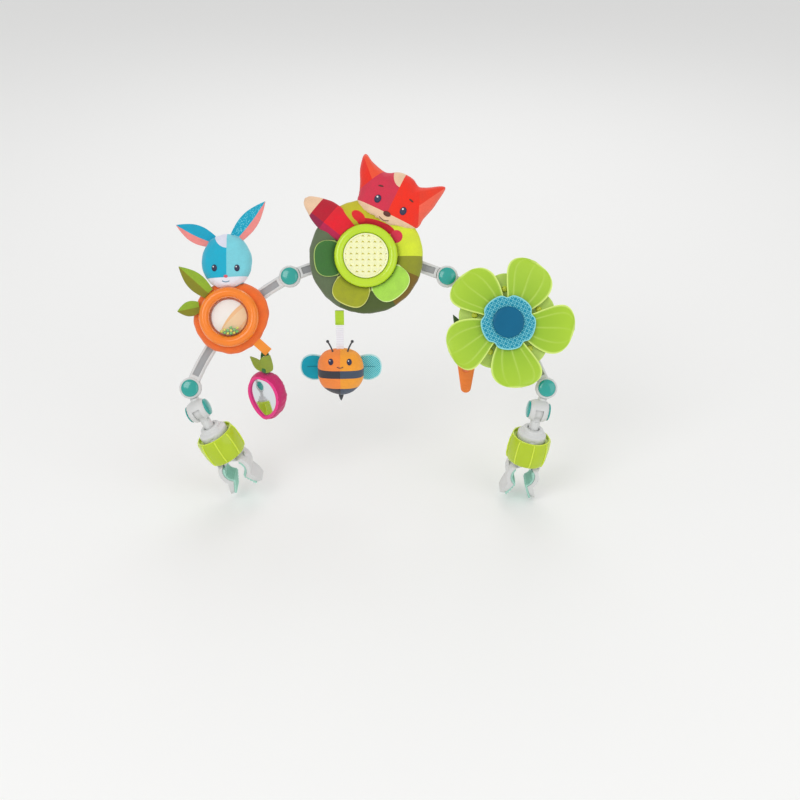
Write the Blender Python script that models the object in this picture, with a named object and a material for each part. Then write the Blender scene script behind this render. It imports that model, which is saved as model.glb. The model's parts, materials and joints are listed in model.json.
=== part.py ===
"""Stroller toy arch: two tube clamps carry a jointed arch with soft, turning and hanging toys.

Metres. +Z is up, +X runs from the left clamp to the right one and -Y faces the viewer.
The origin is the centre of the left tube seat. Each clamp stands on its own leaning
axis, with its tube along Y. The three links of the arch lie in one plane that leans back.
In that plane's frame x runs along the arch, y runs up it and z points to the viewer.
"""

from math import acos, asin, atan2, cos, degrees, pi, radians, sin, sqrt

import bmesh
import bpy
from mathutils import Matrix, Vector

# Fits
SEAT_GAP = 0.0003
RUN_GAP = 0.0003
OVERRUN = 0.004
BITE = 0.0008
WELD = 0.000001
SMOOTH_DEGREES = 40.0

# Facets round a bore, a hub and a large ring
BORE_STEPS = 8
HUB_STEPS = 16
LARGE_STEPS = 22
LINK_STEPS = 7

# Stance of the arch
ARCH_LEAN_DEGREES = 28.0
LEFT_CLAMP_LEAN_DEGREES = 28.0
RIGHT_CLAMP_LEAN_DEGREES = 11.0
TILT_PIN_SPAN = 0.4412
TILT_PIN_HEIGHT = 0.093
ELBOW_SPREAD = 0.0104
ELBOW_RISE = 0.029
SHOULDER_SPAN = 0.204
SHOULDER_RISE = 0.174

# Clamp body, along the clamp's axis from the centre of the tube
TUBE_RADIUS = 0.013
SADDLE_LAND_WIDTH = 0.008
CORE_HALF_WIDTH = 0.0097
CORE_HALF_DEPTH = 0.0125
CORE_CORNER = 0.003
FLANGE_BASE = 0.0472
FLANGE_THICKNESS = 0.0025
FLANGE_RADIUS = 0.0225
TRUNNION_OFFSET = 0.0127
TRUNNION_HEIGHT = 0.044
TRUNNION_RADIUS = 0.0018
TRUNNION_BAR_REACH = 0.0156
TRUNNION_BAR_SETBACK = 0.0002
TRUNNION_BAR_DROP = 0.0038

# Clamp jaws
JAW_THICKNESS = 0.005
JAW_NECK_HALF_WIDTH = 0.009
JAW_PADDLE_HALF_WIDTH = 0.017
JAW_SHOULDER_LOW = 0.012
JAW_SHOULDER_HIGH = 0.0185
JAW_TIP_DEPTH = 0.033
JAW_TIP_REACH = 0.0195
JAW_TIP_THICKNESS = 0.0042
JAW_WRAP_DEGREES = 55.0
JAW_BACK_WRAP_DEGREES = 36.0
JAW_BUMP_RADIUS = 0.0046
JAW_BUMP_HEIGHT = 0.0022
JAW_BUMP_PLACE = 0.0085
CAM_NIB_RADIUS = 0.0202
CAM_NIB_HALF_ANGLE_DEGREES = 17.3
CAM_NIB_BASE = 0.026
CAM_NIB_TOP = 0.034

# Jaw liners
LINER_THICKNESS = 0.003
LINER_HALF_WIDTH = 0.0155
LINER_BACK_DEGREES = 36.0
LINER_TOOTH = 0.0014
LINER_FLARE_SHARE = 0.8
LINER_FIRST_TOOTH_SHARE = 0.42
LINER_ROUND_TEETH = 7
LINER_FLARE_TEETH = 4
# Where a flare tooth starts and peaks in its pitch
LINER_FLARE_TOOTH_SHARES = (0.15, 0.6)

# Twist ring with its cam track
RING_BASE = 0.0195
RING_TOP = 0.0545
RING_RIM_RADIUS = 0.025
RING_BARREL_RADIUS = 0.0268
RING_MOUTH_RADIUS = 0.0232
RING_LIP_THICKNESS = 0.0014
RING_RIB_COUNT = 8
RING_STEPS_PER_RIB = 4
RING_RIB_HEIGHT = 0.0009
# How far in from each rim the barrel is still tapering, and how much of the taper is left there
RING_TAPER_PLACE_SHARE = 0.16
RING_TAPER_LEFT_SHARE = 0.33
CAM_TIGHT_RADIUS = 0.0205
CAM_FREE_RADIUS = 0.0238
RING_TURN_DEGREES = 120.0

# Collar
COLLAR_RADIUS = 0.019
COLLAR_STEP_RADIUS = 0.0138
COLLAR_STEP_HEIGHT = 0.0605
COLLAR_TOP = 0.067
COLLAR_EDGE = 0.0012
COLLAR_BORE_RADIUS = 0.0083
COLLAR_NOTCH_WIDTH = 0.005
COLLAR_NOTCH_HEIGHT = 0.0025
COLLAR_NOTCH_DEPTH = 0.0015
COLLAR_NOTCH_PLACE = 0.0535

# Swivel stem
STEM_FOOT_RADIUS = 0.0105
STEM_FOOT_THICKNESS = 0.0038
STEM_NECK_RADIUS = 0.0066
STEM_TONGUE_RADIUS = 0.011
STEM_TONGUE_HALF_THICKNESS = 0.005
STEM_TONGUE_HALF_DEPTH = 0.0055

# Knuckle: a forked ball for the tilt pin, and a tongue for the elbow
BALL_RADIUS = 0.0145
BALL_HALF_WIDTH = 0.012
BALL_FACE_RADIUS = 0.0113
BALL_EDGE_RADIUS = 0.0131
BALL_EDGE_PLACE = 0.0095
KNUCKLE_NECK_RADIUS = 0.0062
PIN_RADIUS = 0.003

# Hinges of the arch
HUB_RADIUS = 0.014
HUB_HALF_THICKNESS = 0.0078
TONGUE_HALF_THICKNESS = 0.003
TONGUE_SETBACK = 0.0003
CAP_RADIUS = 0.0112
CAP_HEIGHT = 0.0036
CAP_EDGE = 0.001
CAP_CROWN_SHARES = (0.72, 0.78)
CLIP_HEAD_RADIUS = 0.0062
CLIP_HEAD_HEIGHT = 0.0024

# Links of the arch
LINK_WIDTH = 0.015
LINK_HALF_THICKNESS = 0.006
LINK_EDGE = 0.0014
ARM_SAGITTA = 0.018
CENTRE_SAGITTA = 0.0226
RECESS_WIDTH = 0.0088
RECESS_DEPTH = 0.0018
RECESS_CLEARANCE = 0.0035

# Round cushion on the centre link
CUSHION_RISE = 0.0014
CUSHION_SHIFT = -0.0026
CUSHION_RADIUS = 0.0735
CUSHION_THICKNESS = 0.0245
CUSHION_RIM_SHARE = 0.42
# Crowned section: how far in from the rim, how far up from the back
CUSHION_SECTION_SHARES = (
    (0.30, 0.0),
    (0.09, 0.12),
    (0.0, CUSHION_RIM_SHARE),
    (0.07, 0.66),
    (0.24, 0.86),
    (0.52, 0.98),
    (0.78, 1.0),
)
CUSHION_PUCKERS = 9
CUSHION_PUCKER_DEPTH = 0.0007
STRAP_WALL = 0.0015
LINK_STRAP_WIDTH = 0.016
LINK_STRAP_PLACE = 0.049

# Light-up music button
CASE_RADIUS = 0.035
CASE_WALL = 0.002
CASE_LEDGE_WIDTH = 0.003
CASE_LEDGE_RADIUS = CASE_RADIUS - CASE_WALL - CASE_LEDGE_WIDTH
CASE_LEDGE_HEIGHT = 0.015
BEZEL_OVERHANG = 0.0055
BEZEL_RADIUS = CASE_RADIUS + BEZEL_OVERHANG
BEZEL_HEIGHT = 0.0076
BEZEL_SKIRT = 0.0043
BEZEL_SKIRT_WALL = 0.0022
BEZEL_SKIRT_RADIUS = CASE_RADIUS - CASE_WALL - SEAT_GAP
BEZEL_LIP = 0.001
# Rounded top of the bezel: share of its width out from the hole, share of its height
BEZEL_SECTION_SHARES = ((0.0, 0.70), (0.15, 0.93), (0.5, 1.0), (0.84, 0.86), (1.0, 0.46))
LENS_FLANGE_RADIUS = BEZEL_SKIRT_RADIUS - BEZEL_SKIRT_WALL - RUN_GAP
LENS_FLANGE_THICKNESS = 0.002
BEZEL_HOLE_RADIUS = LENS_FLANGE_RADIUS - BEZEL_LIP
LENS_CLEARANCE = 0.00045
LENS_RADIUS = BEZEL_HOLE_RADIUS - LENS_CLEARANCE
LENS_RISE = 0.0052
LENS_EDGE = 0.0016
BOARD_THICKNESS = 0.0016
SWITCH_RADIUS = 0.0045
BUTTON_TRAVEL = 0.002
CELL_RADIUS = 0.0058
CELL_HEIGHT = 0.0054
CELL_COUNT = 3
CELL_GROOVE = 0.0006
DOOR_HALF_WIDTH = 0.015
DOOR_HALF_HEIGHT = 0.0075
DOOR_INSET = 0.0105
DOOR_DROP = CASE_LEDGE_RADIUS - DOOR_INSET

# Felt leaves on the cushion
FELT = 0.0016
LEAF_BEZEL_GAP = 0.001
LEAF_RADIAL_START = BEZEL_RADIUS + LEAF_BEZEL_GAP
LEAF_LIFT = 0.00105
DISC_LEAF_ANGLES_DEGREES = (184.0, 247.0, 312.0)
DISC_LEAF_HALF_SPANS_DEGREES = (30.5, 30.5, 33.0)
DISC_LEAF_REACHES = (0.0665, 0.068, 0.067)
DISC_LEAF_COLUMNS = 8
DISC_LEAF_ROWS = 5
DISC_LEAF_CORNER_SHARE = 0.12

# Fox head and tail
FOX_PLACE = (0.0314, 0.064)
FOX_TURN_DEGREES = -26.0
FOX_WIDTH = 0.115
FOX_HEIGHT = 0.081
FOX_FRONT = 0.016
FOX_BACK = 0.011
FOX_STAND = 0.0215
TAIL_LENGTH = 0.076
TAIL_WIDTH = 0.039
TAIL_THICKNESS = 0.016
TAIL_START = (-0.020, 0.025)
TAIL_AIM_DEGREES = 140.0
TAIL_STAND = 0.0265
TAIL_BEND = 0.0016
TAIL_SIDES = 12
# Fullness of the tail along its length
TAIL_SHARES = ((0.0, 0.66), (0.2, 0.86), (0.42, 1.0), (0.62, 0.92), (0.8, 0.64), (0.93, 0.34), (1.0, 0.10))

# Bee on its ribbon
BEE_HANG_SIDE = -0.0345
BEE_TAB_LENGTH = 0.02
BEE_TAB_WIDTH = 0.0114
BEE_RIBBON_LENGTH = 0.0345
BEE_RIBBON_WIDTH = 0.0095
RIBBON = 0.0012
BEE_WIDTH = 0.0587
BEE_HEIGHT = 0.069
BEE_DEPTH = 0.034
BEE_STING_LENGTH = 0.011
BEE_STING_RADIUS = 0.0035
BEE_WING_SPAN = 0.108
BEE_WING_HEIGHT = 0.037
BEE_WING_DROP = 0.036
BEE_FEELER_RADIUS = 0.0016
BEE_FEELER_LENGTH = 0.014
BEE_FEELER_SPREAD = 0.0115
BEE_FEELER_DEPTH = 0.0035
BEE_SIDES = 16
# Fullness of the body from its crown down
BEE_SHARES = (
    (0.03, 0.34),
    (0.10, 0.62),
    (0.24, 0.88),
    (0.42, 1.0),
    (0.60, 0.96),
    (0.76, 0.78),
    (0.89, 0.50),
    (0.97, 0.20),
)
# Along a feeler: how far out it has leaned, how thick it is
FEELER_SHARES = ((0.0, 0.55, 1.3), (0.35, 0.71, 1.12), (0.7, 0.87, 0.95), (1.0, 1.0, 0.8))

# Round rattle on the left arm
RATTLE_SHIFT = (0.0015, 0.0065)
POUCH_RADIUS = 0.047
POUCH_THICKNESS = 0.0145
POUCH_BULGE = 0.005
POUCH_BULGE_DEGREES = 28.0
RATTLE_RADIUS = 0.0385
RATTLE_HOLE_RADIUS = 0.025
RATTLE_HEIGHT = 0.0145
WINDOW_WALL = 0.0015
WINDOW_HEIGHT = 0.0105
WINDOW_FLANGE = 0.0018
BEAD_RADIUS = 0.0021
BEAD_SPACING = 0.0075
RATTLE_LOOP_LENGTH = 0.03
TAB_LENGTH = 0.0205
TAB_WIDTH = 0.012
TAB_THICKNESS = 0.0026
TAB_TURN_DEGREES = -42.0
TAB_ROOT = 0.0402
# Across the pouch: share of the outline, height from the seam as a share of the crown
POUCH_SECTION_SHARES = ((0.80, -1.0), (0.95, -0.72), (1.0, 0.0), (0.95, 0.66), (0.82, 1.0))
RING_SIDE_SHARE = 0.45
RING_STEP_SHARE = 0.4

# Rabbit head above the rattle
RABBIT_PLACE = (-0.0035, 0.071)
RABBIT_WIDTH = 0.0645
RABBIT_HEIGHT = 0.073
RABBIT_FRONT = 0.014
RABBIT_BACK = 0.0095
RABBIT_STAND = 0.017
EAR_LENGTHS = (0.052, 0.062)
EAR_WIDTH = 0.0235
EAR_THICKNESS = 0.003
EAR_ROOT_SHARES = (-0.27, 0.16)
EAR_AIM_DEGREES = (156.0, 51.0)
EAR_LEAN = 0.004
EAR_ROOT_SINK_SHARE = 0.86
RABBIT_CHIN_SHARE = 0.07
RATTLE_LEAF_LENGTHS = (0.051, 0.0285)
RATTLE_LEAF_WIDTHS = (0.023, 0.020)
RATTLE_LEAF_AIM_DEGREES = (138.0, 192.0)
RATTLE_LEAF_PLACES_DEGREES = (131.0, 161.0)

# Radish with its mirror
RADISH_STRAP_LENGTH = 0.014
RADISH_STRAP_WIDTH = 0.008
RADISH_WIDTH = 0.056
RADISH_HEIGHT = 0.068
RADISH_THICKNESS = 0.021
RADISH_YAW_DEGREES = -34.0
MIRROR_SHARE = 0.78
MIRROR_THICKNESS = 0.0016
MIRROR_SINK = 0.0025
RADISH_LEAF_LENGTHS = (0.025, 0.030, 0.027)
RADISH_LEAF_WIDTHS = (0.014, 0.013, 0.021)
RADISH_LEAF_AIM_DEGREES = (146.0, 108.0, 66.0)
RADISH_LEAF_STAND_SHARES = (0.35, -0.75, 0.55)
TUFT_RADIUS = 0.0065
TUFT_HEIGHT = 0.006
TUFT_CROWN = 0.002
TUFT_LEAF_DEPTH = 0.0048
TUFT_SIDES = 8
# Across the padding: share of the outline, height from the middle as a share of the thickness
RADISH_SECTION_SHARES = ((0.84, -0.5), (0.97, -0.36), (1.0, -0.1), (0.98, 0.2), (0.92, 0.42), (0.86, 0.5))

# Carrot teether on its strap
CARROT_HINGE_FROM_SHOULDER = 0.0275
CARROT_STRAP_WIDTH = 0.011
CARROT_STRAP_DROP = 0.03
CARROT_CAP_WIDTH = 0.033
CARROT_CAP_HEIGHT = 0.017
CARROT_LENGTH = 0.062
CARROT_TIP_WIDTH = 0.014
CARROT_THICKNESS = 0.0115
CARROT_EDGE = 0.0018
CARROT_WALL = 0.0068
CARROT_RIDGE = 0.0011
CARROT_RIDGE_COUNT = 4
CARROT_RIDGE_PITCH = 0.0036
CARROT_LEAF_LENGTHS = (0.036, 0.042, 0.040, 0.034, 0.026, 0.026)
CARROT_LEAF_WIDTHS = (0.012, 0.013, 0.017, 0.012, 0.013, 0.013)
CARROT_LEAF_AIM_DEGREES = (118.0, 102.0, 84.0, 66.0, 28.0, 150.0)
CARROT_EYE_RADIUS = 0.0035
CARROT_STALK_LENGTH = 0.0413
CARROT_COLLAR_RADIUS = 0.0099
CARROT_HOLE_FOOT = 0.0364
CARROT_HOLE_TIP_RADIUS = 0.005
CARROT_RIDGE_START = 0.0077
CARROT_RIDGE_REACH = 0.0056
# How far each leaf of the tuft stands off its middle plane, in felt thicknesses
CARROT_LEAF_LAYERS = (1.1, 1.1, 2.1, 2.1, 3.1, 3.1)

# Wind flower on the right arm
CLIP_WALL = 0.0024
CLIP_LENGTH = 0.024
CLIP_FIT = 0.0007
CLIP_LIP = 0.0032
BACK_FLOWER_RADIUS = 0.064
BACK_FLOWER_WAIST_SHARE = 0.62
BACK_FLOWER_THICKNESS = 0.0024
FLOWER_STEPS_PER_LOBE = 7
BACK_LOBE_ROUNDNESS = 0.6
BACK_FLOWER_BOSS_RADIUS = 0.0125
BACK_FLOWER_STAND = 0.003
AXLE_RADIUS = 0.004
AXLE_HEAD_RADIUS = 0.0055
AXLE_HEAD_HEIGHT = 0.0014
PETAL_COUNT = 5
PETAL_FIRST_DEGREES = 59.0
FAN_RADIUS = 0.085
FAN_HUB_RADIUS = 0.025
FAN_HUB_THICKNESS = 0.006
FAN_STAND = 0.0052
PETAL_ROOT_RADIUS = 0.018
PETAL_WIDTH = 0.064
PETAL_THICKNESS = 0.0022
PETAL_RIM = 0.0014
PETAL_VEIN = 0.0007
PETAL_PITCH = 0.0035
PETAL_SWEEP = 0.006
TRIM_RADIUS = 0.0355
TRIM_NOTCH = 0.0035
TRIM_NOTCH_SHARPNESS = 6
TRIM_TURN_DEGREES = 56.0
TRIM_THICKNESS = 0.0014
HUB_CAP_RADIUS = 0.020
HUB_CAP_HEIGHT = 0.003
HUB_CAP_EDGE = 0.0012

# Colour, roughness and metallic value of each finish
FINISHES = {
    "pale_grey": ((0.62, 0.63, 0.64), 0.38, 0.0),
    "teal_cap": ((0.02, 0.38, 0.36), 0.25, 0.0),
    "mint_liner": ((0.45, 0.75, 0.66), 0.6, 0.0),
    "lime_plastic": ((0.48, 0.66, 0.02), 0.3, 0.0),
    "leaf_lime": ((0.35, 0.60, 0.03), 0.35, 0.0),
    "pale_lime": ((0.55, 0.72, 0.10), 0.4, 0.0),
    "lens": ((0.92, 0.93, 0.45), 0.15, 0.0),
    "board_green": ((0.02, 0.16, 0.05), 0.5, 0.0),
    "steel": ((0.7, 0.7, 0.68), 0.3, 1.0),
    "olive_cloth": ((0.18, 0.22, 0.05), 0.9, 0.0),
    "dark_felt": ((0.05, 0.14, 0.03), 0.95, 0.0),
    "olive_felt": ((0.30, 0.30, 0.02), 0.95, 0.0),
    "lime_felt": ((0.42, 0.62, 0.08), 0.95, 0.0),
    "red_cloth": ((0.68, 0.04, 0.03), 0.9, 0.0),
    "turquoise_cloth": ((0.03, 0.42, 0.58), 0.9, 0.0),
    "orange_cloth": ((0.85, 0.20, 0.02), 0.9, 0.0),
    "orange_plastic": ((0.90, 0.24, 0.01), 0.3, 0.0),
    "clear": ((0.85, 0.90, 0.90), 0.08, 0.0),
    "bead_green": ((0.20, 0.65, 0.25), 0.25, 0.0),
    "bead_yellow": ((0.85, 0.80, 0.15), 0.25, 0.0),
    "pink_cloth": ((0.68, 0.03, 0.20), 0.9, 0.0),
    "mirror": ((0.85, 0.87, 0.88), 0.05, 1.0),
    "white_webbing": ((0.80, 0.80, 0.80), 0.85, 0.0),
    "teal_print": ((0.05, 0.42, 0.50), 0.5, 0.0),
    "deep_blue": ((0.01, 0.14, 0.30), 0.45, 0.0),
}

UPRIGHT = Matrix.Rotation(pi / 2, 4, "X")
ALONG_X = Matrix.Rotation(pi / 2, 4, "Y")
SIDEWAYS = Matrix(((0, 0, 1, 0), (1, 0, 0, 0), (0, 1, 0, 0), (0, 0, 0, 1)))

# Heights that several pieces share
FLANGE_TOP = FLANGE_BASE + FLANGE_THICKNESS
JAW_INNER_RADIUS = TUBE_RADIUS + LINER_THICKNESS + SEAT_GAP
JAW_OUTER_RADIUS = JAW_INNER_RADIUS + JAW_THICKNESS
LINK_FACE = LINK_HALF_THICKNESS + SEAT_GAP
CUSHION_FACE = LINK_FACE + CUSHION_THICKNESS
BEZEL_BASE = CUSHION_FACE + SEAT_GAP


def clear_scene():
    for thing in list(bpy.data.objects):
        bpy.data.objects.remove(thing)


def finish_of(name):
    """The Principled material of this name, made on first use."""
    if name in bpy.data.materials:
        return bpy.data.materials[name]
    colour, roughness, metallic = FINISHES[name]
    material = bpy.data.materials.new(name)
    material.use_nodes = True
    shader = material.node_tree.nodes["Principled BSDF"]
    shader.inputs["Base Color"].default_value = (*colour, 1.0)
    shader.inputs["Roughness"].default_value = roughness
    shader.inputs["Metallic"].default_value = metallic
    return material


def frame_at(name, parent, matrix):
    """An empty that carries pieces in its own axes."""
    empty = bpy.data.objects.new(name, None)
    bpy.context.collection.objects.link(empty)
    empty.parent = parent
    empty.matrix_local = matrix
    return empty


def piece(name, shape, frame, finish, pivot=(0, 0, 0)):
    """Makes an object of a shape drawn in the frame's axes, with its origin at the pivot."""
    bmesh.ops.translate(shape, vec=-Vector(pivot), verts=shape.verts)
    mesh = bpy.data.meshes.new(name)
    shape.to_mesh(mesh)
    shape.free()
    mesh.shade_smooth()
    mesh.set_sharp_from_angle(angle=radians(SMOOTH_DEGREES))
    made = bpy.data.objects.new(name, mesh)
    bpy.context.collection.objects.link(made)
    made.parent = frame
    made.location = pivot
    if finish:
        mesh.materials.append(finish_of(finish))
    return made


def combine(target, shape, operation):
    """Adds a Boolean of a shape drawn in the target's frame."""
    name = f"{target.name}_{operation.lower()}_{len(target.modifiers)}"
    tool = piece(name, shape, target.parent, None, tuple(target.location))
    tool.hide_render = True
    tool.display_type = "WIRE"
    modifier = target.modifiers.new(name, "BOOLEAN")
    modifier.operation = operation
    modifier.solver = "EXACT"
    modifier.object = tool


def join(target, shape):
    combine(target, shape, "UNION")


def cut(target, shape):
    combine(target, shape, "DIFFERENCE")


def keep(target, shape):
    combine(target, shape, "INTERSECT")


def moved(shape, matrix):
    """The shape carried by the matrix, with its faces pointing out whatever the matrix mirrors."""
    bmesh.ops.transform(shape, matrix=matrix, verts=shape.verts)
    bmesh.ops.recalc_face_normals(shape, faces=shape.faces)
    return shape


def shifted(shape, x=0, y=0, z=0):
    return moved(shape, Matrix.Translation((x, y, z)))


def turned(profile, steps):
    """Spins (radius, height) points about Z; a profile that leaves the axis is a closed loop."""
    shape = bmesh.new()
    points = [shape.verts.new((radius, 0, height)) for radius, height in profile]
    edges = [shape.edges.new(pair) for pair in zip(points, points[1:])]
    if profile[0][0] > 0:
        edges.append(shape.edges.new((points[-1], points[0])))
    bmesh.ops.spin(shape, geom=points + edges, axis=(0, 0, 1), angle=2 * pi, steps=steps, use_merge=True)
    bmesh.ops.remove_doubles(shape, verts=shape.verts, dist=WELD)
    bmesh.ops.recalc_face_normals(shape, faces=shape.faces)
    return shape


def extruded(outline, low, high, edge=0.0):
    """A flat outline pulled from one height to another, its rims bevelled by edge."""
    shape = bmesh.new()
    face = shape.faces.new([shape.verts.new((x, y, low)) for x, y in outline])
    pulled = bmesh.ops.extrude_face_region(shape, geom=[face])["geom"]
    tops = [item for item in pulled if isinstance(item, bmesh.types.BMVert)]
    bmesh.ops.translate(shape, vec=(0, 0, high - low), verts=tops)
    bmesh.ops.recalc_face_normals(shape, faces=shape.faces)
    if edge:
        rims = [line for line in shape.edges if abs(line.verts[0].co.z - line.verts[1].co.z) < WELD]
        bmesh.ops.bevel(shape, geom=rims, offset=edge, segments=1, affect="EDGES", clamp_overlap=True)
    return shape


def rod(radius, low, high, steps=HUB_STEPS, edge=0.0):
    """A round bar along Z whose ends are whole faces."""
    half_step = 180 / steps
    return extruded(arc((0, 0), radius, half_step, 360 - half_step, steps - 1), low, high, edge)


def box(x_range, y_range, z_range):
    (left, right), (near, far), (low, high) = x_range, y_range, z_range
    return extruded(((left, near), (right, near), (right, far), (left, far)), low, high)


def lofted(rings, closed=False):
    """Skins rings of equal count; a closed loft joins its last ring to its first."""
    shape = bmesh.new()
    rows = [[shape.verts.new(point) for point in ring] for ring in rings]
    pairs = list(zip(rows, rows[1:]))
    if closed:
        pairs.append((rows[-1], rows[0]))
    for first, second in pairs:
        for index in range(len(first)):
            shape.faces.new((first[index - 1], first[index], second[index], second[index - 1]))
    if not closed:
        shape.faces.new(rows[0])
        shape.faces.new(rows[-1])
    bmesh.ops.recalc_face_normals(shape, faces=shape.faces)
    return shape


def arc(centre, radius, start_degrees, end_degrees, steps):
    """Points on a circle, both ends included."""
    points = []
    for step in range(steps + 1):
        angle = radians(start_degrees + (end_degrees - start_degrees) * step / steps)
        points.append((centre[0] + radius * cos(angle), centre[1] + radius * sin(angle)))
    return points


def rounded_rectangle(half_width, half_height, corner):
    points = []
    for quarter, (side, up) in enumerate(((1, 1), (-1, 1), (-1, -1), (1, -1))):
        centre = (side * (half_width - corner), up * (half_height - corner))
        points += arc(centre, corner, 90 * quarter, 90 * quarter + 90, 3)
    return points


def smooth_outline(points, steps_per_span):
    """A closed smooth curve through the points."""
    curve = []
    for index in range(len(points)):
        before, start, end, after = (Vector(points[(index + shift) % len(points)]) for shift in (-1, 0, 1, 2))
        for step in range(steps_per_span):
            t = step / steps_per_span
            bend = (end - before) * t + (2 * before - 5 * start + 4 * end - after) * t**2
            bend += (3 * start - before - 3 * end + after) * t**3
            curve.append(tuple(start + bend / 2))
    return curve


# How a stuffed face rises as it runs in from its seam: share of the outline, share of the crown
CROWN_SHARES = ((1.0, 0.0), (0.96, 0.42), (0.80, 0.83), (0.45, 1.0))


def pillow(outline, front, back, centre=(0, 0)):
    """A stuffed shape round a seam in the plane z = 0."""
    rings = []
    for share, crown in reversed(CROWN_SHARES[1:]):
        rings.append(scaled_ring(outline, centre, share, -back * crown))
    for share, crown in CROWN_SHARES:
        rings.append(scaled_ring(outline, centre, share, front * crown))
    return lofted(rings)


def scaled_ring(outline, centre, share, height):
    return [
        (centre[0] + (x - centre[0]) * share, centre[1] + (y - centre[1]) * share, height) for x, y in outline
    ]


# Half width of a leaf along its length, from root to tip
LEAF_SHARES = ((0.0, 0.30), (0.18, 0.72), (0.38, 1.0), (0.60, 0.88), (0.82, 0.46), (1.0, 0.06))


def leaf(length, width, thickness, fold, curl):
    """A felt leaf along +Y, creased down its middle by fold and curled towards +Z at its tip."""
    rings = []
    for along, half_share in LEAF_SHARES:
        half = width / 2 * half_share
        rise = curl * along**2
        lift = fold * half_share
        y = length * along
        rings.append(
            (
                (-half, y, rise + lift),
                (0, y, rise),
                (half, y, rise + lift),
                (half, y, rise + lift + thickness),
                (0, y, rise + thickness),
                (-half, y, rise + lift + thickness),
            )
        )
    return lofted(rings)


def oval_ring(half_width, half_depth, y, sides):
    """An upright oval across Y."""
    angles = [2 * pi * side / sides for side in range(sides)]
    return [(half_width * cos(angle), y, half_depth * sin(angle)) for angle in angles]


def hung_strap(half_width, length, half_thickness):
    """A strap along -Y, its top rounded about the hinge that it swings on along X."""
    outline = arc((0, 0), half_thickness, -90, 90, 4)
    outline += [(-length, half_thickness), (-length, -half_thickness)]
    return moved(extruded(outline, -half_width, half_width), SIDEWAYS)


def aimed(place, aim_degrees, height=0.0):
    """Turns +Y to the aim in the plane and carries it to the place."""
    return Matrix.Translation((*place, height)) @ Matrix.Rotation(radians(aim_degrees - 90), 4, "Z")


# Tube clamp


def clamp_body(frame, side):
    """The core that seats on the tube, the trunnion bars and the flange that holds the ring."""
    skirt = sqrt(TUBE_RADIUS**2 - CORE_HALF_WIDTH**2) - BITE
    outline = rounded_rectangle(CORE_HALF_WIDTH, CORE_HALF_DEPTH, CORE_CORNER)
    body = piece(f"clamp_body_{side}", extruded(outline, skirt, FLANGE_BASE + BITE), frame, "pale_grey")
    join(body, rod(FLANGE_RADIUS, FLANGE_BASE, FLANGE_TOP, LARGE_STEPS))
    bar_near = JAW_NECK_HALF_WIDTH + RUN_GAP
    bar_far = CORE_HALF_DEPTH - TRUNNION_BAR_SETBACK
    bar_heights = (TRUNNION_HEIGHT - TRUNNION_BAR_DROP, FLANGE_BASE + BITE)
    reach = (-TRUNNION_BAR_REACH, TRUNNION_BAR_REACH)
    join(body, box(reach, (bar_near, bar_far), bar_heights))
    join(body, box(reach, (-bar_far, -bar_near), bar_heights))
    for offset in (-TRUNNION_OFFSET, TRUNNION_OFFSET):
        through = CORE_HALF_DEPTH + OVERRUN
        bore = moved(rod(TRUNNION_RADIUS + RUN_GAP, -through, through, BORE_STEPS), UPRIGHT)
        cut(body, shifted(bore, x=offset, z=TRUNNION_HEIGHT))
    cut(body, saddle())


def saddle():
    """The tube's bed: a round seat with a narrow flat land along its top."""
    land = SADDLE_LAND_WIDTH / 2
    edge_degrees = degrees(acos(land / TUBE_RADIUS))
    right = arc((0, 0), TUBE_RADIUS, 0, edge_degrees, 5)
    left = arc((0, 0), TUBE_RADIUS, 180 - edge_degrees, 180, 5)
    outline = right + [(land, TUBE_RADIUS), (-land, TUBE_RADIUS)] + left
    depth = CORE_HALF_DEPTH + OVERRUN
    return moved(extruded(outline, -depth, depth), UPRIGHT)


def jaw_tip():
    """Inner corner of the jaw's flared tip."""
    return Vector((JAW_TIP_REACH, -JAW_TIP_DEPTH))


def jaw_throat(radius):
    """Where the round grip ends and the flare begins, on a circle about the tube."""
    angle = -radians(JAW_WRAP_DEGREES)
    return Vector((radius * cos(angle), radius * sin(angle)))


def jaw_profile():
    """Jaw section across the tube: pivot eye, straight back, round grip and flared tip."""
    back = TRUNNION_OFFSET - JAW_THICKNESS / 2
    front = TRUNNION_OFFSET + JAW_THICKNESS / 2
    start_degrees = degrees(acos(back / JAW_INNER_RADIUS))
    crown = arc((TRUNNION_OFFSET, TRUNNION_HEIGHT), JAW_THICKNESS / 2, 0, 180, 4)
    grip = arc((0, 0), JAW_INNER_RADIUS, start_degrees, -JAW_WRAP_DEGREES, 6)
    tip = jaw_tip()
    outer = arc((0, 0), JAW_OUTER_RADIUS, -JAW_BACK_WRAP_DEGREES, degrees(acos(front / JAW_OUTER_RADIUS)), 5)
    return crown + grip + [tuple(tip), (tip.x + JAW_TIP_THICKNESS, tip.y + JAW_TIP_THICKNESS / 2)] + outer


def paddle_outline():
    """Jaw seen from the side: a narrow neck inside the ring and a wide round-ended paddle."""
    wide = JAW_PADDLE_HALF_WIDTH
    top = TRUNNION_HEIGHT + OVERRUN
    round_end = arc((0, wide - JAW_TIP_DEPTH - OVERRUN / 2), wide, 0, -180, 8)
    right = [(JAW_NECK_HALF_WIDTH, top), (JAW_NECK_HALF_WIDTH, JAW_SHOULDER_HIGH), (wide, JAW_SHOULDER_LOW)]
    return right + round_end + [(-x, y) for x, y in reversed(right)]


def mirrored(shape, side):
    """The shape as drawn for +1, or its mirror image across x = 0 for -1."""
    return moved(shape, Matrix.Diagonal((side, 1, 1, 1)))


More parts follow.
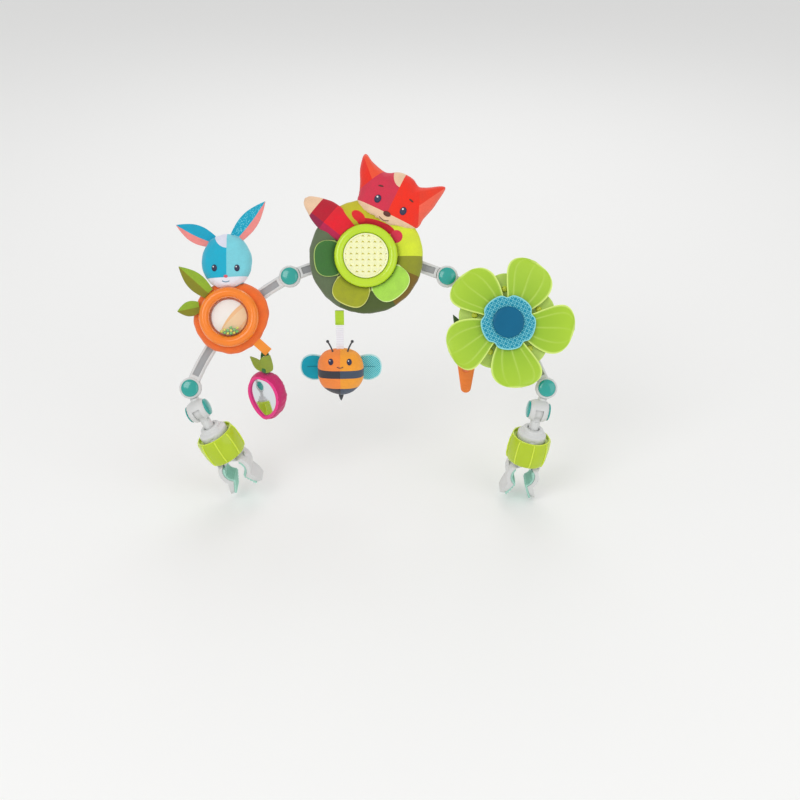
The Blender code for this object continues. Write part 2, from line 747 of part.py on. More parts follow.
def jaw(frame, name, toward):
    """One jaw with its moulded trunnion and the nib that the cam track presses."""
    wide = JAW_PADDLE_HALF_WIDTH + OVERRUN
    pivot = (toward * TRUNNION_OFFSET, 0, TRUNNION_HEIGHT)
    section = moved(extruded(jaw_profile(), -wide, wide), UPRIGHT)
    made = piece(name, mirrored(section, toward), frame, "pale_grey", pivot)
    side_view = moved(extruded(paddle_outline(), OVERRUN / 2, JAW_OUTER_RADIUS + OVERRUN), SIDEWAYS)
    keep(made, mirrored(side_view, toward))
    nib_face = arc((0, 0), CAM_NIB_RADIUS, -CAM_NIB_HALF_ANGLE_DEGREES, CAM_NIB_HALF_ANGLE_DEGREES, 3)
    root = TRUNNION_OFFSET + JAW_THICKNESS / 2 - BITE
    nib_half = CAM_NIB_RADIUS * sin(radians(CAM_NIB_HALF_ANGLE_DEGREES))
    nib = extruded(nib_face + [(root, nib_half), (root, -nib_half)], CAM_NIB_BASE, CAM_NIB_TOP)
    join(made, mirrored(nib, toward))
    reach = CORE_HALF_DEPTH - TRUNNION_BAR_SETBACK - RUN_GAP
    trunnion = moved(rod(TRUNNION_RADIUS, -reach, reach, BORE_STEPS), UPRIGHT)
    join(made, shifted(trunnion, x=pivot[0], z=pivot[2]))
    bump = turned(dome(JAW_BUMP_RADIUS, -BITE, JAW_BUMP_HEIGHT, 2), BORE_STEPS)
    bump = moved(bump, Matrix.Translation((JAW_OUTER_RADIUS - BITE, 0, JAW_BUMP_PLACE)) @ ALONG_X)
    join(made, mirrored(bump, toward))


def dome(radius, low, height, steps):
    """Profile of a plug from low, with a rounded top of the given height above zero."""
    profile = [(0, low), (radius, low)]
    for step in range(steps):
        angle = pi / 2 * step / steps
        profile.append((radius * cos(angle), height * sin(angle)))
    return profile + [(0, height)]


def liner_point(place, depth):
    """A point at a depth from the jaw's inner face; place runs 0-1 round the grip, then down the flare."""
    if place <= 1:
        angle = radians(LINER_BACK_DEGREES - (LINER_BACK_DEGREES + JAW_WRAP_DEGREES) * place)
        return Vector((cos(angle), sin(angle))) * (JAW_INNER_RADIUS - depth)
    throat = jaw_throat(JAW_INNER_RADIUS)
    run = jaw_tip() - throat
    normal = Vector((run.y, -run.x)).normalized()
    return throat + run * (place - 1) + normal * depth


def liner(frame, name, toward):
    """Soft liner with grip teeth on the lower half of the round and down the flare."""
    full = LINER_THICKNESS + SEAT_GAP
    outer = [liner_point(step / LINER_ROUND_TEETH, SEAT_GAP) for step in range(LINER_ROUND_TEETH + 1)]
    outer.append(liner_point(1.0 + LINER_FLARE_SHARE, SEAT_GAP))
    first_tooth = LINER_FIRST_TOOTH_SHARE
    inner = [liner_point(first_tooth * step / 3, full) for step in range(4)]
    pitch = (1.0 - first_tooth) / LINER_ROUND_TEETH
    for tooth in range(LINER_ROUND_TEETH):
        inner.append(liner_point(first_tooth + pitch * (tooth + 0.5), full - LINER_TOOTH))
        inner.append(liner_point(first_tooth + pitch * (tooth + 1), full))
    flare_pitch = LINER_FLARE_SHARE / LINER_FLARE_TEETH
    start, peak = LINER_FLARE_TOOTH_SHARES
    for tooth in range(LINER_FLARE_TEETH):
        inner.append(liner_point(1.0 + flare_pitch * (tooth + start), full))
        inner.append(liner_point(1.0 + flare_pitch * (tooth + peak), full - LINER_TOOTH))
    inner.append(liner_point(1.0 + LINER_FLARE_SHARE, full))
    outline = [tuple(point) for point in outer + inner[::-1]]
    section = moved(extruded(outline, -LINER_HALF_WIDTH, LINER_HALF_WIDTH), UPRIGHT)
    pivot = (toward * TRUNNION_OFFSET, 0, TRUNNION_HEIGHT)
    piece(name, mirrored(section, toward), frame, "mint_liner", pivot)


def cam_radius(angle):
    """Inner radius of the ring, a spiral for each jaw that opens as the ring turns to the left."""
    half_nib = CAM_NIB_HALF_ANGLE_DEGREES
    place = (-degrees(angle) + half_nib) % 180
    rise = RING_TURN_DEGREES
    hold_end = rise + 2 * half_nib
    if place <= rise:
        share = place / rise
    elif place <= hold_end:
        share = 1.0
    else:
        share = (180 - place) / (180 - hold_end)
    return CAM_TIGHT_RADIUS + (CAM_FREE_RADIUS - CAM_TIGHT_RADIUS) * share


def clamp_ring(frame, side):
    """Ribbed barrel with the cam track inside, hung on the flange by an inner lip."""
    low, high = RING_BASE, RING_TOP
    tall = high - low
    lip_base = FLANGE_TOP + RUN_GAP
    groove_base = FLANGE_BASE - RUN_GAP
    groove = FLANGE_RADIUS + RUN_GAP
    lip = COLLAR_RADIUS + RUN_GAP
    mouth = RING_MOUTH_RADIUS
    steps = RING_RIB_COUNT * RING_STEPS_PER_RIB
    rings = []
    for step in range(steps):
        angle = 2 * pi * (step + 0.5) / steps
        rib = RING_RIB_HEIGHT if step % RING_STEPS_PER_RIB == 0 else 0.0
        barrel = RING_BARREL_RADIUS + rib
        shoulder = barrel - (RING_BARREL_RADIUS - RING_RIM_RADIUS) * RING_TAPER_LEFT_SHARE
        cam = cam_radius(angle)
        profile = (
            (RING_RIM_RADIUS, low),
            (shoulder, low + tall * RING_TAPER_PLACE_SHARE),
            (barrel, low + tall / 2),
            (shoulder, high - tall * RING_TAPER_PLACE_SHARE),
            (RING_RIM_RADIUS, high),
            (mouth, high),
            (mouth, lip_base + RING_LIP_THICKNESS),
            (lip, lip_base + RING_LIP_THICKNESS),
            (lip, lip_base),
            (groove, lip_base),
            (groove, groove_base),
            (cam, groove_base),
            (cam, low),
        )
        rings.append([(radius * cos(angle), radius * sin(angle), height) for radius, height in profile])
    piece(f"clamp_ring_{side}", lofted(rings, closed=True), frame, "lime_plastic")


def collar(frame, side, front):
    """Stepped collar that traps the stem's foot on the flange."""
    foot_top = FLANGE_TOP + 2 * SEAT_GAP + STEM_FOOT_THICKNESS
    profile = (
        (STEM_FOOT_RADIUS + RUN_GAP, FLANGE_TOP + SEAT_GAP),
        (COLLAR_RADIUS, FLANGE_TOP + SEAT_GAP),
        (COLLAR_RADIUS, COLLAR_STEP_HEIGHT - COLLAR_EDGE),
        (COLLAR_RADIUS - COLLAR_EDGE, COLLAR_STEP_HEIGHT),
        (COLLAR_STEP_RADIUS + COLLAR_EDGE, COLLAR_STEP_HEIGHT + COLLAR_EDGE),
        (COLLAR_STEP_RADIUS, COLLAR_STEP_HEIGHT + 2 * COLLAR_EDGE),
        (COLLAR_STEP_RADIUS, COLLAR_TOP - COLLAR_EDGE),
        (COLLAR_STEP_RADIUS - COLLAR_EDGE, COLLAR_TOP),
        (COLLAR_BORE_RADIUS, COLLAR_TOP),
        (COLLAR_BORE_RADIUS, foot_top + RUN_GAP),
        (STEM_FOOT_RADIUS + RUN_GAP, foot_top + RUN_GAP),
    )
    made = piece(f"collar_{side}", turned(profile, HUB_STEPS), frame, "pale_grey")
    near = front * (COLLAR_RADIUS - COLLAR_NOTCH_DEPTH)
    far = front * (COLLAR_RADIUS + OVERRUN)
    half = COLLAR_NOTCH_WIDTH / 2
    notch_heights = (COLLAR_NOTCH_PLACE, COLLAR_NOTCH_PLACE + COLLAR_NOTCH_HEIGHT)
    cut(made, box((-half, half), (min(near, far), max(near, far)), notch_heights))


def swivel_stem(frame, side):
    """Foot and round neck that turn in the collar, ending in the tongue of the tilt joint."""
    foot = FLANGE_TOP + 2 * SEAT_GAP
    neck_top = TILT_PIN_HEIGHT - BALL_RADIUS - RUN_GAP
    profile = (
        (0, foot),
        (STEM_FOOT_RADIUS, foot),
        (STEM_FOOT_RADIUS, foot + STEM_FOOT_THICKNESS - RUN_GAP),
        (STEM_NECK_RADIUS, foot + STEM_FOOT_THICKNESS - RUN_GAP),
        (STEM_NECK_RADIUS, neck_top),
        (0, neck_top),
    )
    stem = piece(f"swivel_stem_{side}", turned(profile, HUB_STEPS), frame, "pale_grey")
    half = STEM_TONGUE_HALF_THICKNESS
    depth = STEM_TONGUE_HALF_DEPTH
    join(stem, box((-half, half), (-depth, depth), (neck_top - BITE, TILT_PIN_HEIGHT)))
    disc = moved(rod(STEM_TONGUE_RADIUS, -half, half), ALONG_X)
    join(stem, shifted(disc, z=TILT_PIN_HEIGHT))
    bore = moved(rod(PIN_RADIUS + RUN_GAP, -half - OVERRUN, half + OVERRUN, BORE_STEPS), ALONG_X)
    cut(stem, shifted(bore, z=TILT_PIN_HEIGHT))


def clamp(frame, side, front):
    clamp_body(frame, side)
    for name, toward in (("inner", 1), ("outer", -1)):
        jaw(frame, f"jaw_{name}_{side}", toward)
        liner(frame, f"liner_{name}_{side}", toward)
    clamp_ring(frame, side)
    collar(frame, side, front)
    swivel_stem(frame, side)


# Hinges and links of the arch


def tilt_axes(arch, clamp_frame, sign):
    """Axes of the tilt joint in the arch's frame: x along the pin, z near the elbow."""
    pin = arch.matrix_world.to_3x3().inverted() @ clamp_frame.matrix_world.to_3x3() @ Vector((1, 0, 0))
    elbow = Vector((sign * ELBOW_SPREAD, ELBOW_RISE, 0))
    up = (elbow - pin * elbow.dot(pin)).normalized()
    side = up.cross(pin)
    turn = Matrix((pin, side, up)).transposed()
    return Matrix.Translation((sign * TILT_PIN_SPAN / 2, 0, 0)) @ turn.to_4x4()


def two_capped_pin(half_grip):
    """A pin with a domed cap at both ends, along Z."""
    seat = half_grip + SEAT_GAP
    top = [
        (PIN_RADIUS, seat),
        (CAP_RADIUS, seat),
        (CAP_RADIUS, seat + CAP_EDGE),
        (CAP_RADIUS * CAP_CROWN_SHARES[0], seat + CAP_HEIGHT * CAP_CROWN_SHARES[1]),
        (0, seat + CAP_HEIGHT),
    ]
    return turned([(radius, -height) for radius, height in reversed(top)] + top, HUB_STEPS)


def hinge_pin(half_grip):
    """A pin with a domed cap in front and a small clip head behind, along Z."""
    seat = half_grip + SEAT_GAP
    profile = (
        (0, -seat - CLIP_HEAD_HEIGHT),
        (CLIP_HEAD_RADIUS - CAP_EDGE, -seat - CLIP_HEAD_HEIGHT),
        (CLIP_HEAD_RADIUS, -seat),
        (PIN_RADIUS, -seat),
        (PIN_RADIUS, seat),
        (CAP_RADIUS, seat),
        (CAP_RADIUS, seat + CAP_EDGE),
        (CAP_RADIUS * CAP_CROWN_SHARES[0], seat + CAP_HEIGHT * CAP_CROWN_SHARES[1]),
        (0, seat + CAP_HEIGHT),
    )
    return turned(profile, HUB_STEPS)


def knuckle(arch, axes, side, sign):
    """Forked ball on the tilt pin, a short neck, and the flat tongue of the elbow."""
    place = axes.to_translation()
    ball_profile = (
        (0, -BALL_HALF_WIDTH),
        (BALL_FACE_RADIUS, -BALL_HALF_WIDTH),
        (BALL_EDGE_RADIUS, -BALL_EDGE_PLACE),
        (BALL_RADIUS, -STEM_TONGUE_HALF_THICKNESS),
        (BALL_RADIUS, STEM_TONGUE_HALF_THICKNESS),
        (BALL_EDGE_RADIUS, BALL_EDGE_PLACE),
        (BALL_FACE_RADIUS, BALL_HALF_WIDTH),
        (0, BALL_HALF_WIDTH),
    )
    ball = moved(turned(ball_profile, HUB_STEPS - 2), axes @ ALONG_X)
    made = piece(f"knuckle_{side}", ball, arch, "pale_grey", tuple(place))
    elbow = Vector((place.x + sign * ELBOW_SPREAD, place.y + ELBOW_RISE, 0))
    reach = (elbow - place).length
    lean = atan2(-sign * ELBOW_SPREAD, ELBOW_RISE)
    toward_elbow = Matrix.Translation(place) @ Matrix.Rotation(lean, 4, "Z")
    neck_end = reach - HUB_RADIUS - 2 * RUN_GAP
    neck = rod(KNUCKLE_NECK_RADIUS, STEM_TONGUE_RADIUS + 2 * RUN_GAP, neck_end, BORE_STEPS)
    join(made, moved(neck, toward_elbow @ Matrix.Rotation(-pi / 2, 4, "X")))
    half = TONGUE_HALF_THICKNESS
    width = KNUCKLE_NECK_RADIUS - BITE
    join(made, moved(box((-width, width), (neck_end - 2 * BITE, reach), (-half, half)), toward_elbow))
    disc = rod(HUB_RADIUS - TONGUE_SETBACK, -half, half)
    join(made, shifted(disc, elbow.x, elbow.y))
    gap = STEM_TONGUE_HALF_THICKNESS + RUN_GAP
    cut(made, moved(rod(STEM_TONGUE_RADIUS + RUN_GAP, -gap, gap), axes @ ALONG_X))
    open_side = BALL_RADIUS + OVERRUN
    cut(made, moved(box((-gap, gap), (-open_side, open_side), (-open_side, 0)), axes))
    pin_bore = rod(PIN_RADIUS + RUN_GAP, -BALL_HALF_WIDTH - OVERRUN, BALL_HALF_WIDTH + OVERRUN, BORE_STEPS)
    cut(made, moved(pin_bore, axes @ ALONG_X))
    elbow_bore = rod(PIN_RADIUS + RUN_GAP, -half - OVERRUN, half + OVERRUN, BORE_STEPS)
    cut(made, shifted(elbow_bore, elbow.x, elbow.y))


def link_arc(pitch, sagitta):
    """Centre and radius of the arc that bows by the sagitta over a chord along +X."""
    radius = ((pitch / 2) ** 2 + sagitta**2) / (2 * abs(sagitta))
    bow = 1 if sagitta > 0 else -1
    return Vector((pitch / 2, sagitta - bow * radius)), radius, bow


def link_band(pitch, sagitta, width, trim, steps):
    """Outline of a band along the link's arc, cut short by trim at both ends."""
    centre, radius, bow = link_arc(pitch, sagitta)
    half_sweep = asin(pitch / 2 / radius) - trim / radius
    near = []
    far = []
    for step in range(steps + 1):
        angle = half_sweep * (1 - 2 * step / steps)
        direction = Vector((-sin(angle), bow * cos(angle)))
        near.append(tuple(centre + direction * (radius - width / 2)))
        far.append(tuple(centre + direction * (radius + width / 2)))
    return near + far[::-1]


def link_beam(pitch, sagitta):
    outline = link_band(pitch, sagitta, LINK_WIDTH, HUB_RADIUS / 2, LINK_STEPS)
    return extruded(outline, -LINK_HALF_THICKNESS, LINK_HALF_THICKNESS, LINK_EDGE)


def link_recess(pitch, sagitta):
    """The long hollow in the front of a link, ending short of both hubs."""
    outline = link_band(pitch, sagitta, RECESS_WIDTH, HUB_RADIUS + RECESS_CLEARANCE, LINK_STEPS)
    return extruded(outline, LINK_HALF_THICKNESS - RECESS_DEPTH, LINK_HALF_THICKNESS + OVERRUN)


def arm(frame, side, pitch, sagitta):
    """Curved link with a forked hub at both ends."""
    made = piece(f"arm_{side}", link_beam(pitch, sagitta), frame, "pale_grey")
    slot = TONGUE_HALF_THICKNESS + RUN_GAP
    through = HUB_HALF_THICKNESS + OVERRUN
    for x in (0, pitch):
        hub = rod(HUB_RADIUS, -HUB_HALF_THICKNESS, HUB_HALF_THICKNESS, HUB_STEPS, CAP_EDGE)
        join(made, shifted(hub, x=x))
    for x in (0, pitch):
        cut(made, shifted(rod(HUB_RADIUS + 2 * RUN_GAP, -slot, slot), x=x))
        cut(made, shifted(rod(PIN_RADIUS + RUN_GAP, -through, through, BORE_STEPS), x=x))
    cut(made, link_recess(pitch, sagitta))


def centre_link(frame):
    """Curved link with a tongue at both ends."""
    pitch = SHOULDER_SPAN
    made = piece("centre_link", link_beam(pitch, CENTRE_SAGITTA), frame, "pale_grey")
    half = TONGUE_HALF_THICKNESS
    beyond = LINK_HALF_THICKNESS + OVERRUN
    for x in (0, pitch):
        for low, high in ((half, beyond), (-beyond, -half)):
            cut(made, shifted(rod(HUB_RADIUS + 2 * RUN_GAP, low, high), x=x))
        join(made, shifted(rod(HUB_RADIUS - TONGUE_SETBACK, -half, half), x=x))
        cut(made, shifted(rod(PIN_RADIUS + RUN_GAP, -beyond, beyond, BORE_STEPS), x=x))
    cut(made, link_recess(pitch, CENTRE_SAGITTA))


def band_point(pitch, sagitta, from_start):
    """Point and direction on a link's centre line at a distance from its first hinge."""
    centre, radius, bow = link_arc(pitch, sagitta)
    angle = asin(pitch / 2 / radius) - from_start / radius
    return centre + Vector((-sin(angle), bow * cos(angle))) * radius, bow * angle


def link_loop(length, face):
    """Fabric loop round a link that runs along X, and the passage for the link."""
    passage_half = LINK_WIDTH / 2 + 2 * SEAT_GAP
    passage_back = LINK_HALF_THICKNESS + 2 * SEAT_GAP
    outer = box(
        (-length / 2, length / 2),
        (-passage_half - STRAP_WALL, passage_half + STRAP_WALL),
        (-passage_back - STRAP_WALL, face + BITE),
    )
    inner = box(
        (-length / 2 - OVERRUN, length / 2 + OVERRUN),
        (-passage_half, passage_half),
        (-passage_back, face),
    )
    return outer, inner


# Round cushion and what it carries


def cushion_profile():
    """Crowned section of the cushion as (radius, height), from the inner back edge round to the front."""
    hole = CASE_RADIUS + SEAT_GAP
    band = CUSHION_RADIUS - hole
    section = [(hole, LINK_FACE)]
    for inward, up in CUSHION_SECTION_SHARES:
        section.append((CUSHION_RADIUS - band * inward, LINK_FACE + CUSHION_THICKNESS * up))
    return section + [(hole, CUSHION_FACE - SEAT_GAP)]


def cushion_front(radius):
    """Height of the cushion's front face at a radius."""
    front = cushion_profile()[3:]
    for (outer, low), (inner, high) in zip(front, front[1:]):
        if inner <= radius <= outer:
            return low + (high - low) * (outer - radius) / (outer - inner)
    return front[-1][1]


def cushion_shape(extra=0.0):
    """The stuffed ring, its rim drawn in at the seams; extra swells it into a cutter."""
    steps = 4 * CUSHION_PUCKERS
    rings = []
    for step in range(steps):
        angle = 2 * pi * step / steps
        pucker = CUSHION_PUCKER_DEPTH * (cos(CUSHION_PUCKERS * angle) - 1) / 2
        ring = []
        for radius, height in cushion_profile():
            share = (radius - CASE_RADIUS) / (CUSHION_RADIUS - CASE_RADIUS)
            swollen = radius + (pucker + extra) * share
            ring.append((swollen * cos(angle), swollen * sin(angle), height + extra))
        rings.append(ring)
    return lofted(rings, closed=True)


def cushion(frame):
    made = piece("disc_cushion", cushion_shape(), frame, "olive_cloth")
    centre, radius, _ = link_arc(SHOULDER_SPAN, CENTRE_SAGITTA)
    for side in (-1, 1):
        angle = -side * asin(LINK_STRAP_PLACE / radius)
        outer, inner = link_loop(LINK_STRAP_WIDTH, LINK_FACE + SEAT_GAP)
        x = side * LINK_STRAP_PLACE - CUSHION_SHIFT
        y = radius * (cos(angle) - 1) - CUSHION_RISE
        place = Matrix.Translation((x, y, 0)) @ Matrix.Rotation(angle, 4, "Z")
        join(made, moved(outer, place))
        cut(made, moved(inner, place))


def disc_leaf(frame, name, finish, index):
    """Felt petal that lies on the cushion beside the bezel, its free edge lifted a little."""
    middle = radians(DISC_LEAF_ANGLES_DEGREES[index])
    half_span = radians(DISC_LEAF_HALF_SPANS_DEGREES[index])
    reach = DISC_LEAF_REACHES[index]
    rings = []
    for column in range(DISC_LEAF_COLUMNS + 1):
        share = 2 * column / DISC_LEAF_COLUMNS - 1
        angle = middle + half_span * share
        far = LEAF_RADIAL_START + (reach - LEAF_RADIAL_START) * max(1 - share**4, DISC_LEAF_CORNER_SHARE)
        low = []
        high = []
        for row in range(DISC_LEAF_ROWS + 1):
            radius = LEAF_RADIAL_START + (far - LEAF_RADIAL_START) * row / DISC_LEAF_ROWS
            seat = cushion_front(radius) + LEAF_LIFT
            point = (radius * cos(angle), radius * sin(angle))
            low.append((*point, seat))
            high.append((*point, seat + FELT))
        rings.append(low + high[::-1])
    piece(name, lofted(rings), frame, finish)


def music_unit(frame):
    """Bezel, lens button, case with its ledge, circuit board, cells and battery door."""
    base = BEZEL_BASE
    case_floor = LINK_FACE + CASE_WALL
    skirt_inner = BEZEL_SKIRT_RADIUS - BEZEL_SKIRT_WALL
    width = BEZEL_RADIUS - BEZEL_HOLE_RADIUS
    bezel_profile = [(BEZEL_HOLE_RADIUS, base)]
    for out, up in BEZEL_SECTION_SHARES:
        bezel_profile.append((BEZEL_HOLE_RADIUS + width * out, base + BEZEL_HEIGHT * up))
    bezel_profile += [
        (BEZEL_RADIUS, base),
        (BEZEL_SKIRT_RADIUS, base),
        (BEZEL_SKIRT_RADIUS, base - BEZEL_SKIRT),
        (skirt_inner, base - BEZEL_SKIRT),
        (skirt_inner, base),
    ]
    piece("music_bezel", turned(bezel_profile, LARGE_STEPS), frame, "lime_plastic")
    flange_top = base - RUN_GAP
    flange_base = flange_top - LENS_FLANGE_THICKNESS
    lens_top = base + LENS_RISE
    lens_profile = (
        (0, flange_base),
        (LENS_FLANGE_RADIUS, flange_base),
        (LENS_FLANGE_RADIUS, flange_top),
        (LENS_RADIUS, flange_top),
        (LENS_RADIUS, lens_top - LENS_EDGE),
        (LENS_RADIUS - 2 * LENS_EDGE, lens_top),
        (0, lens_top),
    )
    piece("lens_button", turned(lens_profile, LARGE_STEPS), frame, "lens")
    inner = CASE_RADIUS - CASE_WALL
    ledge = case_floor + CASE_LEDGE_HEIGHT
    case_profile = (
        (0, LINK_FACE),
        (CASE_RADIUS, LINK_FACE),
        (CASE_RADIUS, base - SEAT_GAP),
        (inner, base - SEAT_GAP),
        (inner, ledge),
        (CASE_LEDGE_RADIUS, ledge),
        (CASE_LEDGE_RADIUS, case_floor),
        (0, case_floor),
    )
    case = piece("music_case", turned(case_profile, LARGE_STEPS), frame, "pale_grey")
    door_x = (-DOOR_HALF_WIDTH, DOOR_HALF_WIDTH)
    door_y = (-DOOR_DROP - DOOR_HALF_HEIGHT, -DOOR_DROP + DOOR_HALF_HEIGHT)
    cut(case, box(door_x, door_y, (LINK_FACE - OVERRUN, case_floor + OVERRUN)))
    door_outline = rounded_rectangle(DOOR_HALF_WIDTH - SEAT_GAP, DOOR_HALF_HEIGHT - SEAT_GAP, CASE_WALL)
    door = shifted(extruded(door_outline, LINK_FACE, case_floor), y=-DOOR_DROP)
    piece("battery_door", door, frame, "pale_grey")
    board_base = ledge + SEAT_GAP
    board_top = board_base + BOARD_THICKNESS
    switch_top = flange_base - BUTTON_TRAVEL - RUN_GAP
    board_profile = (
        (0, board_base),
        (inner - RUN_GAP, board_base),
        (inner - RUN_GAP, board_top),
        (SWITCH_RADIUS, board_top),
        (SWITCH_RADIUS, switch_top),
        (0, switch_top),
    )
    piece("circuit_board", turned(board_profile, LARGE_STEPS), frame, "board_green")
    battery(frame, case_floor + SEAT_GAP + CELL_RADIUS)


def battery(frame, height):
    """Stack of button cells on its side."""
    length = CELL_COUNT * CELL_HEIGHT
    profile = [(0, -length / 2)]
    for cell in range(CELL_COUNT):
        low = cell * CELL_HEIGHT - length / 2
        profile += [
            (CELL_RADIUS - CELL_GROOVE, low),
            (CELL_RADIUS, low + CELL_GROOVE),
            (CELL_RADIUS, low + CELL_HEIGHT - CELL_GROOVE),
        ]
    profile += [(CELL_RADIUS - CELL_GROOVE, length / 2), (0, length / 2)]
    stack = moved(turned(profile, BORE_STEPS), ALONG_X)
    piece("button_cells", shifted(stack, y=-DOOR_DROP, z=height), frame, "steel")


# Fox head from between its eyes, as shares of its width and height: brow, right ear, chin, left ear
FOX_OUTLINE_SHARES = (
    (0.0, 0.58),
    (0.104, 0.556),
    (0.196, 0.488),
    (0.348, 0.586),
    (0.455, 0.662),
    (0.476, 0.63),
    (0.435, 0.272),
    (0.387, 0.025),
    (0.374, -0.117),
    (0.27, -0.241),
    (0.06, -0.331),
    (-0.217, -0.296),
    (-0.339, -0.198),
    (-0.374, -0.117),
    (-0.391, 0.025),
    (-0.5, 0.356),
    (-0.528, 0.535),
    (-0.504, 0.576),
    (-0.443, 0.533),
    (-0.228, 0.463),
    (-0.119, 0.543),
)


def bezel_cutter():
    """The bezel swollen by the seat gap, carried on past the fox."""
    return rod(BEZEL_RADIUS + 2 * SEAT_GAP, LINK_FACE, BEZEL_BASE + FOX_FRONT + FOX_STAND, LARGE_STEPS)


def fox_head(frame):
    """Stuffed head with two pointed ears, hollowed behind where it lies over the cushion."""
    outline = smooth_outline([(x * FOX_WIDTH, y * FOX_HEIGHT) for x, y in FOX_OUTLINE_SHARES], 2)
    turn = Matrix.Rotation(radians(FOX_TURN_DEGREES), 4, "Z")
    place = Matrix.Translation((*FOX_PLACE, FOX_STAND)) @ turn
    head = piece("fox_head", moved(pillow(outline, FOX_FRONT, FOX_BACK), place), frame, "red_cloth")
    cut(head, cushion_shape(SEAT_GAP))
    cut(head, bezel_cutter())


def fox_tail(frame):
    """Stuffed brush, thin at its root, full past the middle and pointed at its tip."""
    rings = []
    for along, full in TAIL_SHARES:
        bend = TAIL_BEND * sin(pi * along)
        oval = oval_ring(TAIL_WIDTH / 2 * full, TAIL_THICKNESS / 2 * full, TAIL_LENGTH * along, TAIL_SIDES)
        rings.append([(bend + x, y, z) for x, y, z in oval])
    place = aimed(TAIL_START, TAIL_AIM_DEGREES, TAIL_STAND)
    tail = piece("fox_tail", moved(lofted(rings), place), frame, "red_cloth")
    cut(tail, cushion_shape(SEAT_GAP))
    cut(tail, bezel_cutter())


# Hanging toys, drawn in upright frames: x to the right, y up, z to the viewer


def bee(frame):
    """Bee body with feelers and sting, its wings and the tab and ribbon that it hangs from."""
    strap_length = BEE_TAB_LENGTH + BEE_RIBBON_LENGTH
    tab = hung_strap(BEE_TAB_WIDTH / 2, BEE_TAB_LENGTH, RIBBON)
    made = piece("bee_strap", tab, frame, "lime_felt")
    half = BEE_RIBBON_WIDTH / 2
    join(made, box((-half, half), (-strap_length, -BEE_TAB_LENGTH + BITE), (-RIBBON / 2, RIBBON / 2)))
    top = -strap_length - SEAT_GAP
    rings = []
    for along, full in BEE_SHARES:
        y = top - BEE_HEIGHT * (along - BEE_SHARES[0][0])
        rings.append(oval_ring(BEE_WIDTH / 2 * full, BEE_DEPTH / 2 * full, y, BEE_SIDES))
    body = piece("bee_body", lofted(rings), frame, "orange_cloth")
    low = top - BEE_HEIGHT * (BEE_SHARES[-1][0] - BEE_SHARES[0][0])
    base = BEE_STING_RADIUS
    sting = turned(((0, -base), (base, -base), (base, 0), (0, BEE_STING_LENGTH)), BORE_STEPS)
    join(body, moved(sting, Matrix.Translation((0, low, 0)) @ UPRIGHT))
    for side in (-1, 1):
        join(body, feeler(side, top - BEE_FEELER_DEPTH))
    wings(frame, top - BEE_WING_DROP)


def feeler(side, root):
    """Curved felt feeler that leans outwards from the head."""
    rings = []
    for along, out, thick in FEELER_SHARES:
        radius = BEE_FEELER_RADIUS * thick
        ring = oval_ring(radius, radius, root + BEE_FEELER_LENGTH * along, 6)
        rings.append([(side * BEE_FEELER_SPREAD * out + x, y, z) for x, y, z in ring])
    return lofted(rings)


# Right wing of the bee from the middle of its back, as shares of half the span and of the height
WING_OUTLINE_SHARES = (
    (0.0, 0.12),
    (0.42, 0.24),
    (0.74, 0.50),
    (0.97, 0.34),
    (0.99, -0.06),
    (0.78, -0.44),
    (0.45, -0.40),
    (0.0, -0.12),
)


def wings(frame, middle):
    """Both wings as one felt piece behind the body."""
    right = [(x * BEE_WING_SPAN / 2, middle + y * BEE_WING_HEIGHT) for x, y in WING_OUTLINE_SHARES]
    left = [(-x, y) for x, y in right[-2:0:-1]]
    outline = smooth_outline(right + left, 2)
    face = -BEE_DEPTH / 2 - SEAT_GAP
    piece("bee_wings", extruded(outline, face - FELT, face), frame, "turquoise_cloth")


# Radish outline from its middle, as shares of its width and height: round shoulders and a pointed foot
RADISH_OUTLINE_SHARES = (
    (0.0, 0.50),
    (0.25, 0.46),
    (0.44, 0.28),
    (0.50, 0.04),
    (0.42, -0.20),
    (0.24, -0.40),
    (0.05, -0.50),
    (-0.05, -0.50),
    (-0.24, -0.40),
    (-0.42, -0.20),
    (-0.50, 0.04),
    (-0.44, 0.28),
    (-0.25, 0.46),
)


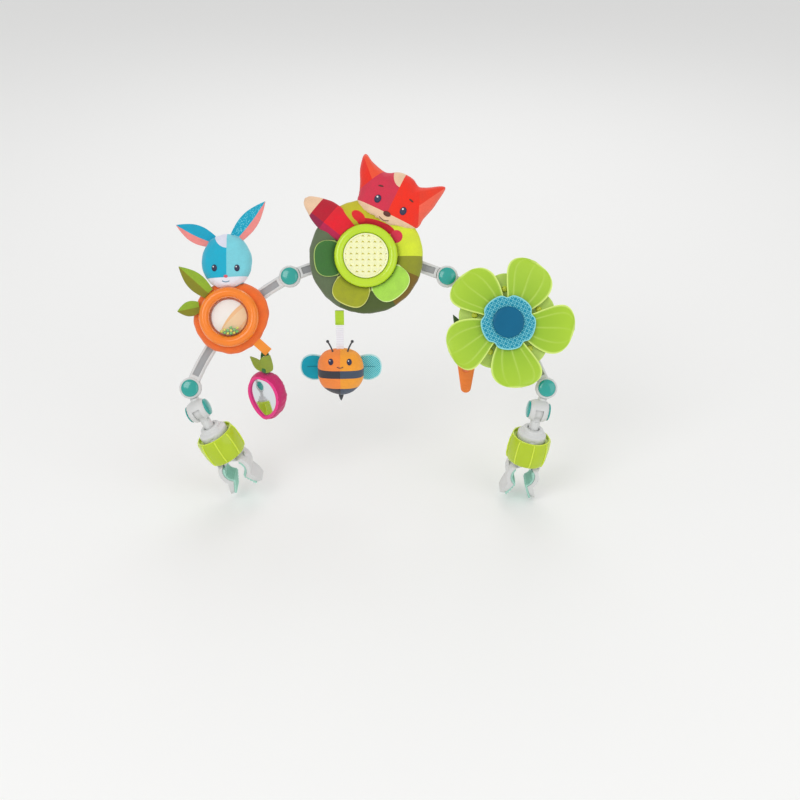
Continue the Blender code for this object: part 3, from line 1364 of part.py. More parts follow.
def radish(frame):
    """Padded frame round a mirror, with a tuft of leaves and a short strap."""
    yaw = Matrix.Rotation(radians(RADISH_YAW_DEGREES), 4, "Y")
    strap = hung_strap(RADISH_STRAP_WIDTH / 2, RADISH_STRAP_LENGTH, RIBBON / 2)
    piece("radish_strap", moved(strap, yaw), frame, "white_webbing")
    tuft_top = -RADISH_STRAP_LENGTH - SEAT_GAP
    tuft = turned(dome(TUFT_RADIUS, -TUFT_HEIGHT, TUFT_CROWN, 2), TUFT_SIDES)
    tuft = moved(tuft, Matrix.Rotation(-pi / 2, 4, "X"))
    leaves = piece("radish_leaves", shifted(tuft, y=tuft_top - TUFT_CROWN), frame, "lime_felt")
    for index, aim in enumerate(RADISH_LEAF_AIM_DEGREES):
        height = TUFT_RADIUS * RADISH_LEAF_STAND_SHARES[index]
        curl = FELT if height > 0 else -FELT
        shape = leaf(RADISH_LEAF_LENGTHS[index], RADISH_LEAF_WIDTHS[index], FELT, FELT, curl)
        join(leaves, moved(shape, yaw @ aimed((0, tuft_top - TUFT_LEAF_DEPTH), aim, height)))
    middle = tuft_top - TUFT_CROWN - TUFT_HEIGHT - SEAT_GAP - RADISH_HEIGHT / 2
    outline = smooth_outline([(x * RADISH_WIDTH, y * RADISH_HEIGHT) for x, y in RADISH_OUTLINE_SHARES], 2)
    rings = []
    for share, up in RADISH_SECTION_SHARES:
        rings.append(scaled_ring(outline, (0, 0), share, up * RADISH_THICKNESS))
    place = yaw @ Matrix.Translation((0, middle, 0))
    padded = piece("radish_frame", moved(lofted(rings), place), frame, "pink_cloth")
    front = RADISH_THICKNESS / 2
    seat = front - MIRROR_SINK - MIRROR_THICKNESS
    window = [(x * MIRROR_SHARE, y * MIRROR_SHARE) for x, y in outline]
    cut(padded, moved(extruded(window, seat, front + OVERRUN), place))
    fit_share = 1 - 2 * SEAT_GAP / (MIRROR_SHARE * RADISH_WIDTH)
    glass = [(x * fit_share, y * fit_share) for x, y in window]
    plate = extruded(glass, seat + SEAT_GAP, seat + SEAT_GAP + MIRROR_THICKNESS)
    piece("radish_mirror", moved(plate, place), frame, "mirror")


def carrot(frame):
    """Teether: a domed cap over a tapering loop with a finger hole and chewing ridges."""
    top = -CARROT_STALK_LENGTH
    cap_base = top - CARROT_CAP_HEIGHT
    foot = cap_base - CARROT_LENGTH
    half_cap = CARROT_CAP_WIDTH / 2
    half_tip = CARROT_TIP_WIDTH / 2
    waist = half_cap - CARROT_EDGE
    cap = [(x, min(y, top - SEAT_GAP)) for x, y in arc((0, cap_base), half_cap, 8, 172, 10)]
    tip = arc((0, foot + half_tip), half_tip, -180, 0, 8)
    outline = [(waist, cap_base)] + cap + [(-waist, cap_base)] + tip
    half = CARROT_THICKNESS / 2
    made = piece("carrot_teether", extruded(outline, -half, half, CARROT_EDGE), frame, "orange_plastic")
    wide = waist - CARROT_WALL
    hole = arc((0, cap_base - CARROT_WALL / 2 - wide), wide, 0, 180, 8)
    hole += arc((0, foot + CARROT_HOLE_FOOT), CARROT_HOLE_TIP_RADIUS, 180, 360, 6)
    cut(made, extruded(hole, -half - OVERRUN, half + OVERRUN))
    for ridge in range(CARROT_RIDGE_COUNT):
        bar = moved(rod(CARROT_RIDGE, -CARROT_RIDGE_REACH, CARROT_RIDGE_REACH, BORE_STEPS), ALONG_X)
        join(made, shifted(bar, y=foot + CARROT_RIDGE_START + ridge * CARROT_RIDGE_PITCH, z=half))
    carrot_leaves(frame, top)


def carrot_leaves(frame, root):
    """Tuft of felt leaves that stands on the cap, round the stalk that the strap holds."""
    stalk = hung_strap(CARROT_EYE_RADIUS, -root, FELT)
    made = piece("carrot_leaves", stalk, frame, "dark_felt")
    for index, aim in enumerate(CARROT_LEAF_AIM_DEGREES):
        shape = leaf(CARROT_LEAF_LENGTHS[index], CARROT_LEAF_WIDTHS[index], FELT, FELT, FELT * 2)
        side = 1 if index % 2 else -1
        height = side * FELT * CARROT_LEAF_LAYERS[index]
        turn = Matrix.Rotation(pi, 4, "Y") if side < 0 else Matrix.Identity(4)
        spot = (CARROT_EYE_RADIUS * cos(radians(aim)), root + FELT * (index + 1) / 4)
        join(made, moved(shape, aimed(spot, aim, height) @ turn))
    foot = rod(CARROT_COLLAR_RADIUS, 0, FELT * 2, BORE_STEPS + 4)
    join(made, moved(foot, Matrix.Translation((0, root, 0)) @ Matrix.Rotation(-pi / 2, 4, "X")))


def carrot_strap(frame, upright):
    """Webbing looped round the arm with a tail hanging straight down to the hinge, where upright leads."""
    face = LINK_HALF_THICKNESS + 2 * SEAT_GAP
    outer, _ = link_loop(CARROT_STRAP_WIDTH, face)
    _, passage = link_loop(2 * CARROT_STRAP_WIDTH, face)
    made = piece("carrot_strap", outer, frame, "white_webbing")
    half = CARROT_STRAP_WIDTH / 2
    tail = box((-half, half), (FELT + SEAT_GAP, CARROT_STRAP_DROP), (-RIBBON, RIBBON))
    join(made, moved(tail, upright))
    cut(made, passage)


# Rattle with the rabbit, drawn in a frame on the left arm


def pouch_outline(swell=0.0):
    """Nearly round, fuller towards the upper right where it folds over the arm."""
    points = []
    for step in range(LARGE_STEPS):
        angle = 2 * pi * step / LARGE_STEPS
        toward = max(cos(angle - radians(POUCH_BULGE_DEGREES)), 0) ** 4
        radius = POUCH_RADIUS + POUCH_BULGE * toward + swell
        points.append((radius * cos(angle), radius * sin(angle)))
    return points


def pouch_shape(middle, swell=0.0):
    """The stuffed pouch round its seam; swell makes it a cutter."""
    outline = pouch_outline(swell)
    crown = POUCH_THICKNESS / 2 + swell
    rings = []
    for share, up in POUCH_SECTION_SHARES:
        rings.append(scaled_ring(outline, (0, 0), share, middle + crown * up))
    return lofted(rings)


def rattle(frame, loop_place):
    """Pouch round the arm, ring, window, beads and webbing tab; returns the height of the seam."""
    middle = LINK_FACE + POUCH_THICKNESS / 2
    pouch = piece("rattle_pouch", pouch_shape(middle), frame, "orange_cloth")
    outer, inner = link_loop(RATTLE_LOOP_LENGTH, LINK_FACE + SEAT_GAP)
    join(pouch, moved(outer, loop_place))
    half = TAB_WIDTH / 2
    tab = box((TAB_ROOT, POUCH_RADIUS + TAB_LENGTH), (-half, half), (-TAB_THICKNESS / 2, TAB_THICKNESS / 2))
    tab_turn = Matrix.Rotation(radians(TAB_TURN_DEGREES), 4, "Z")
    join(pouch, moved(tab, Matrix.Translation((0, 0, middle)) @ tab_turn))
    cut(pouch, moved(inner, loop_place))
    face = LINK_FACE + POUCH_THICKNESS + SEAT_GAP
    half_ring = (RATTLE_RADIUS - RATTLE_HOLE_RADIUS) / 2
    ring_middle = RATTLE_HOLE_RADIUS + half_ring
    profile = [(ring_middle + half_ring, face)]
    for step in range(6):
        angle = pi * step / 5
        up = RING_SIDE_SHARE + (1 - RING_SIDE_SHARE) * sin(angle)
        profile.append((ring_middle + half_ring * cos(angle), face + RATTLE_HEIGHT * up))
    profile.append((ring_middle - half_ring, face + WINDOW_FLANGE + 2 * SEAT_GAP))
    step_radius = ring_middle - half_ring * RING_STEP_SHARE
    profile.append((step_radius, face + WINDOW_FLANGE + 2 * SEAT_GAP))
    profile.append((step_radius, face))
    piece("rattle_ring", turned(profile, LARGE_STEPS), frame, "orange_plastic")
    window_and_beads(frame, face, step_radius)
    return middle


def window_and_beads(frame, face, seat_radius):
    """Clear cup, flanged under the ring, with loose beads between it and the pouch."""
    flange = seat_radius - SEAT_GAP
    radius = RATTLE_HOLE_RADIUS - SEAT_GAP
    inner = radius - WINDOW_WALL
    base = face + SEAT_GAP
    top = face + WINDOW_HEIGHT
    profile = (
        (0, top - WINDOW_WALL),
        (inner, top - WINDOW_WALL),
        (inner, base),
        (flange, base),
        (flange, base + WINDOW_FLANGE),
        (radius, base + WINDOW_FLANGE),
        (radius, top - WINDOW_WALL),
        (radius - WINDOW_WALL, top),
        (0, top),
    )
    piece("rattle_window", turned(profile, HUB_STEPS), frame, "clear")
    for index, finish in enumerate(("bead_green", "bead_yellow")):
        x = (index - 0.5) * BEAD_SPACING
        low = -sqrt((inner - BEAD_RADIUS - SEAT_GAP) ** 2 - x**2)
        bead = bmesh.new()
        bmesh.ops.create_icosphere(bead, subdivisions=1, radius=BEAD_RADIUS)
        piece(finish, shifted(bead, x, low, base + BEAD_RADIUS + SEAT_GAP), frame, finish)


def rabbit(frame, middle):
    """Stuffed head with two folded ears, hollowed where it lies behind the ring."""
    outline = []
    for step in range(LARGE_STEPS):
        angle = 2 * pi * step / LARGE_STEPS
        pinch = 1 - RABBIT_CHIN_SHARE * max(-sin(angle), 0) ** 2
        outline.append((RABBIT_WIDTH / 2 * cos(angle) * pinch, RABBIT_HEIGHT / 2 * sin(angle)))
    place = Matrix.Translation((*RABBIT_PLACE, RABBIT_STAND))
    stuffed = moved(pillow(outline, RABBIT_FRONT, RABBIT_BACK), place)
    head = piece("rabbit_head", stuffed, frame, "turquoise_cloth")
    for index, aim in enumerate(EAR_AIM_DEGREES):
        root_x = RABBIT_PLACE[0] + EAR_ROOT_SHARES[index] * RABBIT_WIDTH
        crown = RABBIT_HEIGHT / 2 * sqrt(1 - (2 * EAR_ROOT_SHARES[index]) ** 2)
        root_y = RABBIT_PLACE[1] + crown * EAR_ROOT_SINK_SHARE
        shape = leaf(EAR_LENGTHS[index], EAR_WIDTH, EAR_THICKNESS, EAR_THICKNESS, EAR_LEAN)
        join(head, moved(shape, aimed((root_x, root_y), aim, RABBIT_STAND - EAR_THICKNESS)))
    cut(head, pouch_shape(middle, SEAT_GAP))
    face = LINK_FACE + POUCH_THICKNESS
    cut(head, rod(RATTLE_RADIUS + 2 * SEAT_GAP, face - BITE, face + RABBIT_FRONT + RABBIT_STAND, LARGE_STEPS))


def rattle_leaves(frame):
    """Two felt leaves on one curved strip that is sewn to the pouch beside the ring."""
    face = LINK_FACE + POUCH_THICKNESS + SEAT_GAP
    inner = RATTLE_RADIUS + SEAT_GAP + FELT / 2
    strip = arc((0, 0), inner, *RATTLE_LEAF_PLACES_DEGREES, 5)
    strip += arc((0, 0), inner + 2 * FELT, *reversed(RATTLE_LEAF_PLACES_DEGREES), 5)
    made = piece("rattle_leaves", extruded(strip, face, face + FELT), frame, "lime_felt")
    for index, aim in enumerate(RATTLE_LEAF_AIM_DEGREES):
        shape = leaf(RATTLE_LEAF_LENGTHS[index], RATTLE_LEAF_WIDTHS[index], FELT, FELT, FELT)
        around = radians(RATTLE_LEAF_PLACES_DEGREES[index])
        root = inner + FELT / 2
        place = aimed((root * cos(around), root * sin(around)), aim, face + FELT / 3)
        join(made, moved(shape, place))


# Wind flower, drawn in a frame on the right arm


def flower_back(frame, arm_turn):
    """Arm clip, back flower and axle in one moulding."""
    plate_base = LINK_FACE + BACK_FLOWER_STAND
    plate_top = plate_base + BACK_FLOWER_THICKNESS
    outline = []
    steps = PETAL_COUNT * FLOWER_STEPS_PER_LOBE
    for step in range(steps):
        angle = 2 * pi * step / steps
        from_lobe = angle - radians(PETAL_FIRST_DEGREES + 180 / PETAL_COUNT)
        lobe = abs(cos(PETAL_COUNT / 2 * from_lobe)) ** BACK_LOBE_ROUNDNESS
        radius = BACK_FLOWER_RADIUS * (BACK_FLOWER_WAIST_SHARE + (1 - BACK_FLOWER_WAIST_SHARE) * lobe)
        outline.append((radius * cos(angle), radius * sin(angle)))
    made = piece("flower_back", extruded(outline, plate_base, plate_top), frame, "pale_lime")
    boss_base = LINK_FACE + BITE
    fan_base = plate_top + FAN_STAND
    axle_top = fan_base + FAN_HUB_THICKNESS + 2 * RUN_GAP
    axle_profile = (
        (0, boss_base),
        (BACK_FLOWER_BOSS_RADIUS, boss_base),
        (BACK_FLOWER_BOSS_RADIUS, plate_top + BITE),
        (AXLE_HEAD_RADIUS + BITE, fan_base - RUN_GAP),
        (AXLE_RADIUS, fan_base - RUN_GAP),
        (AXLE_RADIUS, axle_top),
        (AXLE_HEAD_RADIUS, axle_top),
        (AXLE_HEAD_RADIUS - BITE, axle_top + AXLE_HEAD_HEIGHT),
        (0, axle_top + AXLE_HEAD_HEIGHT),
    )
    join(made, turned(axle_profile, BORE_STEPS + 2))
    join(made, moved(arm_clip(), arm_turn))
    return fan_base


def arm_clip():
    """C-shaped clip that snaps over a link lying along X, open behind."""
    half = LINK_WIDTH / 2 + CLIP_FIT
    back = -LINK_HALF_THICKNESS - CLIP_FIT
    face = LINK_FACE
    wall = CLIP_WALL
    right = [
        (half, face),
        (half, back),
        (half - CLIP_LIP, back),
        (half - CLIP_LIP + wall / 2, back - wall),
        (half + wall, back - wall),
        (half + wall, face + wall),
    ]
    outline = right + [(-x, y) for x, y in reversed(right)]
    return moved(extruded(outline, -CLIP_LENGTH / 2, CLIP_LENGTH / 2), SIDEWAYS)


# Petal stations: share of the blade's length, share of its full width, share of its sweep, share of its pitch
PETAL_SHARES = (
    (0.0, 0.38, 0.0, 0.3),
    (0.18, 0.58, 0.1, 0.48),
    (0.38, 0.81, 0.35, 0.68),
    (0.58, 0.97, 0.7, 0.88),
    (0.76, 1.0, 1.0, 1.0),
    (0.92, 0.76, 1.1, 1.0),
    (1.0, 0.22, 1.1, 1.0),
)
# Across a petal: share of the half width, share of the rim height, share of the vein height
PETAL_SECTION_SHARES = (
    (-1.0, 1.0, 0.0),
    (-0.90, 0.0, 0.0),
    (-0.38, 0.0, 0.0),
    (-0.32, 0.0, 1.0),
    (-0.26, 0.0, 0.0),
    (0.22, 0.0, 0.0),
    (0.28, 0.0, 1.0),
    (0.34, 0.0, 0.0),
    (0.90, 0.0, 0.0),
    (1.0, 1.0, 0.0),
)


def petal(base):
    """Twisted blade along +X with a raised rim and two veins that fade towards the tip."""
    rings = []
    length = FAN_RADIUS - PETAL_ROOT_RADIUS
    for along, full, sweep, pitch in PETAL_SHARES:
        x = PETAL_ROOT_RADIUS + length * along
        half = PETAL_WIDTH / 2 * full
        middle = PETAL_SWEEP * sweep
        rise = PETAL_PITCH * pitch
        top = []
        for across, rim, vein in PETAL_SECTION_SHARES:
            lift = PETAL_RIM * rim + PETAL_VEIN * vein * (1.0 - along)
            top.append((x, middle + half * across, base + rise * across + PETAL_THICKNESS + lift))
        low = [(x, middle + half * across, base + rise * across) for across in (1.0, 0.0, -1.0)]
        rings.append(top + low)
    return lofted(rings)


def flower_fan(frame, base):
    """Hub with five blades."""
    top = base + FAN_HUB_THICKNESS
    hub_profile = (
        (AXLE_RADIUS + RUN_GAP, base),
        (FAN_HUB_RADIUS, base),
        (FAN_HUB_RADIUS, top),
        (AXLE_RADIUS + RUN_GAP, top),
    )
    made = piece("flower_fan", turned(hub_profile, HUB_STEPS), frame, "leaf_lime")
    for index in range(PETAL_COUNT):
        turn = Matrix.Rotation(radians(PETAL_FIRST_DEGREES) + 2 * pi * index / PETAL_COUNT, 4, "Z")
        join(made, moved(petal(base + PETAL_PITCH / 4), turn))
    return top


def flower_trim_and_cap(frame, fan_top):
    """Five-lobed trim plate and the hub cap over it."""
    base = fan_top + SEAT_GAP
    outline = []
    steps = PETAL_COUNT * FLOWER_STEPS_PER_LOBE
    for step in range(steps):
        angle = 2 * pi * step / steps
        notch = abs(sin(PETAL_COUNT / 2 * (angle - radians(TRIM_TURN_DEGREES)))) ** TRIM_NOTCH_SHARPNESS
        radius = TRIM_RADIUS - TRIM_NOTCH * notch
        outline.append((radius * cos(angle), radius * sin(angle)))
    trim = piece("flower_trim", extruded(outline, base, base + TRIM_THICKNESS), frame, "teal_print")
    cut(trim, rod(AXLE_HEAD_RADIUS + RUN_GAP, base - OVERRUN, base + TRIM_THICKNESS + OVERRUN))
    cap_base = base + TRIM_THICKNESS + SEAT_GAP + BITE
    cap_profile = (
        (0, cap_base),
        (HUB_CAP_RADIUS, cap_base),
        (HUB_CAP_RADIUS, cap_base + HUB_CAP_HEIGHT - HUB_CAP_EDGE),
        (HUB_CAP_RADIUS - HUB_CAP_EDGE, cap_base + HUB_CAP_HEIGHT),
        (0, cap_base + HUB_CAP_HEIGHT),
    )
    piece("flower_cap", turned(cap_profile, LARGE_STEPS), frame, "deep_blue")


def build():
    clear_scene()
    lean_left = radians(LEFT_CLAMP_LEAN_DEGREES)
    lean_right = radians(RIGHT_CLAMP_LEAN_DEGREES)
    lean = radians(ARCH_LEAN_DEGREES)
    left_pin = Vector((-sin(lean_left), 0, cos(lean_left))) * TILT_PIN_HEIGHT
    arch_place = left_pin + Vector((TILT_PIN_SPAN / 2, 0, 0))
    right_pin = left_pin + Vector((TILT_PIN_SPAN, 0, 0))
    right_seat = right_pin - Vector((sin(lean_right), 0, cos(lean_right))) * TILT_PIN_HEIGHT
    left_frame = frame_at("left_clamp_frame", None, Matrix.Rotation(-lean_left, 4, "Y"))
    right_turn = Matrix.Rotation(lean_right, 4, "Y") @ Matrix.Rotation(pi, 4, "Z")
    right_frame = frame_at("right_clamp_frame", None, Matrix.Translation(right_seat) @ right_turn)
    arch_turn = Matrix.Rotation(pi / 2 - lean, 4, "X")
    arch = frame_at("arch_frame", None, Matrix.Translation(arch_place) @ arch_turn)
    bpy.context.view_layer.update()
    clamp(left_frame, "left", -1)
    clamp(right_frame, "right", 1)
    arch_links(arch, left_frame, right_frame)


def arch_links(arch, left_frame, right_frame):
    """Knuckles, arms, centre link and their pins, and the toys that they carry."""
    shoulder = SHOULDER_SPAN / 2
    elbow_x = TILT_PIN_SPAN / 2 + ELBOW_SPREAD
    chord = Vector((shoulder - elbow_x, SHOULDER_RISE - ELBOW_RISE))
    for side, sign, clamp_frame in (("left", -1, left_frame), ("right", 1, right_frame)):
        axes = tilt_axes(arch, clamp_frame, sign)
        knuckle(arch, axes, side, sign)
        pin = moved(two_capped_pin(BALL_HALF_WIDTH), axes @ ALONG_X)
        piece(f"tilt_pin_{side}", pin, arch, "teal_cap", tuple(axes.to_translation()))
        elbow = (sign * elbow_x, ELBOW_RISE, 0)
        top = (sign * shoulder, SHOULDER_RISE, 0)
        piece(f"elbow_pin_{side}", shifted(hinge_pin(HUB_HALF_THICKNESS), *elbow), arch, "teal_cap", elbow)
        piece(f"shoulder_pin_{side}", shifted(hinge_pin(HUB_HALF_THICKNESS), *top), arch, "teal_cap", top)
        angle = atan2(chord.y, sign * chord.x)
        arm_turn = Matrix.Translation(elbow) @ Matrix.Rotation(angle, 4, "Z")
        arm_frame = frame_at(f"arm_frame_{side}", arch, arm_turn)
        arm(arm_frame, side, chord.length, -sign * ARM_SAGITTA)
        toys_on_arm(arch, side, elbow, angle, chord.length, -sign * ARM_SAGITTA)
    link_frame = frame_at("centre_link_frame", arch, Matrix.Translation((-shoulder, SHOULDER_RISE, 0)))
    centre_link(link_frame)
    toys_on_centre(arch)


def toys_on_centre(arch):
    place = (CUSHION_SHIFT, SHOULDER_RISE + CENTRE_SAGITTA + CUSHION_RISE, 0)
    frame = frame_at("cushion_frame", arch, Matrix.Translation(place))
    cushion(frame)
    disc_leaf(frame, "disc_leaf_left", "dark_felt", 0)
    disc_leaf(frame, "disc_leaf_low", "olive_felt", 1)
    disc_leaf(frame, "disc_leaf_right", "lime_felt", 2)
    music_unit(frame)
    fox_head(frame)
    fox_tail(frame)
    lean = Matrix.Rotation(radians(ARCH_LEAN_DEGREES), 4, "X")
    height = LINK_FACE + CUSHION_THICKNESS * CUSHION_RIM_SHARE
    near_corner = BEE_HANG_SIDE + BEE_TAB_WIDTH / 2
    drop = sqrt(CUSHION_RADIUS**2 - near_corner**2) + SEAT_GAP + RIBBON
    hang = Matrix.Translation((BEE_HANG_SIDE, -drop, height)) @ lean
    bee(frame_at("bee_frame", frame, hang))


def toys_on_arm(arch, side, elbow, angle, pitch, sagitta):
    """The rattle on the left arm, the flower and the carrot on the right one."""
    arm_turn = Matrix.Translation(elbow) @ Matrix.Rotation(angle, 4, "Z")
    middle = arm_turn @ Vector((pitch / 2, sagitta, 0))
    lean = Matrix.Rotation(radians(ARCH_LEAN_DEGREES), 4, "X")
    if side == "left":
        centre = middle + Vector((*RATTLE_SHIFT, 0))
        frame = frame_at("rattle_frame", arch, Matrix.Translation(centre))
        loop = Matrix.Translation(middle - centre) @ Matrix.Rotation(angle, 4, "Z")
        seam = rattle(frame, loop)
        rabbit(frame, seam)
        rattle_leaves(frame)
        reach = POUCH_RADIUS + TAB_LENGTH
        tab = radians(TAB_TURN_DEGREES)
        corner = reach * sin(tab) - TAB_WIDTH / 2 * cos(tab)
        place = (reach * cos(tab) + TAB_WIDTH / 2 * sin(tab), corner - SEAT_GAP - RIBBON / 2, seam)
        hang = Matrix.Translation(place) @ lean
        radish(frame_at("radish_frame_axes", frame, hang))
        return
    frame = frame_at("flower_frame", arch, Matrix.Translation(middle))
    fan_base = flower_back(frame, Matrix.Rotation(angle, 4, "Z"))
    fan_top = flower_fan(frame, fan_base)
    flower_trim_and_cap(frame, fan_top)
    point, turn = band_point(pitch, sagitta, pitch - CARROT_HINGE_FROM_SHOULDER)
    place = arm_turn @ Vector((*point, 0))
    on_arm = Matrix.Translation(place) @ Matrix.Rotation(angle + turn, 4, "Z")
    hang = Matrix.Translation(place) @ lean @ Matrix.Translation((0, -CARROT_STRAP_DROP, 0))
    carrot_strap(frame_at("carrot_strap_frame", arch, on_arm), on_arm.inverted() @ hang)
    carrot(frame_at("carrot_frame", arch, hang))


build()
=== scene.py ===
"""Stroller toy arch, dressed: soft toys, felt, moulded plastic and a pale studio.

Metres. +Z is up, +X runs from the left clamp to the right one and -Y faces the viewer.
Each piece is modelled in the frame of what carries it and is then placed for good in its mesh.
"""

import json
from math import atan2, cos, pi, radians, sin, sqrt

import bpy
from mathutils import Matrix, Vector, noise

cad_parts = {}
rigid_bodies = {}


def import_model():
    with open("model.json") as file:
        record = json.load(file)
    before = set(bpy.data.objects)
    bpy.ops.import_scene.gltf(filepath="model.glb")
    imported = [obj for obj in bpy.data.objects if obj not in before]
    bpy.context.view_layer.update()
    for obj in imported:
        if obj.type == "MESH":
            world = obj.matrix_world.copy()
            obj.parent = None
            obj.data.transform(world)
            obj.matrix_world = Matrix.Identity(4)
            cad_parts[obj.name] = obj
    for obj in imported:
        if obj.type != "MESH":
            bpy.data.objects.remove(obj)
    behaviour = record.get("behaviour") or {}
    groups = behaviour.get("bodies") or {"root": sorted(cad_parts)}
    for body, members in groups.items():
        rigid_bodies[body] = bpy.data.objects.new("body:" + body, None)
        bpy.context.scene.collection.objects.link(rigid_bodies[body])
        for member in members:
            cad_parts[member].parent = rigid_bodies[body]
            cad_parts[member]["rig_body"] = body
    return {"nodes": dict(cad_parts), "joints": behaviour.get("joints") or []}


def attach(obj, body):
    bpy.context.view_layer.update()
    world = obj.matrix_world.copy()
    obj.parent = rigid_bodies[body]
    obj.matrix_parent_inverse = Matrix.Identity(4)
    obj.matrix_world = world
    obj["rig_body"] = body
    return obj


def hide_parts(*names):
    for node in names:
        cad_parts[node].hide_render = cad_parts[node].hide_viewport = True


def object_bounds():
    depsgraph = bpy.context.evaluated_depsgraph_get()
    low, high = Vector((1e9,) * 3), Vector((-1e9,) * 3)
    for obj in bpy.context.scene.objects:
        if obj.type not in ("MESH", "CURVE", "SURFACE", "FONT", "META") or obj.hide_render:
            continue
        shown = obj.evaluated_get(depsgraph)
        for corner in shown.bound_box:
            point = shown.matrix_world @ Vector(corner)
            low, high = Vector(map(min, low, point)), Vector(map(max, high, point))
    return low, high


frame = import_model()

CAD_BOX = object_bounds()

bl_info = {
    "name": "Stroller toy arch",
    "version": (1, 0, 0),
    "blender": (4, 5, 0),
    "location": "3D View > Sidebar > Toy arch",
    "description": "Dresses the frame of a stroller toy arch with its soft toys, flower and clamps",
    "category": "Object",
}

# Facets round a small and a large turned piece
FINE_STEPS = 48
BROAD_STEPS = 112

# Chord and rise of the bowed links
CENTRE_LINK_BOW = (0.204, 0.0226)
ARM_BOW = (0.19408, 0.018)

# Planes of the toy arch: the leaning arch plane and the upright plane of the hanging toys
ARCH_TILT = radians(62)
UPRIGHT_TILT = radians(90)

# Heights above the arch plane that pieces share
LINK_FACE = 0.0063
BEZEL_BASE = 0.0311
RING_FACE = 0.0211
PLATE_BASE = 0.0093
PLATE_TOP = 0.0117
FAN_BASE = 0.0169
FAN_TOP = 0.0229
SEAT_GAP = 0.0003


def in_plane(origin, tilt):
    """Frame at the origin whose x runs along +X; its y and z lean back by the tilt."""
    return Matrix.Translation(origin) @ Matrix.Rotation(tilt, 4, "X")


ARCH = in_plane((0.176939, 0.0, 0.082114), ARCH_TILT)
CUSHION = in_plane((0.174339, 0.092955, 0.256938), ARCH_TILT)
RATTLE = in_plane((-0.001509, 0.05632, 0.188036), ARCH_TILT)
FLOWER = in_plane((0.356887, 0.053268, 0.182297), ARCH_TILT)
BEE = in_plane((0.139839, 0.045856, 0.203695), UPRIGHT_TILT)
RADISH = in_plane((0.044638, 0.020636, 0.149787), UPRIGHT_TILT) @ Matrix.Rotation(radians(-34), 4, "Y")
CARROT = in_plane((0.30637, 0.07404, 0.191364), UPRIGHT_TILT)


# Modelling


def deselect():
    if bpy.context.object and bpy.context.object.mode != "OBJECT":
        bpy.ops.object.mode_set(mode="OBJECT")
    for other in bpy.context.view_layer.objects:
        other.select_set(False)


def take(piece):
    """Makes this piece the only selected one, and the active one."""
    deselect()
    piece.select_set(True)
    bpy.context.view_layer.objects.active = piece
    return piece


def started(name):
    """Names the primitive that was just added."""
    piece = bpy.context.object
    piece.name = name
    piece.data.name = name
    return piece


def edit(piece):
    take(piece)
    bpy.ops.object.mode_set(mode="EDIT")
    bpy.ops.mesh.select_mode(type="VERT")
    bpy.ops.mesh.select_all(action="SELECT")


def done():
    bpy.ops.object.mode_set(mode="OBJECT")


def apply_modifier(piece, kind, **settings):
    """Adds a modifier with its settings and applies it."""
    take(piece)
    modifier = piece.modifiers.new(kind.title(), kind)
    for name, value in settings.items():
        setattr(modifier, name, value)
    bpy.ops.object.modifier_apply(modifier=modifier.name)
    return piece


def tidy_faces(piece):
    """Merges doubles and turns every face outwards."""
    edit(piece)
    bpy.ops.mesh.remove_doubles(threshold=0.00002)
    bpy.ops.mesh.normals_make_consistent(inside=False)
    done()
    return piece


def smooth(piece, degrees=40.0):
    take(piece)
    bpy.ops.object.shade_smooth_by_angle(angle=radians(degrees))
    return piece


def eased(piece, width, segments=2, degrees=35.0):
    """Rounds the piece's sharp edges as its mould would."""
    apply_modifier(
        piece, "BEVEL", width=width, segments=segments, limit_method="ANGLE", angle_limit=radians(degrees)
    )
    return smooth(piece, degrees + 10)


def settled(piece, place):
    """Puts the piece in its place for good."""
    take(piece)
    piece.matrix_world = place
    bpy.context.view_layer.update()
    bpy.ops.object.transform_apply(location=True, rotation=True, scale=True)
    return piece


def shaped(piece, rule):
    """Moves each point to where the rule puts it."""
    for vertex in piece.data.vertices:
        vertex.co = rule(vertex.co.copy())
    piece.data.update()
    return piece


def fitted(piece, body, slot, *finishes, nodes=()):
    """Gives the piece its finishes, the body it rides on and the nodes it stands for."""
    if finishes:
        piece.data.materials.clear()
        for finish in finishes:
            piece.data.materials.append(finish)
    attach(piece, body)
    if nodes:
        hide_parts(*nodes)
    return piece


def copied_node(name, node):
    """A merged copy of a node's mesh, as a piece of its own."""
    deselect()
    piece = bpy.data.objects.new(name, frame["nodes"][node].data.copy())
    piece.data.materials.clear()
    bpy.context.scene.collection.objects.link(piece)
    edit(piece)
    bpy.ops.mesh.customdata_custom_splitnormals_clear()
    bpy.ops.mesh.remove_doubles(threshold=0.00001)
    done()
    return piece


def rigid_copy(node, width):
    """A node's own shape with flat faces made whole and its edges eased."""
    piece = copied_node(f"{node}_shell", node)
    edit(piece)
    bpy.ops.mesh.dissolve_limited(angle_limit=radians(1))
    done()
    return eased(piece, width)


def ring_stack(name, radius, rings, steps=BROAD_STEPS, outline=None):
    """A closed form from a circle extruded ring by ring; each ring is (share of the radius, height)."""
    deselect()
    bpy.ops.mesh.primitive_circle_add(
        vertices=steps, radius=radius * rings[0][0], fill_type="NGON", location=(0, 0, rings[0][1])
    )
    piece = started(name)
    bpy.ops.object.transform_apply(location=True, rotation=False, scale=False)
    edit(piece)
    for (share, height), (next_share, next_height) in zip(rings, rings[1:]):
        bpy.ops.mesh.extrude_region_move(TRANSFORM_OT_translate={"value": (0, 0, next_height - height)})
        scale = next_share / share
        bpy.ops.transform.resize(value=(scale, scale, 1), center_override=(0, 0, next_height))
    done()
    if outline:
        shaped(piece, outline)
    return tidy_faces(piece)


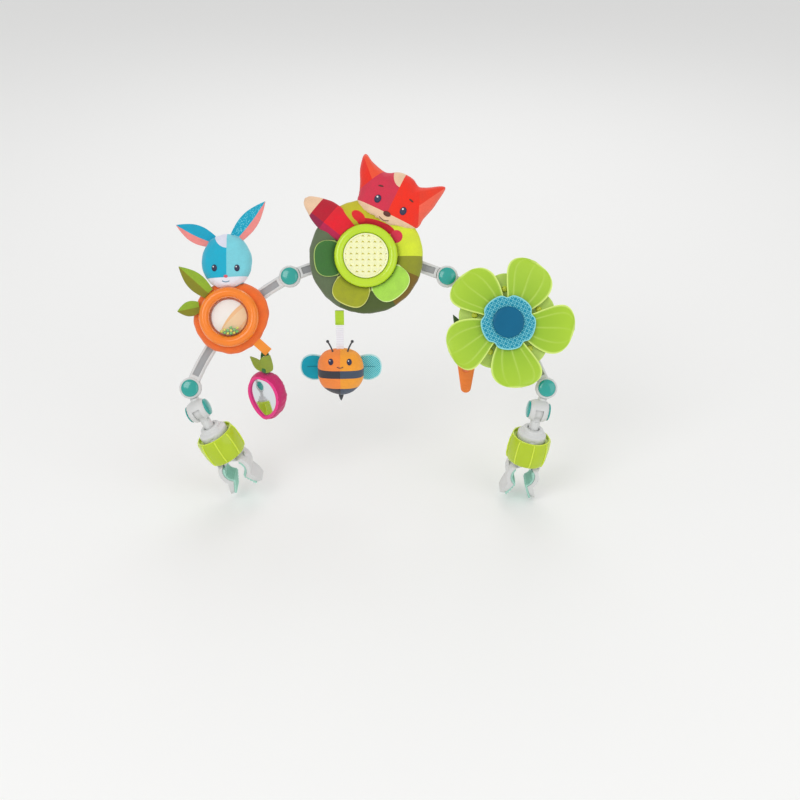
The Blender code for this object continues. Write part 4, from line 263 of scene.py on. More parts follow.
def spun(name, profile, steps=BROAD_STEPS, closed=False):
    """A piece turned about Z from a profile of (radius, height) points."""
    deselect()
    bpy.ops.mesh.primitive_plane_add(size=0.01)
    piece = started(name)
    edit(piece)
    bpy.ops.mesh.merge(type="CENTER")
    first = Vector((profile[0][0], 0, profile[0][1]))
    bpy.ops.transform.translate(value=first)
    path = list(profile[1:]) + ([profile[0]] if closed else [])
    last = first
    for radius, height in path:
        point = Vector((radius, 0, height))
        bpy.ops.mesh.extrude_region_move(TRANSFORM_OT_translate={"value": point - last})
        last = point
    bpy.ops.mesh.select_all(action="SELECT")
    bpy.ops.mesh.spin(steps=steps, angle=2 * pi, center=(0, 0, 0), axis=(0, 0, 1))
    done()
    return tidy_faces(piece)


def arc_points(middle, half_width, low, height, steps, power=1.0):
    """Points over the top of a rounded band, from its outer foot to its inner one."""
    points = []
    for step in range(steps + 1):
        angle = pi * step / steps
        points.append((middle + half_width * cos(angle), low + height * sin(angle) ** power))
    return points


def dome_points(radius, base, edge, height):
    """Half a domed head, from its rim at the base to its crown."""
    steps = 7
    points = [(radius, base), (radius, base + edge)]
    for step in range(1, steps):
        angle = pi / 2 * step / steps
        points.append((radius * cos(angle), base + edge + (height - edge) * sin(angle)))
    return points + [(0.0, base + height)]


# Colour and material


def colour(code):
    """Linear colour of an sRGB hex value."""
    parts = [int(code[place : place + 2], 16) / 255 for place in (1, 3, 5)]
    return (*[part / 12.92 if part <= 0.04045 else ((part + 0.055) / 1.055) ** 2.4 for part in parts], 1.0)


def add_node(tree, kind, sockets=(), stops=(), **settings):
    """Adds a node, makes its settings, and fills its sockets with values or links."""
    node = tree.nodes.new(kind)
    for name, value in settings.items():
        setattr(node, name, value)
    for key, value in dict(sockets).items():
        if isinstance(value, bpy.types.NodeSocket):
            tree.links.new(value, node.inputs[key])
        else:
            node.inputs[key].default_value = value
    for index, (place, code) in enumerate(stops):
        elements = node.color_ramp.elements
        stop = elements[index] if index < len(elements) else elements.new(place)
        stop.position = place
        stop.color = colour(code)
    return node


def blank(name, **values):
    """A new material with its shader, and the object's own coordinates."""
    material = bpy.data.materials.new(name)
    material.use_nodes = True
    tree = material.node_tree
    tree.nodes.clear()
    shader = add_node(tree, "ShaderNodeBsdfPrincipled", values)
    add_node(tree, "ShaderNodeOutputMaterial", {"Surface": shader.outputs[0]})
    point = add_node(tree, "ShaderNodeTexCoord").outputs["Object"]
    return material, tree, shader, point


def framed(tree, point, place, size=(1, 1, 1)):
    """The point as seen in a piece's own frame, measured in the given sizes."""
    sockets = {"Vector": point, "Location": place.translation, "Rotation": place.to_euler(), "Scale": size}
    return add_node(tree, "ShaderNodeMapping", sockets, vector_type="TEXTURE").outputs[0]


def within(tree, point, place, centre, radii, turn=0.0):
    """1 inside an oval on a piece's face, 0 outside it."""
    spot = place @ Matrix.Translation((*centre, 0)) @ Matrix.Rotation(turn, 4, "Z")
    local = framed(tree, point, spot, (*radii, 1000))
    length = add_node(tree, "ShaderNodeVectorMath", {0: local}, operation="LENGTH").outputs["Value"]
    return add_node(tree, "ShaderNodeMath", {0: length, 1: 1.0}, operation="LESS_THAN").outputs[0]


def beyond(tree, point, place, axis, limit):
    """1 where a piece's own coordinate is past the limit."""
    parts = add_node(tree, "ShaderNodeSeparateXYZ", {0: framed(tree, point, place)}).outputs
    return add_node(tree, "ShaderNodeMath", {0: parts[axis], 1: limit}, operation="GREATER_THAN").outputs[0]


def past(tree, point, place, first, last):
    """1 to the left of the line from the first point to the last on a piece's face."""
    turn = atan2(last[1] - first[1], last[0] - first[0])
    border = place @ Matrix.Translation((*first, 0)) @ Matrix.Rotation(turn, 4, "Z")
    return beyond(tree, point, border, "Y", 0.0)


def both(tree, first, second):
    """1 where both masks are 1."""
    return add_node(tree, "ShaderNodeMath", {0: first, 1: second}, operation="MULTIPLY").outputs[0]


def outside(tree, mask):
    """1 where the mask is 0."""
    return add_node(tree, "ShaderNodeMath", {0: 1.0, 1: mask}, operation="SUBTRACT").outputs[0]


def over(tree, mask, below, above):
    """The colour above where the mask is 1, else the one below; either may be a hex value."""
    sides = [colour(side) if isinstance(side, str) else side for side in (below, above)]
    return add_node(tree, "ShaderNodeMix", {0: mask, 6: sides[0], 7: sides[1]}, data_type="RGBA").outputs[2]


def varied(tree, shader, base=None, tone=None, rough=None, bump=None):
    """Lays a pattern on a shader: its tone over the base colour, its roughness and its height.

    Tone and roughness are (pattern, its low, its high, value at the low, value at the high),
    and the bump is (pattern, strength, height).
    """
    for spread, socket in ((tone, "Base Color"), (rough, "Roughness")):
        if spread:
            value = add_node(tree, "ShaderNodeMapRange", dict(enumerate(spread))).outputs[0]
            if spread is tone:
                base = colour(base) if isinstance(base, str) else base
                value = add_node(tree, "ShaderNodeHueSaturation", {"Color": base, "Value": value}).outputs[0]
            tree.links.new(value, shader.inputs[socket])
    if bump:
        sockets = dict(zip(("Height", "Strength", "Distance"), bump))
        tree.links.new(add_node(tree, "ShaderNodeBump", sockets).outputs[0], shader.inputs["Normal"])


def lattice(tree, point, place, pitch):
    """Printed diamonds on a piece's face: steps from a cell's middle, and from the nearest line."""
    local = framed(tree, point, place, (pitch, pitch, 1))
    cells = add_node(tree, "ShaderNodeVectorMath", {0: local}, operation="FRACTION").outputs[0]
    parts = add_node(tree, "ShaderNodeSeparateXYZ", {0: cells}).outputs
    sides = []
    for axis in ("X", "Y"):
        side = add_node(tree, "ShaderNodeMath", {0: parts[axis], 1: 0.5}, operation="SUBTRACT").outputs[0]
        sides.append(add_node(tree, "ShaderNodeMath", {0: side}, operation="ABSOLUTE").outputs[0])
    middle = add_node(tree, "ShaderNodeMath", {0: sides[0], 1: sides[1]}, operation="ADD").outputs[0]
    line = add_node(tree, "ShaderNodeMath", {0: middle, 1: 0.5}, operation="SUBTRACT").outputs[0]
    return middle, add_node(tree, "ShaderNodeMath", {0: line}, operation="ABSOLUTE").outputs[0]


def napped(tree, shader, point, base, depth=0.10, nap=0.0011, lift=0.00035):
    """Short-napped cloth over a base colour: mottled pile, soft sheen and a fine pile bump."""
    mottle = add_node(
        tree, "ShaderNodeTexNoise", {"Vector": point, "Scale": 1 / (nap * 9), "Detail": 3.0}
    ).outputs["Fac"]
    pile = add_node(
        tree, "ShaderNodeTexNoise", {"Vector": point, "Scale": 1 / nap, "Detail": 2.0}
    ).outputs["Fac"]
    mixed = add_node(tree, "ShaderNodeMath", {0: mottle, 1: pile}, operation="ADD").outputs[0]
    tone = (mixed, 0.6, 1.4, 1 - depth, 1 + depth)
    varied(tree, shader, base, tone, rough=(mottle, 0.3, 0.7, 0.82, 0.95), bump=(pile, 0.5, lift))


def moulded(name, code, roughness=0.4, grain=0.0008, lift=0.00003, depth=0.03, **values):
    """Injection-moulded plastic: one dyed colour with faint flow marks and the mould's grain."""
    material, tree, shader, point = blank(name, **values)
    flow, skin = (
        add_node(tree, "ShaderNodeTexNoise", {"Vector": point, "Scale": scale, "Detail": 2.0}).outputs["Fac"]
        for scale in (55.0, 1 / grain)
    )
    tone = (flow, 0.3, 0.7, 1 - depth, 1 + depth)
    rough = (flow, 0.3, 0.7, roughness * 0.9, roughness * 1.12)
    varied(tree, shader, code, tone, rough, bump=(skin, 0.4, lift))
    return material


# Studio


class ARCH_PG_studio(bpy.types.PropertyGroup):
    """Where the picture is taken from, and its light"""

    distance: bpy.props.FloatProperty(
        name="Camera distance", description="From the arch plane", default=1.9, unit="LENGTH"
    )
    view: bpy.props.FloatProperty(
        name="Angle of view", description="Across the square picture", default=radians(30.6), subtype="ANGLE"
    )
    floor: bpy.props.FloatVectorProperty(
        name="Floor colour", description="Pale paper under the arch",
        default=colour("#F7F7F6")[:3], subtype="COLOR",
    )
    key: bpy.props.FloatProperty(
        name="Key light", description="Power of the large soft box", default=12.0, unit="POWER"
    )


class ARCH_OT_studio(bpy.types.Operator):
    """Add the pale floor, the soft light and the camera"""

    bl_idname = "toyarch.studio"
    bl_label = "Studio"

    def execute(self, context):
        sizes = context.scene.toyarch_studio
        deselect()
        low = CAD_BOX[0][2] - 0.004
        bpy.ops.mesh.primitive_grid_add(x_subdivisions=4, y_subdivisions=4, size=14, location=(0.18, 2, low))
        floor = started("studio_floor")
        paper, tree, shader, point = blank("matt backdrop paper", Roughness=0.9)
        cloud = add_node(tree, "ShaderNodeTexNoise", {"Vector": point, "Scale": 2.0}).outputs["Fac"]
        varied(tree, shader, (*sizes.floor, 1.0), tone=(cloud, 0.0, 1.0, 0.995, 1.005))
        floor.data.materials.append(paper)
        for name, place, power, size in (
            ("key_softbox", (-0.9, -1.5, 1.7), sizes.key, 1.2),
            ("fill_softbox", (1.5, -1.2, 0.9), sizes.key * 0.45, 1.4),
            ("back_softbox", (0.3, 1.6, 1.5), sizes.key * 0.5, 1.2),
        ):
            self.light(context, name, place, power, size)
        self.sky(context)
        camera = bpy.data.objects.new("camera", bpy.data.cameras.new("camera"))
        context.scene.collection.objects.link(camera)
        aim = ARCH @ Vector((0.04095, 0.01365, 0))
        camera.matrix_world = in_plane(aim, ARCH_TILT) @ Matrix.Translation((0, 0, sizes.distance))
        camera.data.sensor_fit = "HORIZONTAL"
        camera.data.angle = sizes.view
        camera.data.clip_start = 0.01
        context.scene.camera = camera
        context.scene.view_settings.view_transform = "Standard"
        return {"FINISHED"}

    def light(self, context, name, place, power, size):
        lamp = bpy.data.lights.new(name, "AREA")
        lamp.energy = power
        lamp.size = size
        box = bpy.data.objects.new(name, lamp)
        context.scene.collection.objects.link(box)
        box.location = place
        box.rotation_euler = (Vector((0.18, 0.05, 0.2)) - Vector(place)).to_track_quat("-Z", "Y").to_euler()

    def sky(self, context):
        """White to the camera and in reflections, and a plain dimmer grey as light."""
        world = bpy.data.worlds.new("studio")
        context.scene.world = world
        world.use_nodes = True
        tree = world.node_tree
        tree.nodes.clear()
        rays = add_node(tree, "ShaderNodeLightPath").outputs
        seen = add_node(
            tree, "ShaderNodeMath",
            {0: rays["Is Camera Ray"], 1: rays["Is Transmission Ray"]}, operation="MAXIMUM",
        ).outputs[0]
        dim = add_node(tree, "ShaderNodeBackground", {"Color": colour("#FFFFFF"), "Strength": 0.72})
        white = add_node(tree, "ShaderNodeBackground", {"Color": colour("#FFFFFF"), "Strength": 1.0})
        mixed = add_node(tree, "ShaderNodeMixShader", {0: seen, 1: dim.outputs[0], 2: white.outputs[0]})
        add_node(tree, "ShaderNodeOutputWorld", {"Surface": mixed.outputs[0]})


# Clamps and links


class ARCH_PG_frame(bpy.types.PropertyGroup):
    """Plastic frame of the arch"""

    grey: bpy.props.StringProperty(name="Grey", description="Matt plastic of the links", default="#D6D7D6")
    lime: bpy.props.StringProperty(name="Lime", description="Twist rings of the clamps", default="#B3CC14")
    # Darker grey painted on the recess floors as shade
    recess: bpy.props.StringProperty(
        name="Recess", description="Floors of the links' recesses", default="#A2A4A6"
    )
    teal: bpy.props.StringProperty(name="Teal", description="Domed caps of the hinges", default="#06A096")
    easing: bpy.props.FloatProperty(
        name="Edge radius", description="Rounding of moulded edges", default=0.0006, unit="LENGTH"
    )


SIDES = ("left", "right")


class ARCH_OT_links(bpy.types.Operator):
    """Dress the clamps, knuckles and links in moulded plastic"""

    bl_idname = "toyarch.links"
    bl_label = "Clamps and links"

    def execute(self, context):
        sizes = context.scene.toyarch_frame
        # Fibre-free polypropylene off a fine-sparked mould: soft broad highlights, no mirror gloss
        grey = moulded("matt grey polypropylene", sizes.grey, 0.42, 0.0009, 0.00004)
        # Polished ABS: clear highlights along the facets
        lime = moulded("glossy lime ABS", sizes.lime, 0.24, 0.0012, 0.00001, **{"Coat Weight": 0.2})
        # The same lime painted lighter on the ring's ribs and lips, as a painted highlight along them
        bright = moulded("lime ABS with painted highlight", "#D6EA3C", 0.2, 0.0012, 0.00001, **{"Coat Weight": 0.3})
        # Moulded thermoplastic rubber: dull and slightly dusty
        mint = moulded("mint grip rubber", "#A9D9C9", 0.7, 0.0006, 0.00008, 0.05)
        for side in SIDES:
            for node in (f"clamp_body_{side}", f"collar_{side}", f"swivel_stem_{side}", f"knuckle_{side}"):
                self.dress(node, grey, "grey_plastic", sizes.easing)
            for jaw in ("inner", "outer"):
                self.dress(f"jaw_{jaw}_{side}", grey, "grey_plastic", sizes.easing * 1.6)
                self.dress(f"liner_{jaw}_{side}", mint, "mint_rubber", sizes.easing * 0.5)
            self.ribs(side, lime, bright)
        # The same plastic in the links' recesses, rougher from the tool's coarser texture, and painted a
        # darker grey as the shade on the recess floors
        hollow = moulded("grey polypropylene with painted recess shade", sizes.recess, 0.6, 0.0006, 0.00008, 0.05)
        for node in ("arm_left", "arm_right", "centre_link"):
            link = self.dress(node, grey, "grey_plastic", sizes.easing)
            link.data.materials.append(hollow)
            up = ARCH.to_3x3() @ Vector((0, 0, 1))
            # Upward faces below the link's face are the recess floors, which take the painted shade
            for face in link.data.polygons:
                height = (ARCH.inverted() @ face.center).z
                if face.normal.dot(up) > 0.95 and 0.0 < height < LINK_FACE - 0.0008:
                    face.material_index = 1
        return {"FINISHED"}

    def dress(self, node, finish, slot, width):
        body = frame["nodes"][node]["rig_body"]
        return fitted(rigid_copy(node, width), body, slot, finish, nodes=(node,))

    def ribs(self, side, finish, bright):
        """Eight fine ribs up a ring's barrel, and the rolled lips at both its ends, both in the lighter lime
        of a painted highlight.
        """
        ring = self.dress(f"clamp_ring_{side}", finish, "lime_plastic", 0.0008)
        turn = next(joint for joint in frame["joints"] if joint["name"] == f"ring_turn_{side}")
        axis = Vector(turn["axis"])
        across = Vector((0, 1, 0)).cross(axis)
        place = Matrix((across, (0, 1, 0), axis)).transposed().to_4x4()
        place.translation = turn["pos_m"]
        for index in range(8):
            around = radians(5.6 + 45 * index)
            out = place.to_3x3() @ Vector((cos(around), sin(around), 0))
            points = []
            for step in range(13):
                height = 0.0166 * (step / 6 - 1)
                start = place @ Vector((0, 0, height)) + out * 0.06
                hit, spot, _, _ = ring.ray_cast(start, -out)
                if not hit:
                    raise RuntimeError(f"the ring's barrel was not found at {height:.4f}")
                points.append(spot - out * 0.0001)
            stitched_line(f"clamp_rib_{side}_{index}", points, 0.0010, "ring_" + side, "lime_plastic", bright)
        for height in (-0.0172, 0.0172):
            deselect()
            bpy.ops.mesh.primitive_torus_add(
                major_radius=0.0242, minor_radius=0.0008, major_segments=96, minor_segments=12
            )
            lip = smooth(started(f"clamp_lip_{side}"), 80)
            settled(lip, place @ Matrix.Translation((0, 0, height)))
            fitted(lip, "ring_" + side, "lime_plastic", bright)


class ARCH_OT_caps(bpy.types.Operator):
    """Turn the hinge pins with their domed teal caps"""

    bl_idname = "toyarch.caps"
    bl_label = "Hinge caps"

    def execute(self, context):
        sizes = context.scene.toyarch_frame
        # Polished ABS dyed teal: a small soft window highlight on each dome
        teal = moulded("glossy teal ABS", sizes.teal, 0.2, 0.0012, 0.00001, **{"Coat Weight": 0.8})
        for side in SIDES:
            for joint in ("elbow", "shoulder"):
                node = f"{joint}_pin_{side}"
                self.pin(node, self.middle(node), Matrix.Rotation(ARCH_TILT, 4, "X"), 0.0078, False, teal)
            node = f"tilt_pin_{side}"
            self.pin(node, self.middle(node), self.tilt_axis(side), 0.012, True, teal)
        return {"FINISHED"}

    def middle(self, node):
        """Centre of a pin's joint."""
        for joint in frame["joints"]:
            if joint["name"].startswith(node.split("_")[0]) and joint["name"].endswith(node.split("_")[-1]):
                return Vector(joint["pos_m"])
        raise RuntimeError(f"no joint turns on {node}")

    def tilt_axis(self, side):
        for joint in frame["joints"]:
            if joint["name"] == f"tilt_{side}":
                return Vector(joint["axis"]).to_track_quat("Z", "Y").to_matrix().to_4x4()
        raise RuntimeError(f"no tilt joint on the {side}")

    def pin(self, node, middle, turn, half_grip, both_ends, finish):
        seat = half_grip + SEAT_GAP
        cap = dome_points(0.0112, seat, 0.0009, 0.0036)
        if both_ends:
            foot = [(radius, -height) for radius, height in reversed(cap)]
        else:
            foot = [(0.0, -seat - 0.0024), (0.0052, -seat - 0.0024), (0.0062, -seat)]
        profile = foot + [(0.003, -seat), (0.003, seat)] + cap
        piece = smooth(spun(f"{node}_cap", profile, FINE_STEPS), 50)
        settled(piece, Matrix.Translation(middle) @ turn)
        fitted(piece, frame["nodes"][node]["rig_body"], "teal_plastic", finish, nodes=(node,))


# Soft toys: how cloth is filled, sewn and lined up with its toy

# Frames that the cloth is given to fill out
STUFFING_FRAMES = 20


def stuffed(piece, pressure, cap, slack=0.0, held=None):
    """Fills the cloth out under pressure, caps how far it moves, and smooths it."""
    take(piece)
    start = [vertex.co.copy() for vertex in piece.data.vertices]
    cloth = piece.modifiers.new("Cloth", "CLOTH")
    cloth.settings.quality = 4
    cloth.settings.use_pressure = True
    cloth.settings.uniform_pressure_force = pressure
    cloth.settings.effector_weights.gravity = 0.0
    cloth.settings.shrink_min = -slack
    cloth.collision_settings.use_collision = False
    if held:
        seam = piece.vertex_groups.new(name="seam")
        seam.add([v.index for v in piece.data.vertices if held(v.co)], 1.0, "REPLACE")
        cloth.settings.vertex_group_mass = seam.name
    for step in range(1, STUFFING_FRAMES + 1):
        bpy.context.scene.frame_set(step)
    bpy.ops.object.modifier_apply(modifier=cloth.name)
    bpy.context.scene.frame_set(1)
    for vertex, place in zip(piece.data.vertices, start):
        move = vertex.co - place
        if move.length > cap:
            vertex.co = place + move * (cap / move.length)
    if held:
        piece.vertex_groups.clear()
    apply_modifier(piece, "SUBSURF", levels=1, render_levels=1)
    return smooth(piece, 80)


def rumpled(piece, size, amount, seed=0.0):
    """Soft uneven hollows, as of stuffing under cloth."""
    moves = []
    for vertex in piece.data.vertices:
        at = vertex.co / size + Vector((seed, seed * 2, -seed))
        moves.append(vertex.normal * (noise.noise(at) * amount))
    for vertex, move in zip(piece.data.vertices, moves):
        vertex.co += move
    piece.data.update()
    return piece


def cut_with(piece, cutter, operation="DIFFERENCE"):
    """Cuts the piece with another shape, or keeps only what both share."""
    apply_modifier(piece, "BOOLEAN", operation=operation, solver="EXACT", object=cutter)
    bpy.data.objects.remove(cutter)
    return piece


def welt(name, piece, place, radius, body, slot, finish):
    """The sewn edge round a stuffed piece, where its seam plane crosses it."""
    deselect()
    edge = bpy.data.objects.new(name, piece.data.copy())
    bpy.context.scene.collection.objects.link(edge)
    edit(edge)
    normal = place.to_3x3() @ Vector((0, 0, 1))
    bpy.ops.mesh.bisect(plane_co=place.translation, plane_no=normal, clear_inner=True, clear_outer=True)
    bpy.ops.mesh.select_all(action="SELECT")
    bpy.ops.mesh.remove_doubles(threshold=0.0004)
    done()
    take(edge)
    bpy.ops.object.convert(target="CURVE")
    edge.data.bevel_depth = radius
    edge.data.bevel_resolution = 2
    bpy.ops.object.convert(target="MESH")
    smooth(edge, 80)
    return fitted(edge, body, slot, finish)


def felt_grid(name, columns, rows, rule, thickness):
    """A sheet of felt laid out by a rule from its own (across, along), both 0 to 1."""
    deselect()
    bpy.ops.mesh.primitive_grid_add(x_subdivisions=columns, y_subdivisions=rows, size=1, calc_uvs=True)
    piece = started(name)
    shaped(piece, lambda co: Vector(rule(co.x + 0.5, co.y + 0.5)))
    apply_modifier(
        piece, "SOLIDIFY", thickness=thickness, offset=0.0, use_even_offset=True, material_offset=1,
        material_offset_rim=1,
    )
    return smooth(tidy_faces(piece), 60)


# Half width of a felt leaf from root to tip
LEAF_SHARES = ((0.0, 0.30), (0.18, 0.72), (0.38, 1.0), (0.60, 0.88), (0.82, 0.46), (1.0, 0.03))
# The same for a leaf or ear that comes wide out of the seam it is sewn in
WIDE_SHARES = ((0.0, 0.66), (0.18, 0.88), (0.38, 1.0), (0.60, 0.88), (0.82, 0.48), (1.0, 0.03))


def between(stations, at):
    """Smooth value at a place between stations of (place, value)."""
    for index, ((low, first), (high, last)) in enumerate(zip(stations, stations[1:])):
        if at <= high or index == len(stations) - 2:
            before = stations[max(index - 1, 0)]
            after = stations[min(index + 2, len(stations) - 1)]
            t = (at - low) / (high - low)
            rise_in = (last - before[1]) / (high - before[0]) * (high - low)
            rise_out = (after[1] - first) / (after[0] - low) * (high - low)
            return (
                (2 * t**3 - 3 * t**2 + 1) * first + (t**3 - 2 * t**2 + t) * rise_in
                + (3 * t**2 - 2 * t**3) * last + (t**3 - t**2) * rise_out
            )
    return stations[-1][1]


def felt_leaf(
    name, length, width, place, body, slot, face, back, fold, curl, nodes=(), thickness=0.0013, half=None,
    shares=LEAF_SHARES, hug=0.0,
):
    """A leaf of felt creased down its middle, curling towards its tip; one half may have its own colour."""

    def rule(across, along):
        half = width / 2 * max(between(shares, along), 0.02)
        side = 2 * across - 1
        behind = hug * (side * half) ** 2 * (1 - along) ** 2
        rise = curl * along**2 + fold * abs(side) ** 1.3 * (half / (width / 2))
        return side * half, length * along - behind, rise + thickness / 2

    piece = felt_grid(name, 14, 30, rule, thickness)
    fitted(piece, body, slot, face, back, half or face, nodes=nodes)
    for side in piece.data.polygons:
        if side.material_index == 0 and side.center.x < 0:
            side.material_index = 2
    settled(piece, place)
    return piece


def aimed(place, aim_degrees, height=0.0):
    """Turns +Y to the aim in the plane and carries it to the place."""
    return Matrix.Translation((*place, height)) @ Matrix.Rotation(radians(aim_degrees - 90), 4, "Z")


def on_face(piece, place, x, y):
    """Point and outward frame of a piece's front at (x, y) of a toy's own frame."""
    start = place @ Vector((x, y, 0.08))
    down = place.to_3x3() @ Vector((0, 0, -1))
    hit, spot, normal, _ = piece.ray_cast(start, down)
    if not hit:
        raise RuntimeError(f"{piece.name} has no face at {x:.4f}, {y:.4f}")
    up = place.to_3x3() @ Vector((0, 1, 0))
    side = up.cross(normal).normalized()
    turn = Matrix((side, normal.cross(side), normal)).transposed().to_4x4()
    return Matrix.Translation(spot) @ turn


def stitched_oval(name, half_width, half_height, rise, place, body, slot, finish):
    """A domed oval of satin stitch sewn on a face."""
    rings = ((1.0, -0.0008), (1.0, rise * 0.3), (0.9, rise * 0.72), (0.66, rise * 0.93), (0.3, rise))
    piece = ring_stack(name, half_width, rings, 40)
    shaped(piece, lambda co: Vector((co.x, co.y * half_height / half_width, co.z)))
    settled(smooth(piece, 60), place)
    return fitted(piece, body, slot, finish)


def stitched_line(name, points, radius, body, slot, finish):
    """A line of stitching through points on a face."""
    deselect()
    curve = bpy.data.curves.new(name, "CURVE")
    curve.dimensions = "3D"
    spline = curve.splines.new("POLY")
    spline.points.add(len(points) - 1)
    for spot, point in zip(spline.points, points):
        spot.co = (*point, 1.0)
    curve.bevel_depth = radius
    curve.bevel_resolution = 2
    curve.use_fill_caps = True
    piece = bpy.data.objects.new(name, curve)
    bpy.context.scene.collection.objects.link(piece)
    take(piece)
    bpy.ops.object.convert(target="MESH")
    smooth(piece, 80)
    return fitted(piece, body, slot, finish)


def sewn_eyes(toy, head, place, spot, oval, glint, offset, body, slot):
    """Two navy ovals of satin stitch beside a face's middle, each with a white glint."""
    navy, white = (bpy.data.materials[f"{dye} satin thread"] for dye in ("navy", "white"))
    for side, name in ((-1, "left"), (1, "right")):
        eye = on_face(head, place, side * spot[0], spot[1])
        stitched_oval(f"{toy}_eye_{name}", *oval, eye, body, slot, navy)
        stitched_oval(f"{toy}_glint_{name}", *glint, eye @ Matrix.Translation(offset), body, slot, white)


def sewn_smile(toy, head, place, half, low, bow, body, slot, finish):
    """A mouth of stem stitch, bowed from its lowest point up to its ends."""
    points = []
    for step in range(9):
        x = half * (step / 4 - 1)
        spot = on_face(head, place, x, low + bow * (x / half) ** 2).translation
        points.append(spot + place.to_3x3() @ Vector((0, 0, 0.0002)))
    stitched_line(f"{toy}_smile", points, 0.0005, body, slot, finish)


def felt(name, code, edge=""):
    """Pressed wool felt: matt, slightly hairy, mottled by its fibres; a paler sewn edge where given."""
    material, tree, shader, point = blank(name, **{"Sheen Weight": 0.25, "Sheen Roughness": 0.5})
    base = code
    if edge:
        flat = add_node(tree, "ShaderNodeTexCoord").outputs["UV"]
        parts = add_node(tree, "ShaderNodeSeparateXYZ", {0: flat}).outputs
        side = add_node(tree, "ShaderNodeMath", {0: parts["X"], 1: 0.5}, operation="SUBTRACT").outputs[0]
        side = add_node(tree, "ShaderNodeMath", {0: side}, operation="ABSOLUTE").outputs[0]
        side = add_node(tree, "ShaderNodeMath", {0: side, 1: 0.462}, operation="GREATER_THAN").outputs[0]
        tip = add_node(tree, "ShaderNodeMath", {0: parts["Y"], 1: 0.955}, operation="GREATER_THAN").outputs[0]
        border = add_node(tree, "ShaderNodeMath", {0: side, 1: tip}, operation="MAXIMUM").outputs[0]
        base = over(tree, border, code, edge)
    napped(tree, shader, point, base, 0.12, 0.0009, 0.0003)
    return material


# Bands of the wave pattern in one unit at a scale of 1
WAVE_SCALE = 6.3


def satin_thread(name, code):
    """Rayon embroidery thread: fine parallel ridges with a silky highlight."""
    pitch = 0.0006
    material, tree, shader, point = blank(name, Roughness=0.4)
    sockets = {"Vector": point, "Scale": 1 / pitch / WAVE_SCALE, "Distortion": 0.4}
    ridge = add_node(tree, "ShaderNodeTexWave", sockets, wave_type="BANDS").outputs["Fac"]
    varied(tree, shader, code, tone=(ridge, 0.0, 1.0, 0.85, 1.1), bump=(ridge, 0.6, 0.0002))
    return material


def webbing(name, code, place, ribs=0.0011):
    """Woven polyester tape: ribs across its width and a faint sheen."""
    material, tree, shader, point = blank(name, **{"Sheen Weight": 0.15})
    local = framed(tree, point, place)
    sockets = {"Vector": local, "Scale": 1 / ribs / WAVE_SCALE}
    rib = add_node(tree, "ShaderNodeTexWave", sockets, wave_type="BANDS", bands_direction="Y").outputs["Fac"]
    fine = add_node(tree, "ShaderNodeTexNoise", {"Vector": point, "Scale": 900.0}).outputs["Fac"]
    mixed = add_node(tree, "ShaderNodeMath", {0: rib, 1: fine}, operation="ADD").outputs[0]
    rough = (fine, 0.0, 1.0, 0.65, 0.8)
    varied(tree, shader, code, (mixed, 0.3, 1.6, 0.9, 1.04), rough, bump=(mixed, 0.5, 0.00015))
    return material


def strap_loop(name, place, length, face, body, slot, finish, nodes=()):
    """Webbing loop round a link that runs along x of the place."""
    half, back = 0.0081, 0.0066
    deselect()
    bpy.ops.mesh.primitive_cube_add(size=1)
    piece = started(name)
    shaped(
        piece,
        lambda co: Vector((co.x * length, co.y * 2 * half, (face + back) * (co.z + 0.5) - back)),
    )
    edit(piece)
    bpy.ops.mesh.select_all(action="DESELECT")
    done()
    bpy.context.tool_settings.mesh_select_mode = (False, False, True)
    for face_of in piece.data.polygons:
        face_of.select = abs(face_of.normal.x) > 0.9
    bpy.ops.object.mode_set(mode="EDIT")
    bpy.ops.mesh.select_mode(type="FACE")
    bpy.ops.mesh.delete(type="ONLY_FACE")
    done()
    apply_modifier(piece, "BEVEL", width=0.0018, segments=4, limit_method="ANGLE", angle_limit=radians(40))
    apply_modifier(piece, "SOLIDIFY", thickness=0.0014, offset=1.0)
    eased(piece, 0.0003, 1, 60)
    settled(piece, place)
    return fitted(piece, body, slot, finish, nodes=nodes)


# Music disc: cushion, felt petals, bezel and lens


class ARCH_PG_disc(bpy.types.PropertyGroup):
    """Round cushion with the music button"""

    rim: bpy.props.StringProperty(name="Left rim", description="Grey-green cloth", default="#5F6E50")
    olive: bpy.props.StringProperty(name="Upper left", description="Yellow-olive cloth", default="#C3BC24")
    lime: bpy.props.StringProperty(name="Upper right", description="Lime cloth", default="#D6E534")
    moss: bpy.props.StringProperty(name="Right", description="Moss cloth", default="#8E9226")
    brown: bpy.props.StringProperty(name="Lower right", description="Olive-brown cloth", default="#7A5F1C")
    bottom: bpy.props.StringProperty(name="Bottom", description="Dark olive cloth", default="#4C5C2A")
    bezel: bpy.props.StringProperty(name="Bezel", description="Glossy ring of the button", default="#BFE01E")
    lens: bpy.props.StringProperty(name="Lens", description="Prismatic button", default="#FDFDC4")
    prism: bpy.props.FloatProperty(
        name="Prism pitch", description="Of the lens", default=0.0076, unit="LENGTH"
    )


CUSHION_RADIUS = 0.0735
CUSHION_HOLE = 0.0353
# How near to the disc's middle its petals and the fox's tail come
BEZEL_CLEAR_RADIUS = 0.0411
# The felt petals: middle angle, half span, reach
DISC_PETALS = (
    ("disc_leaf_left", 184.0, 30.5, 0.0665),
    ("disc_leaf_low", 247.0, 30.5, 0.068),
    ("disc_leaf_right", 312.0, 33.0, 0.067),
)


